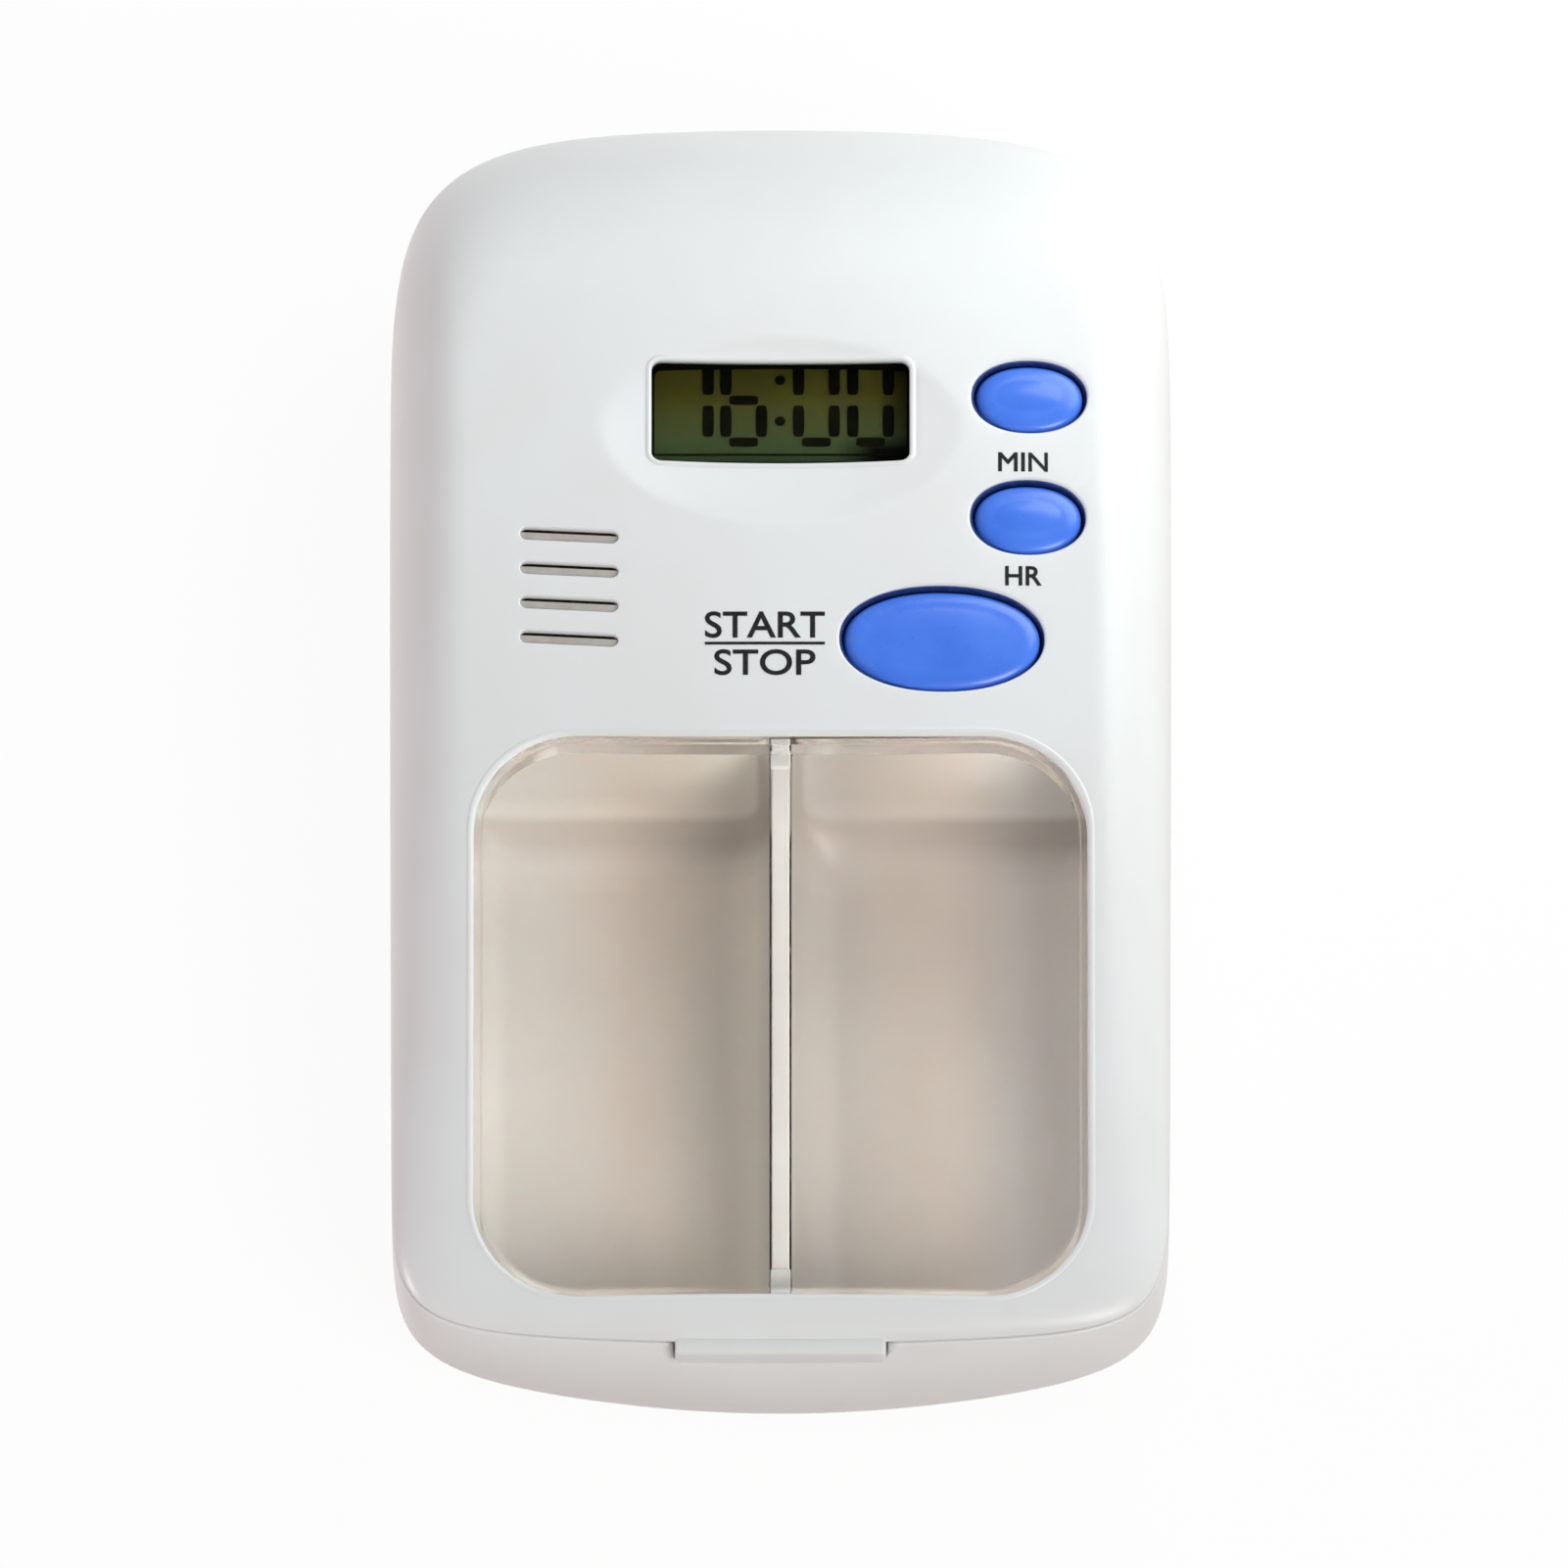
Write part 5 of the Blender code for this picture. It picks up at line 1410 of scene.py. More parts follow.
@dataclass(frozen=True)
class DisplayOpening:
    """The opening over the display."""

    centre_y: float = 0.02006
    width: float = 0.0165
    length: float = 0.0071
    radius: float = 0.0006
    bow: float = 0.00014
    softening: float = 0.00016
    lip: float = 0.00034
    undercut: float = 0.0009
    bead: float = 0.00022
    corner_turn: int = 15
    spacing: float = 0.0004

    def opening(self) -> Opening:
        """The hole in the cover, with its long edges slightly bowed.

        Returns:
            The opening.
        """
        half = self.width / 2
        low = self.centre_y - self.length / 2
        high = self.centre_y + self.length / 2
        track = cornered(half, low, high, self.radius, self.corner_turn)
        points = [point for pair in zip(track, track[1:]) for point in spaced(pair, self.spacing)[:-1]]
        bowed = [(x, y + self.bow * (1.0 - (x / half) ** 2) if y > self.centre_y else y)
                 for x, y in points + track[-1:]]
        return Opening(tuple(mirrored(bowed)), self.softening, (), self.lip, self.undercut, self.bead)


@dataclass(frozen=True)
class ButtonPlace:
    """Place and size of one push button."""

    name: str
    body: Body
    x: float
    y: float
    hole_width: float
    hole_length: float
    power: float = 2.15
    steps: int = 72
    softening: float = 0.0002

    def line(self, width: float, length: float) -> list[Point]:
        """A superellipse round the button's middle, anticlockwise.

        Args:
            width: Its half width.
            length: Its half length.

        Returns:
            Its points.
        """
        points = []
        for step in range(self.steps):
            angle = math.tau * (step + 0.5) / self.steps
            across = math.copysign(abs(math.cos(angle)) ** (2 / self.power), math.cos(angle))
            along = math.copysign(abs(math.sin(angle)) ** (2 / self.power), math.sin(angle))
            points.append((self.x + width * across, self.y + length * along))
        return points

    def opening(self) -> Opening:
        """The hole in the cover."""
        return Opening(tuple(self.line(self.hole_width / 2, self.hole_length / 2)), self.softening)


BUTTONS = (
    ButtonPlace("minute_button", Body.MINUTE_KEY, 0.0159, 0.02106, 0.0074, 0.0054),
    ButtonPlace("hour_button", Body.HOUR_KEY, 0.0158, 0.01226, 0.0074, 0.0054),
    ButtonPlace("start_stop_button", Body.START_STOP_KEY, 0.0103, 0.00356, 0.0131, 0.0075),
)


@dataclass(frozen=True)
class SoundSlots:
    """The four sloping slots over the sounder."""

    centre_x: float = -0.0135
    top_y: float = 0.01091
    pitch: float = 0.00245
    count: int = 4
    length: float = 0.0063
    thickness: float = 0.00090
    slope: float = -3.5
    softening: float = 0.00012
    throat_share: float = 0.32
    throat_length_share: float = 0.97
    shelf: float = 0.00040
    lip: float = 0.00045
    undercut: float = 0.0005
    end_steps: int = 8
    spacing: float = 0.0005
    # Depth, thickness and clearance of the grey strips that are painted shade in the slots.
    shade_strip_depth: float = 0.00022
    shade_strip_thickness: float = 0.00012
    shade_strip_gap: float = 0.00002
    least_step: float = 1e-6

    def turned(self, points: Sequence[Point], middle: float) -> tuple[Point, ...]:
        """Turn a level slot to its slope and put it in its place.

        Args:
            points: The slot's line round zero.
            middle: Its place along the box.

        Returns:
            The line in its place.
        """
        turn = math.radians(self.slope)
        return tuple((self.centre_x + x * math.cos(turn) - y * math.sin(turn),
                      middle + x * math.sin(turn) + y * math.cos(turn)) for x, y in points)

    @property
    def middles(self) -> list[float]:
        """Where each slot lies along the box."""
        return [self.top_y - self.pitch * number for number in range(self.count)]

    @property
    def level_line(self) -> list[Point]:
        """The line round one level slot, about zero.

        Returns:
            The line.
        """
        half = self.length / 2 - self.thickness / 2
        track = []
        for end, start in ((1, -90), (-1, 90)):
            for step in range(self.end_steps + 1):
                angle = math.radians(start + 180 * step / self.end_steps)
                track.append((end * half + math.cos(angle) * self.thickness / 2,
                              math.sin(angle) * self.thickness / 2))
        points = []
        for first, second in zip(track, track[1:] + track[:1]):
            points.extend(spaced((first, second), self.spacing)[:-1])
        return points

    def openings(self) -> list[Opening]:
        """The slots in the cover.

        Returns:
            One opening for each slot.
        """
        points = self.level_line
        top = self.thickness / 2
        throat = [(x * self.throat_length_share, top - (top - y) * self.throat_share) for x, y in points]
        return [Opening(self.turned(points, middle), self.softening, self.turned(throat, middle),
                        self.lip, self.undercut, shelf=self.shelf) for middle in self.middles]

    def shade_strips(self, face: HeightMap) -> Item:
        """Grey strips on the shelf in each slot, painted shade for the shadow there.

        Args:
            face: Height of the cover's face.

        Returns:
            The four strips, as one piece.
        """
        limit = self.thickness * (0.5 - self.throat_share)
        shorter, narrower = 1.0 - 2 * self.shade_strip_gap / self.length, 1.0 - self.shade_strip_gap / limit
        strip = [(x * shorter, min(y, limit) * narrower) for x, y in self.level_line]
        strip = [point for point, following in zip(strip, strip[1:] + strip[:1])
                 if math.dist(point, following) > self.least_step]
        draft = MeshDraft()
        for middle in self.middles:
            line = self.turned(strip, middle)
            draft.solid([draft.ring((x, y, face(x, y) - self.shade_strip_depth - lower) for x, y in line)
                         for lower in (self.shade_strip_thickness, 0.0)])
        return draft.piece("sounder_slot_shade")


@dataclass(frozen=True)
class Dish:
    """The oval dish sunk round the display."""

    centre_y: float = 0.01836
    half_width: float = 0.0119
    half_length: float = 0.00735
    depth: float = 0.0010
    sphere_rise: float = 0.0020
    edge_blend: float = 0.00010

    def sunk(self, x: float, y: float, height: float, ground: float) -> float:
        """The face's height with the dish pressed into it.

        Args:
            x: Place across the box.
            y: Place along the box.
            height: Height of the face there.
            ground: Height of the face at the dish's middle.

        Returns:
            The lower of the two, softly blended at the edge.
        """
        radius = self.sphere_rise + self.depth
        spread = math.sqrt(1.0 - (self.sphere_rise / radius) ** 2)
        across = x * spread / self.half_width
        along = (y - self.centre_y) * spread / self.half_length
        reach = across ** 2 + along ** 2
        if reach >= 1.0:
            return height
        floor = ground + self.sphere_rise - radius * math.sqrt(1.0 - reach)
        overlap = max(self.edge_blend - abs(height - floor), 0.0) / self.edge_blend
        return min(height, floor) - overlap ** 2 * self.edge_blend / 4

    def ring(self, share: float, spacing: float) -> list[Point]:
        """Points round the dish at a share of its size.

        Args:
            share: The share, 1 at the dish's edge.
            spacing: Distance between points.

        Returns:
            The points.
        """
        arc = unit_arc(2.0, self.half_width, self.half_length, spacing)
        half = [(self.half_width * share * x, self.centre_y - self.half_length * share * y) for x, y in arc]
        half += [(x, 2 * self.centre_y - y) for x, y in reversed(half[:-1])]
        return mirrored(half)


# The two shells


@dataclass
class FrontCover:
    """The domed cover with its dish, openings, hinge arms, latches, posts and lip."""

    form: ShellForm = ShellForm()
    window: WindowOpening = WindowOpening()
    display: DisplayOpening = DisplayOpening()
    slots: SoundSlots = SoundSlots()
    dish: Dish = Dish()
    edge_softening: float = 0.00015
    rim_steps: int = 3
    bead_shape: tuple[Point, ...] = ((1.0, 0.0), (0.7, 0.6), (0.35, 0.95))
    band_share: float = 0.34
    band_steps: int = 9
    first_band_step: int = 2
    ring_steps: int = 9
    grid: float = 0.0011
    fine_grid: float = 0.00045
    edge_steps: int = 5
    latch_thickness: float = 0.00075
    latch_length: float = 0.0070
    latch_place: float = -0.0200
    latch_span: Point = (0.0085, 0.0148)
    post_radius: float = 0.0022
    hole_radius: float = 0.00115
    post_foot: float = 0.0145
    hole_top: float = 0.0172
    screw_places: tuple[Point, ...] = ((0.0175, 0.0320), (-0.0175, 0.0320), (-0.0034, 0.0022))
    sounder_y: float = 0.0074
    sounder_radius: float = 0.0066
    sounder_wall: float = 0.0008
    sounder_foot: float = 0.0159
    arm_reach: Point = (0.0008, 0.0006)
    arm_rise: float = 0.0013
    latch_rounding: float = 0.00018
    lip_rounding: float = 0.00028
    lip_segments: int = 4
    post_facets: int = 36
    seat_facets: int = 64
    hole_facets: int = 28
    station_share: float = 0.8
    core_share: float = 0.6
    top_clear_share: float = 0.35
    under_clear_share: float = 0.6
    under_grid_share: float = 1.8
    dish_clear_share: float = 0.5
    dish_rings: tuple[float, float, float] = (1.07, 0.9, 0.018)
    dish_core: float = 0.885
    dish_reach: float = 1.10

    def openings(self) -> list[Opening]:
        """All the holes through the face.

        Returns:
            The openings.
        """
        holes = [self.window.opening(), self.display.opening()]
        holes += [button.opening() for button in BUTTONS]
        return holes + self.slots.openings()

    def face(self, x: float, y: float) -> float:
        """Height of the finished face, dish included.

        Args:
            x: Place across the box.
            y: Place along the box.

        Returns:
            The height.
        """
        dome = self.form.dome
        ground = dome.ridge(0.0, self.dish.centre_y)
        return self.dish.sunk(x, y, dome.height(x, y), ground)

    def inner_points(self, dome: Dome, openings: Sequence[Opening], grid: float, steps: int,
                     clear_of: float) -> list[Point]:
        """Plan points that carry a sheet between its border and its holes.

        Args:
            dome: The dome that the sheet follows.
            openings: The holes to stay clear of.
            grid: Distance between points.
            steps: Rings of points over the rounded part.
            clear_of: Distance to keep from the holes.

        Returns:
            The points.
        """
        fences = [opening.under_fence(clear_of) if dome.drop else opening.fence(clear_of)
                  for opening in openings]
        stations = dome.plan.stations(grid * self.station_share)
        found = []
        for step in range(1, steps + 1):
            share = self.band_share + (1.0 - self.band_share) * step / steps
            found.extend(dome.drawn_in(share).line(stations))
        core = dome.drawn_in(1.0).inset(*[grid * self.core_share] * 3)
        found += [point for point in staggered(core.half_width, core.nose_end, core.hinge_end, grid)
                  if core.holds(*point)]
        return [point for point in found if not any(fence.holds(*point) for fence in fences)]

    def dish_points(self, openings: Sequence[Opening]) -> list[Point]:
        """Finer plan points over the dish and round its edge.

        Args:
            openings: The holes to stay clear of.

        Returns:
            The points.
        """
        fences = [opening.fence(self.fine_grid * self.dish_clear_share) for opening in openings]
        found = []
        share, last, step = self.dish_rings
        while share > last:
            found.extend(self.dish.ring(share, self.fine_grid))
            share -= step
        edge = Fence(self.dish.ring(self.dish_core, self.fine_grid))
        low = self.dish.centre_y - self.dish.half_length
        found += [point for point in staggered(self.dish.half_width, low, low + 2 * self.dish.half_length,
                                               self.fine_grid) if edge.holds(*point)]
        return [point for point in found if not any(fence.holds(*point) for fence in fences)]

    def band(self, draft: MeshDraft, dome: Dome, stations: Stations, first: int) -> list[list[int]]:
        """Rings up the rounded side of a dome.

        Args:
            draft: The draft to draw in.
            dome: The dome that they follow.
            stations: Where their points sit.
            first: The step of the first ring.

        Returns:
            The rings.
        """
        rings = []
        for step in range(first, self.band_steps + 1):
            share = 1.0 - math.cos(math.acos(1.0 - self.band_share) * step / self.band_steps)
            line = dome.drawn_in(share).line(stations)
            rings.append(draft.ring((x, y, dome.height_at_share(x, y, share)) for x, y in line))
        return rings

    def hole_edge(self, draft: MeshDraft, opening: Opening, inner: Dome) -> list[list[int]]:
        """Line one opening through the wall.

        Args:
            draft: The draft to draw in.
            opening: The opening.
            inner: The inside of the cover.

        Returns:
            The rings from the face to the underside.
        """
        lift = opening.bead * opening.bead_rise
        lines = []
        if opening.bead:
            lines = [(grown(opening.line, opening.softening + opening.bead * out), -lift * up)
                     for out, up in ((opening.bead_reach, 0.0), *self.bead_shape)]
        lines += [(grown(opening.line, opening.softening * inward), opening.softening * lowered - lift)
                  for lowered, inward in quarter(self.edge_steps)]
        if opening.shelf:
            lines.append((opening.line, opening.shelf))
        if opening.undercut:
            lines += [(opening.throat or opening.line, opening.lip), (opening.under_line, opening.lip)]
        edge = [draft.ring((x, y, self.face(x, y) - depth) for x, y in line) for line, depth in lines]
        edge.append(draft.ring((x, y, inner.height(x, y)) for x, y in opening.under_line))
        draft.stack(edge)
        return edge

    def shell(self) -> Item:
        """The shell with its openings, as one closed mesh.

        Returns:
            The shell.
        """
        form = self.form
        outer = form.dome
        inner = outer.inner(form.wall)
        stations = form.plan.stations(form.spacing)
        openings = self.openings()
        draft = MeshDraft()
        rings = []
        for lift, inward in quarter(self.rim_steps):
            plan = form.plan.inset(*[self.edge_softening * inward] * 3)
            rings.append(draft.level_ring(plan.line(stations), outer.rim + self.edge_softening * lift))
        rings += self.band(draft, outer, stations, self.first_band_step)
        draft.stack(rings)
        under_rings = self.band(draft, inner, stations, 0)
        draft.stack(under_rings)
        draft.bridge(rings[0], under_rings[0])
        edges = [self.hole_edge(draft, opening, inner) for opening in openings]
        top_holes = [edge[0] for edge in edges]
        under_holes = [edge[-1] for edge in edges]
        coarse = self.inner_points(outer, openings, self.grid, self.ring_steps,
                                   self.grid * self.top_clear_share)
        keep_off = Fence(self.dish.ring(self.dish_reach, self.fine_grid))
        coarse = [point for point in coarse if not keep_off.holds(*point)]
        draft.sheet(rings[-1], top_holes, coarse + self.dish_points(openings), self.face)
        below = self.inner_points(inner, openings, self.grid * self.under_grid_share,
                                  self.ring_steps // 2, self.grid * self.under_clear_share)
        draft.sheet(under_rings[-1], under_holes, below, inner.height)
        return draft.piece("front_cover_shell")

    def attachments(self) -> list[tuple[Carving, Item]]:
        """Arms, knuckles, latches, posts, sounder seat and lip, and their bores.

        Returns:
            Carving steps.
        """
        form = self.form
        inner = form.dome.inner(form.wall)
        solid = []
        barrels = []
        for direction in (1, -1):
            near, far = (direction * reach for reach in form.arm_span)
            near, far = sorted((near, far))
            below, beyond = self.arm_reach
            solid.append(rounded_box((near, form.hinge_y - below, form.hinge_height),
                                     (far, form.hinge_y + beyond, form.cover_rim + self.arm_rise),
                                     0.0, f"arm_{direction}"))
            barrels.append(cross_rod(f"barrel_{direction}", (near, far), form.hinge_y,
                                     form.hinge_height, form.knuckle_radius))
            outer = form.plan.side(self.latch_place) - form.wall - form.clearance
            near, far = sorted((direction * (outer - self.latch_thickness), direction * outer))
            reach = self.latch_length / 2
            solid.append(rounded_box((near, self.latch_place - reach, self.latch_span[0]),
                                     (far, self.latch_place + reach, self.latch_span[1]),
                                     self.latch_rounding, f"latch_{direction}"))
        for number, (x, y) in enumerate(self.screw_places):
            solid.append(rod(f"post_{number}", disc_line(x, y, self.post_radius, self.post_facets),
                             self.post_foot, inner.ridge(x, y) + form.wall / 2))
        seat_x = self.slots.centre_x
        seat_top = inner.ridge(seat_x, self.sounder_y) + form.wall / 2
        outer_line, inner_line = (disc_line(seat_x, self.sounder_y, radius, self.seat_facets) for radius in
                                  (self.sounder_radius + self.sounder_wall, self.sounder_radius))
        draft = MeshDraft()
        rings = [draft.level_ring(outer_line, self.sounder_foot), draft.level_ring(outer_line, seat_top),
                 draft.level_ring(inner_line, seat_top), draft.level_ring(inner_line, self.sounder_foot)]
        draft.hoop(rings)
        solid.append(draft.piece("sounder_seat"))
        front = form.plan.nose_end - form.nose_bulge
        lip_top = form.cover_rim + form.lip_rise
        solid.append(rounded_box((-form.lip_width / 2, front, lip_top - form.lip_height),
                                 (form.lip_width / 2, front + form.lip_depth, lip_top),
                                 self.lip_rounding, "lip", self.lip_segments))
        holes = [rod(f"post_hole_{number}", disc_line(x, y, self.hole_radius, self.hole_facets),
                     self.post_foot - form.wall, self.hole_top)
                 for number, (x, y) in enumerate(self.screw_places)]
        holes.append(cross_rod("arm_bore", (-form.hinge_half, form.hinge_half), form.hinge_y,
                               form.hinge_height, form.bore_radius))
        return [(Carving.JOIN, gathered("cover_solids", solid)),
                (Carving.JOIN, gathered("cover_barrels", barrels)),
                (Carving.CUT, gathered("cover_holes", holes))]

    def build(self) -> None:
        """Make the cover and hang it on its body."""
        cover = self.shell()
        carve(cover, self.attachments())
        fit_out(cover, Body.COVER, SHELL_WHITE, ["front_cover"])
        # The grey strips in the sound slots are painted shade.
        fit_out(self.slots.shade_strips(self.face), Body.COVER, SLOT_SHADE_GREY)


@dataclass
class BaseShell:
    """The lower shell with its rounded belly, hinge pocket and lip recess."""

    form: ShellForm = ShellForm()
    belly_height: float = 0.0060
    side_rounding: float = 0.0065
    hinge_rounding: float = 0.0080
    bulge: float = 0.0011
    bulge_height: float = 0.0070
    nose_rounding: float = 0.0050
    belly_arch: float = 0.0044
    arch_power: float = 1.2
    belly_steps: int = 14
    waist_steps: int = 7
    edge_softening: float = 0.00015
    rim_steps: int = 3
    pocket_wall: float = 0.0012
    web_rise: float = 0.0004
    recess_rounding: float = 0.0003

    def nose_inset(self, height: float) -> float:
        """How far the nose lies inside the seam's plan line at a height.

        Args:
            height: Height above the flat back.

        Returns:
            The distance, negative where the nose bulges.
        """
        if height < self.bulge_height:
            share = 1.0 - height / self.bulge_height
            return self.nose_rounding * (1.0 - math.sqrt(max(1.0 - share ** 2, 0.0))) - self.bulge
        share = (height - self.bulge_height) / (self.form.base_rim - self.bulge_height)
        return self.bulge * (min(share, 1.0) ** 2 - 1.0)

    def outside(self, height: float) -> Plan:
        """The plan line of the outside at a height, rounder at the nose low down.

        Args:
            height: Height above the flat back.

        Returns:
            The plan.
        """
        plan = self.form.plan
        share = max(1.0 - height / self.belly_height, 0.0)
        drawn_in = 1.0 - math.sqrt(max(1.0 - share ** 2, 0.0))
        line = plan.inset(self.side_rounding * drawn_in, self.nose_inset(height),
                          self.hinge_rounding * drawn_in)
        rise = min(height / self.form.base_rim, 1.0) ** self.arch_power
        return replace(line, nose_arch=self.belly_arch + (plan.nose_arch - self.belly_arch) * rise)

    def heights(self) -> list[float]:
        """Heights of the rings from just above the flat back to just below the rim.

        Returns:
            The heights, upwards.
        """
        found = [self.belly_height * rise for rise, _ in quarter(self.belly_steps)[1:]]
        waist = self.form.base_rim - self.edge_softening - self.belly_height
        return found + [self.belly_height + waist * step / self.waist_steps
                        for step in range(1, self.waist_steps + 1)]

    def shell(self) -> Item:
        """The open shell with a softened rim.

        Returns:
            The shell.
        """
        form = self.form
        stations = form.plan.stations(form.spacing)
        draft = MeshDraft()
        rings = [draft.level_ring(self.outside(height).line(stations), height)
                 for height in [0.0] + self.heights()]
        soft = self.edge_softening
        for inward, facing in ((0.0, 1), (form.wall, -1)):
            for out, lowered in quarter(self.rim_steps)[1:][::facing]:
                drawn_in = inward + facing * soft * out
                rings.append(draft.level_ring(form.plan.inset(*[drawn_in] * 3).line(stations),
                                              form.base_rim - soft * lowered))
        scale = (self.belly_height - form.wall) / self.belly_height
        for height in reversed([0.0] + self.heights()):
            level = form.wall + height * scale if height < self.belly_height else height
            plan = self.outside(height).inset(form.wall, form.wall, form.wall)
            rings.append(draft.level_ring(plan.line(stations), level))
        draft.solid(rings)
        return draft.piece("base_shell_body")

    def envelope(self) -> Item:
        """A solid of the base's outside.

        Returns:
            The solid.
        """
        stations = self.form.plan.stations(self.form.spacing)
        draft = MeshDraft()
        draft.solid([draft.level_ring(self.outside(height).line(stations), height)
                     for height in [0.0] + self.heights() + [self.form.base_rim]])
        return draft.piece("base_envelope")

    def build(self) -> None:
        """Make the base and hang it on its body."""
        form = self.form
        shell = self.shell()
        face_y = form.hinge_y - form.knuckle_radius - form.clearance
        floor_z = form.hinge_height - form.knuckle_radius - form.clearance
        half = form.hinge_half + form.clearance
        outer = half + self.pocket_wall
        backing = rounded_box((-outer, face_y - self.pocket_wall, floor_z - self.pocket_wall),
                              (outer, form.plan.hinge_end + form.wall,
                               form.base_rim - self.edge_softening), 0.0, "backing")
        carve(backing, [(Carving.KEEP, self.envelope())])
        recess_top = form.base_rim + form.wall
        lip_front = form.plan.nose_end - form.nose_bulge
        cuts = gathered("base_cuts", [
            rounded_box((-half, face_y, floor_z), (half, form.plan.hinge_end + form.wall, recess_top), 0.0,
                        "pocket"),
            rounded_box((-form.lip_width / 2 - form.clearance / 2, lip_front - form.wall,
                         form.cover_rim + form.lip_rise - form.lip_height - form.clearance),
                        (form.lip_width / 2 + form.clearance / 2, lip_front + form.lip_depth + form.clearance,
                         recess_top), self.recess_rounding, "recess")])
        webs = []
        barrels = []
        start = form.arm_span[1] + form.clearance
        for number, (near, far) in enumerate(((-form.hinge_half, -start),
                                              (-form.middle_knuckle, form.middle_knuckle),
                                              (start, form.hinge_half))):
            webs.append(rounded_box((near, face_y - self.pocket_wall / 2,
                                     form.hinge_height - form.knuckle_radius),
                                    (far, form.hinge_y, form.hinge_height + self.web_rise), 0.0,
                                    f"web_{number}"))
            barrels.append(cross_rod(f"base_barrel_{number}", (near, far), form.hinge_y, form.hinge_height,
                                     form.knuckle_radius))
        bore = cross_rod("base_bore", (-form.hinge_half - form.clearance, form.hinge_half + form.clearance),
                         form.hinge_y, form.hinge_height, form.bore_radius)
        carve(shell, [(Carving.JOIN, backing), (Carving.CUT, cuts),
                      (Carving.JOIN, gathered("base_webs", webs)),
                      (Carving.JOIN, gathered("base_barrels", barrels)), (Carving.CUT, bore)])
        fit_out(shell, Body.BASE, SHELL_WHITE, ["base_shell"])


# The pill half


@dataclass
class WindowPane:
    """The clear pane, slightly below the face, with a flange behind the cover."""

    form: ShellForm = ShellForm()
    window: WindowOpening = WindowOpening()
    gap: float = 0.0004
    recess: float = 0.00035
    edge_radius: float = 0.00022
    edge_steps: int = 4
    flange_top: float = 0.0023
    flange_bottom: float = 0.0029
    overhang: float = 0.0010
    nose_overhang: float = 0.0004

    def build(self) -> None:
        """Make the pane and hang it on the cover."""
        dome = self.form.dome
        draft = MeshDraft()

        def ring(line: Sequence[Point], below: float) -> list[int]:
            """Add a ring that follows the middle of the face at a depth."""
            return draft.ring((x, y, dome.ridge(0.0, y) - below) for x, y in line)

        panel = mirrored(self.window.half_line(self.gap))
        flange = []
        for x, y in mirrored(self.window.half_line(0.0)):
            middle = (self.window.nose_edge + self.window.clock_edge) / 2
            outward = Vector((x / self.window.half_width, (y - middle) / (self.window.clock_edge - middle)))
            reach = self.overhang if y > middle else self.nose_overhang
            flange.append((x + math.copysign(self.overhang * min(outward.x ** 4, 1.0), x),
                           y + math.copysign(reach * min(outward.y ** 4, 1.0), outward.y)))
        rings = [ring(flange, self.flange_bottom), ring(flange, self.flange_top),
                 ring(panel, self.flange_top)]
        for inward, lowered in quarter(self.edge_steps):
            line = grown(panel, -self.edge_radius * inward)
            rings.append(ring(line, self.recess + self.edge_radius * lowered))
        draft.stack(rings)
        draft.ladder(rings[0])
        draft.ladder(rings[-1])
        fit_out(draft.piece("window_pane_clear"), Body.COVER, WINDOW_CLEAR, ["window_pane"])


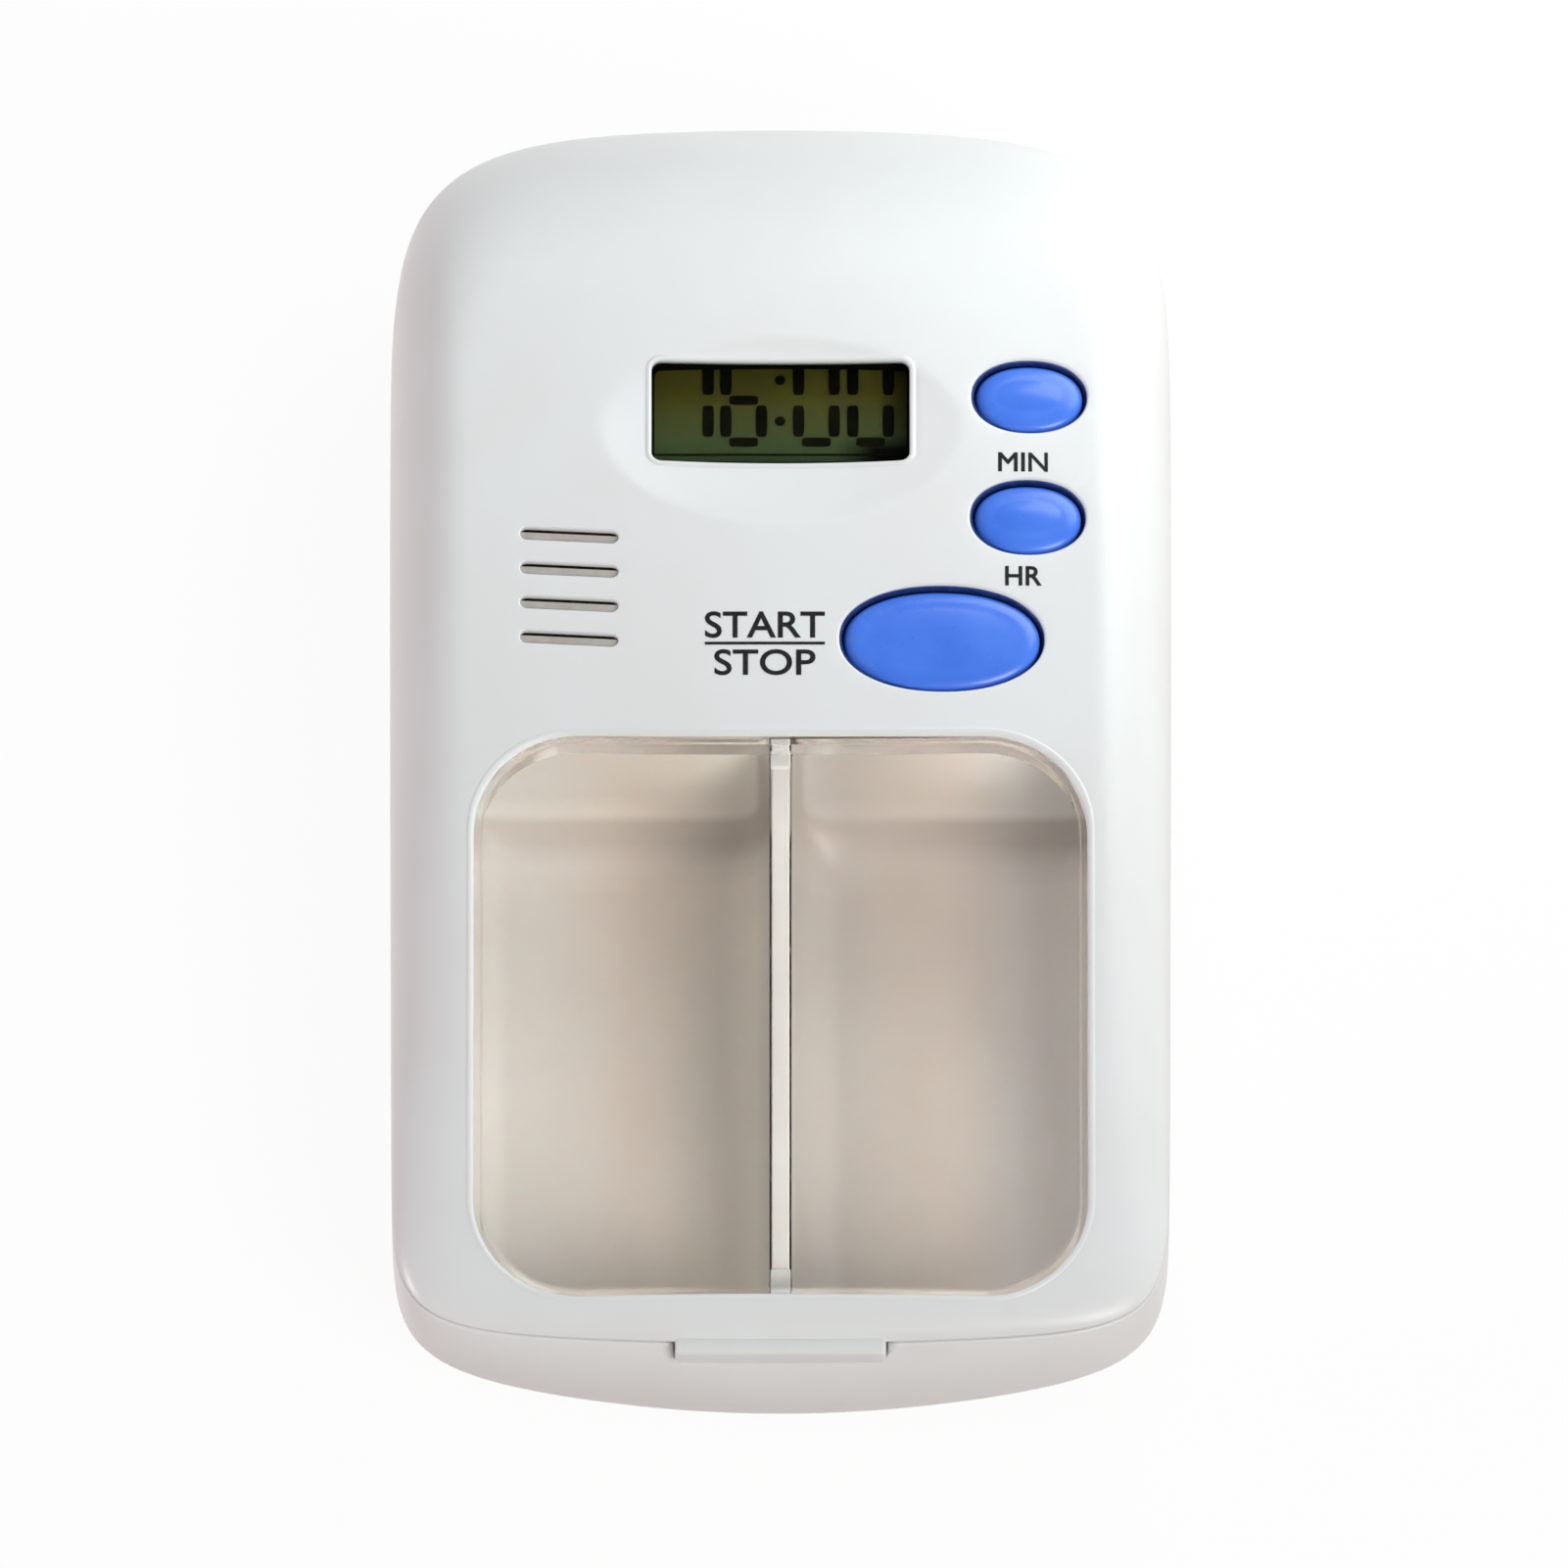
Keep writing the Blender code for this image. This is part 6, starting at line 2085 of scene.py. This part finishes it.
@dataclass
class PillTray:
    """The natural-coloured tray with two rounded troughs."""

    form: ShellForm = ShellForm()
    side_inset: float = 0.00295
    nose_inset: float = 0.0022
    clock_end: float = -0.0016
    bottom: float = 0.0019
    bottom_rounding: float = 0.0050
    nose_corner_power: float = 7.0
    clock_corner_power: float = 14.0
    floor: float = 0.0032
    wall: float = 0.0012
    nose_wall: float = 0.0012
    clock_wall: float = 0.0005
    inner_edge: float = 0.0005
    trough_power: float = 14.0
    trough_rounding: float = 0.0034
    trough_end_rounding: float = 0.0045
    trough_sink: float = 0.0045
    edge_radius: float = 0.00015
    top_offset: float = 0.00305
    slot_half: float = 0.00070
    slot_reach: float = 0.0003
    slot_floor: float = 0.0039
    steps: int = 16
    rim_steps: int = 3
    outer_rim_steps: int = 2
    spacing: float = 0.0008

    @cached_property
    def plan(self) -> Plan:
        """The plan line that the tray's sides follow."""
        return self.form.plan.inset(self.side_inset, self.nose_inset, 0.0)

    @property
    def trough_ends(self) -> Point:
        """Where the troughs begin and end along the box."""
        return self.plan.nose_end + self.nose_wall, self.clock_end - self.clock_wall

    def oval(self, arc: Sequence[Point], x: float, y: float, width: float, length: float) -> list[Point]:
        """A closed line from a unit quarter arc.

        Args:
            arc: The quarter arc.
            x: Its middle across the box.
            y: Its middle along the box.
            width: Its half width.
            length: Its half length.

        Returns:
            Its points.
        """
        half = [(width * a, -length * b) for a, b in arc]
        half += [(a, -b) for a, b in reversed(half[:-1])]
        return [(x + a, y + b) for a, b in mirrored(half)]

    def outer_line(self, drawn_in: float) -> list[Point]:
        """The outside of the tray, drawn in all round.

        Args:
            drawn_in: How far it is drawn in.

        Returns:
            The line.
        """
        nose_end = self.plan.nose_end + drawn_in
        clock_end = self.clock_end - drawn_in
        middle = (nose_end + clock_end) / 2
        half = (clock_end - nose_end) / 2
        reach = (self.clock_end - self.plan.nose_end) / 2
        nose = unit_arc(self.nose_corner_power, self.plan.half_width, reach, self.spacing)
        clock = unit_arc(self.clock_corner_power, self.plan.half_width, reach, self.spacing)
        side = [(a, middle - half * b) for a, b in nose]
        side += [(a, middle + half * b) for a, b in reversed(clock[:-1])]
        return mirrored([(a * (self.plan.side(y) - drawn_in), y) for a, y in side])

    def trough(self, direction: int) -> Item:
        """The hollow of one compartment.

        Args:
            direction: 1 for the right compartment and -1 for the left.

        Returns:
            A solid of the hollow.
        """
        low, high = self.trough_ends
        middle_y = (low + high) / 2
        length = (high - low) / 2
        outer = self.plan.side(middle_y) - self.wall
        middle_x = direction * (outer + self.inner_edge) / 2
        width = (outer - self.inner_edge) / 2
        ridge = self.form.dome.ridge
        arc = unit_arc(self.trough_power, width, length, self.spacing)
        draft = MeshDraft()
        placed = []
        for inward, sunk in reversed(quarter(self.steps)):
            top = self.oval(arc, middle_x, middle_y, width - self.trough_rounding * inward,
                            length - self.trough_end_rounding * inward)
            placed.append(draft.level_ring(top, self.floor + self.trough_sink * sunk))
        soft = self.edge_radius
        for outward, lowered in quarter(self.rim_steps):
            placed.append(draft.ring((x, y, ridge(0.0, y) - self.top_offset - soft * lowered)
                                     for x, y in grown(top, soft * outward)))
        placed.append(draft.level_ring(grown(top, soft), self.form.dome.top))
        draft.solid(placed)
        return draft.piece(f"trough_{direction}")

    def build(self) -> None:
        """Make the tray and hang it on the base."""
        ridge = self.form.dome.ridge
        draft = MeshDraft()
        rings = []
        for inward, lift in reversed(quarter(self.steps)):
            line = self.outer_line(self.bottom_rounding * inward)
            rings.append(draft.level_ring(line, self.bottom + self.bottom_rounding * lift))
        for inward, lowered in quarter(self.outer_rim_steps):
            depth = self.top_offset + self.edge_radius * lowered
            line = self.outer_line(self.edge_radius * inward)
            rings.append(draft.ring((x, y, ridge(0.0, y) - depth) for x, y in line))
        draft.stack(rings)
        draft.ladder(rings[0])
        draft.ladder(rings[-1])
        tray = draft.piece("pill_tray_body")
        low, high = self.trough_ends
        slot = rounded_box((-self.slot_half, low - self.slot_reach, self.slot_floor),
                           (self.slot_half, high + self.slot_reach, self.form.dome.top), 0.0, "slot")
        carve(tray, [(Carving.CUT, self.trough(1)), (Carving.CUT, self.trough(-1)), (Carving.CUT, slot)])
        fit_out(tray, Body.BASE, TRAY_NATURAL, ["pill_tray"])


@dataclass
class TrayDivider:
    """The white plate between the compartments, thicker at its two ends."""

    tray: PillTray = field(default_factory=PillTray)
    half: float = 0.000565
    tab_half: float = 0.00065
    tab_length: float = 0.0024
    tab_slope: float = 0.00012
    engagement: float = 0.0001
    bottom: float = 0.0042
    edge_radius: float = 0.00014
    tab_rise: float = 0.00018
    spacing: float = 0.0012
    edge_turns: tuple[int, ...] = (0, 30, 60, 90)

    def build(self) -> None:
        """Make the divider and hang it on the base."""
        low, high = self.tray.trough_ends
        low -= self.engagement
        high += self.engagement
        first = low + self.tab_length
        last = high - self.tab_length
        stations = [(y, True) for y in (low, low + self.edge_radius, first - self.tab_slope)]
        count = round((last - first) / self.spacing)
        stations += [(first + (last - first) * step / count, False) for step in range(count + 1)]
        stations += [(y, True) for y in (last + self.tab_slope, high - self.edge_radius, high)]
        ridge = self.tray.form.dome.ridge
        draft = MeshDraft()
        rings = []
        for number, (y, thick) in enumerate(stations):
            half = self.tab_half if thick else self.half
            top = ridge(0.0, y) - self.tray.top_offset + (self.tab_rise if thick else 0.0)
            if number in (0, len(stations) - 1):
                half -= self.edge_radius
                top -= self.edge_radius
            profile = [(-half, self.bottom), (half, self.bottom)]
            for side, start in ((1, 0), (-1, 90)):
                for turn in self.edge_turns:
                    angle = math.radians(start + turn)
                    profile.append((side * (half - self.edge_radius) + self.edge_radius * math.cos(angle),
                                    top - self.edge_radius + self.edge_radius * math.sin(angle)))
            rings.append(draft.ring((x, y, z) for x, z in profile))
        draft.solid(rings)
        fit_out(draft.piece("tray_divider_plate"), Body.BASE, DIVIDER_WHITE, ["tray_divider"])


# The clock half


@dataclass
class Display:
    """Lens, glass, digits, and the black border and lower line that are painted shadow."""

    form: ShellForm = ShellForm()
    lens_radius: float = 0.00012
    glass_radius: float = 0.00010
    digit_lift: float = 0.000015
    digit_thickness: float = 0.00003
    lower_bar_y: float = 0.01894
    bar_pitch: float = 0.00310
    cell_width: float = 0.00228
    stroke: float = 0.00074
    bar_stroke: float = 0.00066
    stroke_gap: float = 0.00040
    level_gap_share: float = 0.55
    bar_power: float = 7.0
    bar_end_share: float = 0.45
    bar_steps: int = 12
    first_one_x: float = -0.00463
    six_x: float = -0.00350
    first_zero_x: float = 0.00115
    second_zero_x: float = 0.00462
    colon_x: float = -0.00003
    colon_levels: tuple[float, float] = (0.02049, 0.02353)
    colon_size: float = 0.00034
    colon_facets: int = 16
    # The border on the lens is painted shadow along the opening's edge.
    shadow_border_width: float = 0.00018
    shadow_border_reach: float = 0.0009
    shadow_border_shift: float = 0.00034
    shadow_line_y: float = 0.01800
    shadow_line_half: float = 0.0080
    shadow_line_width: float = 0.00012

    def bar(self, draft: MeshDraft, start: Point, end: Point, width: float, level: float) -> None:
        """Draw one segment as a flat bar with swollen, rounded ends.

        Args:
            draft: The draft to draw in.
            start: One end of its middle line.
            end: The other end.
            width: Its width.
            level: Height of its underside.
        """
        along = Vector(end) - Vector(start)
        length = along.length
        along.normalize()
        across = Vector((-along.y, along.x))
        line = []
        for side in (1, -1):
            for step in range(self.bar_steps + 1):
                share = 0.5 - 0.5 * side * math.cos(math.pi * step / self.bar_steps)
                reach = (2 * share - 1) * length / 2
                swell = max(1.0 - abs(2 * share - 1) ** self.bar_power, 0.0) ** 0.5
                half = width / 2 * (self.bar_end_share + (1.0 - self.bar_end_share) * swell)
                place = (Vector(start) + Vector(end)) / 2 + along * reach - across * half * side
                line.append((place.x, place.y))
        draft.solid([draft.level_ring(line, level), draft.level_ring(line, level + self.digit_thickness)])

    def digit(self, draft: MeshDraft, left: float, segments: str, level: float) -> None:
        """Draw one digit.

        Args:
            draft: The draft to draw in.
            left: Middle of its left strokes.
            segments: Letters a to g for the seven segments that show.
            level: Height of its underside.
        """
        right = left + self.cell_width
        low = self.lower_bar_y
        middle = low + self.bar_pitch
        top = middle + self.bar_pitch
        gap = self.stroke_gap
        across = gap * self.level_gap_share
        lines = {
            "a": ((left + across, top), (right - across, top)),
            "b": ((right, middle + gap), (right, top - gap)),
            "c": ((right, low + gap), (right, middle - gap)),
            "d": ((left + across, low), (right - across, low)),
            "e": ((left, low + gap), (left, middle - gap)),
            "f": ((left, middle + gap), (left, top - gap)),
            "g": ((left + across, middle), (right - across, middle)),
        }
        for segment in segments:
            start, end = lines[segment]
            width = self.bar_stroke if segment in "adg" else self.stroke
            self.bar(draft, start, end, width, level)

    def border(self) -> None:
        """Lay a black border on the lens, just inside the opening, as painted shadow along the opening's
        edge.
        """
        opening = DisplayOpening().opening()
        low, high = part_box("display_lens")
        top = high.z
        margin = self.lens_radius
        outer = [(min(max(x, low.x + margin), high.x - margin), min(max(y, low.y + margin), high.y - margin))
                 for x, y in grown(opening.line, self.shadow_border_reach)]
        inner = [(x, y + self.shadow_border_shift) for x, y in grown(opening.line, -self.shadow_border_width)]
        draft = MeshDraft()
        rings = [draft.level_ring(line, top + lift) for line, lift in (
            (outer, self.digit_lift), (outer, self.digit_lift + self.digit_thickness),
            (inner, self.digit_lift + self.digit_thickness), (inner, self.digit_lift))]
        draft.hoop(rings)
        fit_out(draft.piece("display_painted_shadow_border"), Body.COVER, DIGIT_AND_SHADOW_BLACK)

    def build(self) -> None:
        """Make the display's front pieces and hang them on the cover."""
        low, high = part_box("display_lens")
        lens = rounded_box(low, high, self.lens_radius, "display_lens_clear")
        fit_out(lens, Body.COVER, LENS_CLEAR, ["display_lens"])
        low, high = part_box("display_glass")
        glass = rounded_box(low, high, self.glass_radius, "display_glass_plate")
        fit_out(glass, Body.COVER, DISPLAY_OLIVE, ["display_glass"])
        self.border()
        level = high.z + self.digit_lift
        draft = MeshDraft()
        # A black line along the glass's lower edge: painted shadow that darkens the display's bottom.
        half = self.shadow_line_half
        self.bar(draft, (-half, self.shadow_line_y), (half, self.shadow_line_y), self.shadow_line_width, level)
        self.digit(draft, self.first_one_x - self.cell_width, "bc", level)
        self.digit(draft, self.six_x, "acdefg", level)
        self.digit(draft, self.first_zero_x, "abcdef", level)
        self.digit(draft, self.second_zero_x, "abcdef", level)
        for y in self.colon_levels:
            line = disc_line(self.colon_x, y, self.colon_size, self.colon_facets)
            draft.solid([draft.level_ring(line, level), draft.level_ring(line, level + self.digit_thickness)])
        fit_out(draft.piece("display_digits_and_shadow"), Body.COVER, DIGIT_AND_SHADOW_BLACK)


@dataclass
class KeyDome:
    """The rubber dome under a button, which flattens as the button goes down."""

    place: ButtonPlace
    base_radius: float = 0.0025
    top_radius: float = 0.0016
    skirt: float = 0.0003
    side_steps: int = 6
    steps: int = 40
    keep: float = 0.44

    def build(self) -> None:
        """Make the dome, hang it on the cover and give it a mesh of its own."""
        name = self.place.name.replace("button", "dome")
        low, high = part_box(name)
        profile = [(self.base_radius, low.z), (self.base_radius, low.z + self.skirt)]
        for inward, lowered in quarter(self.side_steps)[1:]:
            profile.append((self.base_radius - (self.base_radius - self.top_radius) * inward,
                            high.z - (high.z - low.z - self.skirt) * lowered))
        draft = MeshDraft()
        rings = [draft.level_ring(disc_line(self.place.x, self.place.y, radius, self.steps), height)
                 for radius, height in profile]
        draft.stack(rings)
        draft.cap(rings[0])
        draft.fan(rings[-1], (self.place.x, self.place.y, high.z))
        dome = draft.piece(name + "_rubber", ROUND_ANGLE)
        fit_out(dome, Body.COVER, DARK_RUBBER, [name])
        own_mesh(dome)


@dataclass
class PushButton:
    """A crowned blue button with its flange and stem, and a dark navy lining in its hole that is painted
    shade for the shadowed gap round the button.
    """

    place: ButtonPlace
    form: ShellForm = ShellForm()
    edge_depth: float = 0.00062
    shoulder: float = 0.00125
    shoulder_rise: float = 0.00060
    shoulder_steps: int = 10
    crown_rise: float = 0.00020
    crown_shares: tuple[float, ...] = (0.92, 0.82, 0.70, 0.56, 0.40, 0.22)
    flange: float = 0.0007
    flange_thickness: float = 0.0007
    flange_depth: float = 0.0020
    stem_radius: float = 0.0016
    shade_lining_gap: float = 0.00002
    shade_lining_wall: float = 0.00012
    shade_lining_top: float = 0.00016
    shade_lining_bottom: float = 0.00135
    shade_lining_drop: float = 0.00050

    def shade_lining(self) -> None:
        """Line the hole with a thin navy lining that stays with the cover: painted shade that drops out of
        sight at the hole's lower right, so that it shows at the top and left.
        """
        place = self.place
        ridge = self.form.dome.ridge
        rings = []
        draft = MeshDraft()
        inner = self.shade_lining_gap + self.shade_lining_wall
        for inward, depth, drop in ((self.shade_lining_gap, self.shade_lining_bottom, 0.0),
                                    (self.shade_lining_gap, self.shade_lining_top, self.shade_lining_drop),
                                    (inner, self.shade_lining_top, self.shade_lining_drop),
                                    (inner, self.shade_lining_bottom, 0.0)):
            width, length = place.hole_width / 2 - inward, place.hole_length / 2 - inward
            rings.append(draft.ring(
                (x, y, ridge(x, y) - depth - drop * max((x - place.x) / width - (y - place.y) / length, 0.0))
                for x, y in place.line(width, length)))
        draft.hoop(rings)
        fit_out(draft.piece(place.name + "_collar"), Body.COVER, SHADE_LINING_NAVY)

    def build(self) -> None:
        """Make the button and hang it on its body."""
        self.shade_lining()
        place = self.place
        ridge = self.form.dome.ridge
        width = place.hole_width / 2 - self.form.clearance
        length = place.hole_length / 2 - self.form.clearance
        draft = MeshDraft()
        level = ridge(place.x, place.y) - self.flange_depth
        wide = place.line(width + self.flange, length + self.flange)
        plain = place.line(width, length)
        stem = place.line(self.stem_radius, self.stem_radius)
        stem_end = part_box(place.name)[0].z
        rings = [draft.level_ring(stem, stem_end),
                 draft.level_ring(stem, level - self.flange_thickness),
                 draft.level_ring(wide, level - self.flange_thickness),
                 draft.level_ring(wide, level), draft.level_ring(plain, level),
                 draft.ring((x, y, ridge(x, y) - self.edge_depth) for x, y in plain)]
        top = self.shoulder_rise - self.edge_depth
        lines = []
        for inward, lowered in quarter(self.shoulder_steps)[1:]:
            line = place.line(width - self.shoulder * inward, length - self.shoulder * inward)
            lines.append((line, top - self.shoulder_rise * lowered))
        for share in self.crown_shares:
            line = place.line((width - self.shoulder) * share, (length - self.shoulder) * share)
            lines.append((line, top + self.crown_rise * (1.0 - share ** 2)))
        rings += [draft.ring((x, y, ridge(x, y) + lift) for x, y in line) for line, lift in lines]
        draft.stack(rings)
        draft.cap(rings[0])
        draft.fan(rings[-1], (place.x, place.y, ridge(place.x, place.y) + top + self.crown_rise))
        cap = draft.piece(place.name + "_cap", ROUND_ANGLE)
        fit_out(cap, place.body, BUTTON_BLUE, [place.name])


@dataclass
class Legends:
    """The plain words printed beside the buttons."""

    form: ShellForm = ShellForm()
    words: tuple[tuple[str, float, float, float, float], ...] = (
        ("MIN", 0.0155, 0.01551, 0.00132, 0.00312),
        ("HR", 0.0155, 0.00731, 0.00132, 0.00226),
        ("START", -0.0010, 0.00351, 0.00182, 0.0076),
        ("STOP", -0.0010, 0.00088, 0.00176, 0.0064),
    )
    letter_steps: int = 6
    weld: float = 0.00001
    line_steps: int = 8
    line_x: float = -0.0010
    line_y: float = 0.00311
    line_half: float = 0.00383
    line_width: float = 0.00019
    weight: float = 0.000030
    lift: float = 0.00001
    thickness: float = 0.000025

    def embolden(self, plan: bmesh.types.BMesh) -> None:
        """Move the ink's border outwards, so that the strokes get thicker.

        Args:
            plan: The ink's flat faces.
        """
        moves = {}
        for vert in plan.verts:
            turns = []
            for edge in vert.link_edges:
                if len(edge.link_faces) == 1:
                    along = (edge.verts[1].co - edge.verts[0].co).normalized()
                    across = Vector((along.y, -along.x, 0.0))
                    middle = (edge.verts[0].co + edge.verts[1].co) / 2
                    if (edge.link_faces[0].calc_center_median() - middle).dot(across) > 0.0:
                        across.negate()
                    turns.append(across)
            if len(turns) == 2:
                total = turns[0] + turns[1]
                moves[vert] = total * self.weight / max(1.0 + turns[0].dot(turns[1]), LEAST_TURN)
        for vert, move in moves.items():
            vert.co += move

    def press_on(self, plan: bmesh.types.BMesh, name: str) -> None:
        """Press flat ink on the face and hang it on the cover.

        Args:
            plan: The ink's flat faces.
            name: The piece's name.
        """
        face = self.form.dome.ridge
        draft = MeshDraft()
        numbers = {}
        for vert in plan.verts:
            x, y, _ = vert.co
            numbers[vert] = draft.ring([(x, y, face(x, y) - self.lift),
                                        (x, y, face(x, y) + self.thickness)])
        for surface in plan.faces:
            draft.faces.append(tuple(numbers[vert][0] for vert in surface.verts))
            draft.faces.append(tuple(numbers[vert][1] for vert in reversed(surface.verts)))
        for edge in plan.edges:
            if len(edge.link_faces) == 1:
                first, second = (numbers[vert] for vert in edge.verts)
                draft.faces.append((first[0], second[0], second[1], first[1]))
        plan.free()
        fit_out(draft.piece(name), Body.COVER, PRINT_BLACK)

    def build(self) -> None:
        """Print the words and the line between the two long ones."""
        for word, x, y, height, width in self.words:
            curve = bpy.data.curves.new("letters", "FONT")
            curve.body = word
            curve.resolution_u = self.letter_steps
            letters = bpy.data.objects.new("letters", curve)
            bpy.context.scene.collection.objects.link(letters)
            mesh = worked_mesh(letters)
            bpy.data.objects.remove(letters)
            plan = bmesh.new()
            plan.from_mesh(mesh)
            bmesh.ops.remove_doubles(plan, verts=plan.verts, dist=self.weld)
            low_x = min(vert.co.x for vert in plan.verts)
            high_x = max(vert.co.x for vert in plan.verts)
            low_y = min(vert.co.y for vert in plan.verts)
            high_y = max(vert.co.y for vert in plan.verts)
            for vert in plan.verts:
                vert.co.x = x + width * ((vert.co.x - low_x) / (high_x - low_x) - 0.5)
                vert.co.y = y + height * (vert.co.y - low_y) / (high_y - low_y)
                vert.co.z = 0.0
            self.embolden(plan)
            self.press_on(plan, "legend_" + word.lower())
        plan = bmesh.new()
        rows = []
        for step in range(self.line_steps + 1):
            x = self.line_x + self.line_half * (2 * step / self.line_steps - 1)
            rows.append([plan.verts.new((x, self.line_y + side * self.line_width / 2, 0.0))
                         for side in (-1, 1)])
        for near, far in zip(rows, rows[1:]):
            plan.faces.new((near[0], far[0], far[1], near[1]))
        self.press_on(plan, "legend_line")


@dataclass(frozen=True)
class CarriedNodes:
    """The frame's own nodes that stay in view, each with its finish."""

    finishes: tuple[tuple[Finish, tuple[str, ...]], ...] = (
        (BRIGHT_STEEL, ("hinge_pin", "timing_crystal", "capacitor", "button_cell_1", "button_cell_2",
                        "battery_contact_1", "battery_contact_2", "module_screw_1", "module_screw_2",
                        "module_screw_3", "battery_link", "battery_door_screw")),
        (SILVER_FOIL, ("display_reflector",)),
        (DARK_RUBBER, ("contact_strip_upper", "contact_strip_lower")),
        (BOARD_GREEN, ("circuit_board",)),
        (BLACK_EPOXY, ("controller_chip",)),
        (PALE_CERAMIC, ("resistor_1", "resistor_2", "resistor_3", "sounder_disc")),
        (BRASS_SHEET, ("sounder_plate",)),
        (RED_WIRE, ("sounder_lead_1", "sounder_lead_2")),
        (INNER_WHITE, ("module_cover", "battery_door")),
    )

    def dress(self) -> None:
        """Give each node its finish."""
        for finish, names in self.finishes:
            for name in names:
                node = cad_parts[name]
                node.data.materials.clear()
                node.data.materials.append(finish.material())
                log.info("dressed %s", name)


# Studio


@dataclass
class Studio:
    """Floor, light and camera."""

    target: tuple[float, float, float] = (0.00022, -0.00495, 0.015)
    elevation: float = 60.0
    distance: float = 4.0
    frame_width: float = 0.10006
    sensor: float = 36.0
    floor_half: float = 3.0
    floor_level: float = -0.00005
    floor_colour: Colour = (0.86, 0.86, 0.86)
    bounce_colour: Colour = (0.46, 0.34, 0.28)
    floor_roughness: float = 0.9
    floor_shine: float = 0.1
    glow_share: float = 0.94
    glow_strength: float = 1.0
    glow_colour: Colour = (1.0, 1.0, 1.0)
    world_colour: Colour = (1.0, 0.985, 0.975)
    world_strength: float = 0.25
    key_place: tuple[float, float, float] = (0.080, 0.105, 0.090)
    key_size: float = 0.13
    key_power: float = 0.186
    key_colour: Colour = (0.95, 1.0, 1.0)
    front_place: tuple[float, float, float] = (0.40, -0.58, 0.52)
    front_size: float = 0.4
    front_power: float = 4.45
    front_colour: Colour = (1.0, 0.99, 0.98)
    side_place: tuple[float, float, float] = (-0.74, -0.06, 0.13)
    side_size: float = 0.2
    side_power: float = 2.3
    side_colour: Colour = (1.0, 0.88, 0.92)

    def floor(self) -> None:
        """Lay a plain floor that looks white and keeps the shadow."""
        half, level = self.floor_half, self.floor_level
        draft = MeshDraft()
        draft.faces.append(tuple(draft.ring([(-half, -half, level), (half, -half, level),
                                             (half, half, level), (-half, half, level)])))
        floor = draft.piece("studio_floor")
        if floor.data.polygons[0].normal.z < 0.0:
            floor.data.flip_normals()
        sheet = NodeSheet("studio_floor")
        rays = sheet.add("ShaderNodeLightPath")
        seen = rays.outputs["Is Camera Ray"]
        inputs = sheet.shader.inputs
        sheet.link(sheet.blend(seen, self.bounce_colour, self.floor_colour), inputs["Base Color"])
        inputs["Roughness"].default_value = self.floor_roughness
        inputs["Specular IOR Level"].default_value = self.floor_shine
        for name in ("Is Glossy Ray", "Is Transmission Ray"):
            seen = sheet.joined("MAXIMUM", seen, rays.outputs[name])
        glow = sheet.add("ShaderNodeEmission")
        glow.inputs["Color"].default_value = (*self.glow_colour, 1.0)
        glow.inputs["Strength"].default_value = self.glow_strength
        sheet.lay_over(sheet.remap(seen, WHOLE, (0.0, self.glow_share)), glow.outputs[0])
        floor.data.materials.append(sheet.material)

    def lamp(self, name: str, place: Sequence[float], size: float, power: float, colour: Colour) -> None:
        """Hang a square soft lamp that faces the box.

        Args:
            name: The lamp's name.
            place: Where it hangs.
            size: Its width.
            power: Its power in watts.
            colour: Its colour.
        """
        light = bpy.data.lights.new(name, "AREA")
        light.shape = "SQUARE"
        light.size = size
        light.energy = power
        light.color = colour
        lamp = bpy.data.objects.new(name, light)
        lamp.location = place
        lamp.rotation_euler = (-Vector(place)).to_track_quat("-Z", "Y").to_euler()
        bpy.context.scene.collection.objects.link(lamp)

    def world(self) -> None:
        """Fill the room with even white light."""
        world = bpy.data.worlds.new("studio_world")
        world.use_nodes = True
        background = world.node_tree.nodes["Background"]
        background.inputs["Color"].default_value = (*self.world_colour, 1.0)
        background.inputs["Strength"].default_value = self.world_strength
        bpy.context.scene.world = world

    def camera(self) -> None:
        """Set the camera at the photograph's angle."""
        lens = bpy.data.cameras.new("studio_camera")
        lens.sensor_width = self.sensor
        lens.lens = self.sensor * self.distance / self.frame_width
        camera = bpy.data.objects.new("studio_camera", lens)
        angle = math.radians(self.elevation)
        back = Vector((0.0, -math.cos(angle), math.sin(angle)))
        camera.location = Vector(self.target) + back * self.distance
        camera.rotation_euler = (-back).to_track_quat("-Z", "Y").to_euler()
        bpy.context.scene.collection.objects.link(camera)
        bpy.context.scene.camera = camera

    def build(self) -> None:
        """Set up the whole studio."""
        self.camera()
        self.floor()
        self.world()
        self.lamp("key_lamp", self.key_place, self.key_size, self.key_power, self.key_colour)
        self.lamp("front_lamp", self.front_place, self.front_size, self.front_power, self.front_colour)
        self.lamp("side_lamp", self.side_place, self.side_size, self.side_power, self.side_colour)
        bpy.context.scene.view_settings.view_transform = "Standard"


def main() -> None:
    """Build the studio and every piece of the box, in order."""
    logging.basicConfig(level=logging.INFO, format="%(name)s: %(message)s")
    Studio().build()
    BaseShell().build()
    PillTray().build()
    TrayDivider().build()
    FrontCover().build()
    WindowPane().build()
    Display().build()
    for place in BUTTONS:
        PushButton(place).build()
        KeyDome(place).build()
    Legends().build()
    CarriedNodes().dress()


if __name__ == "__main__":
    main()
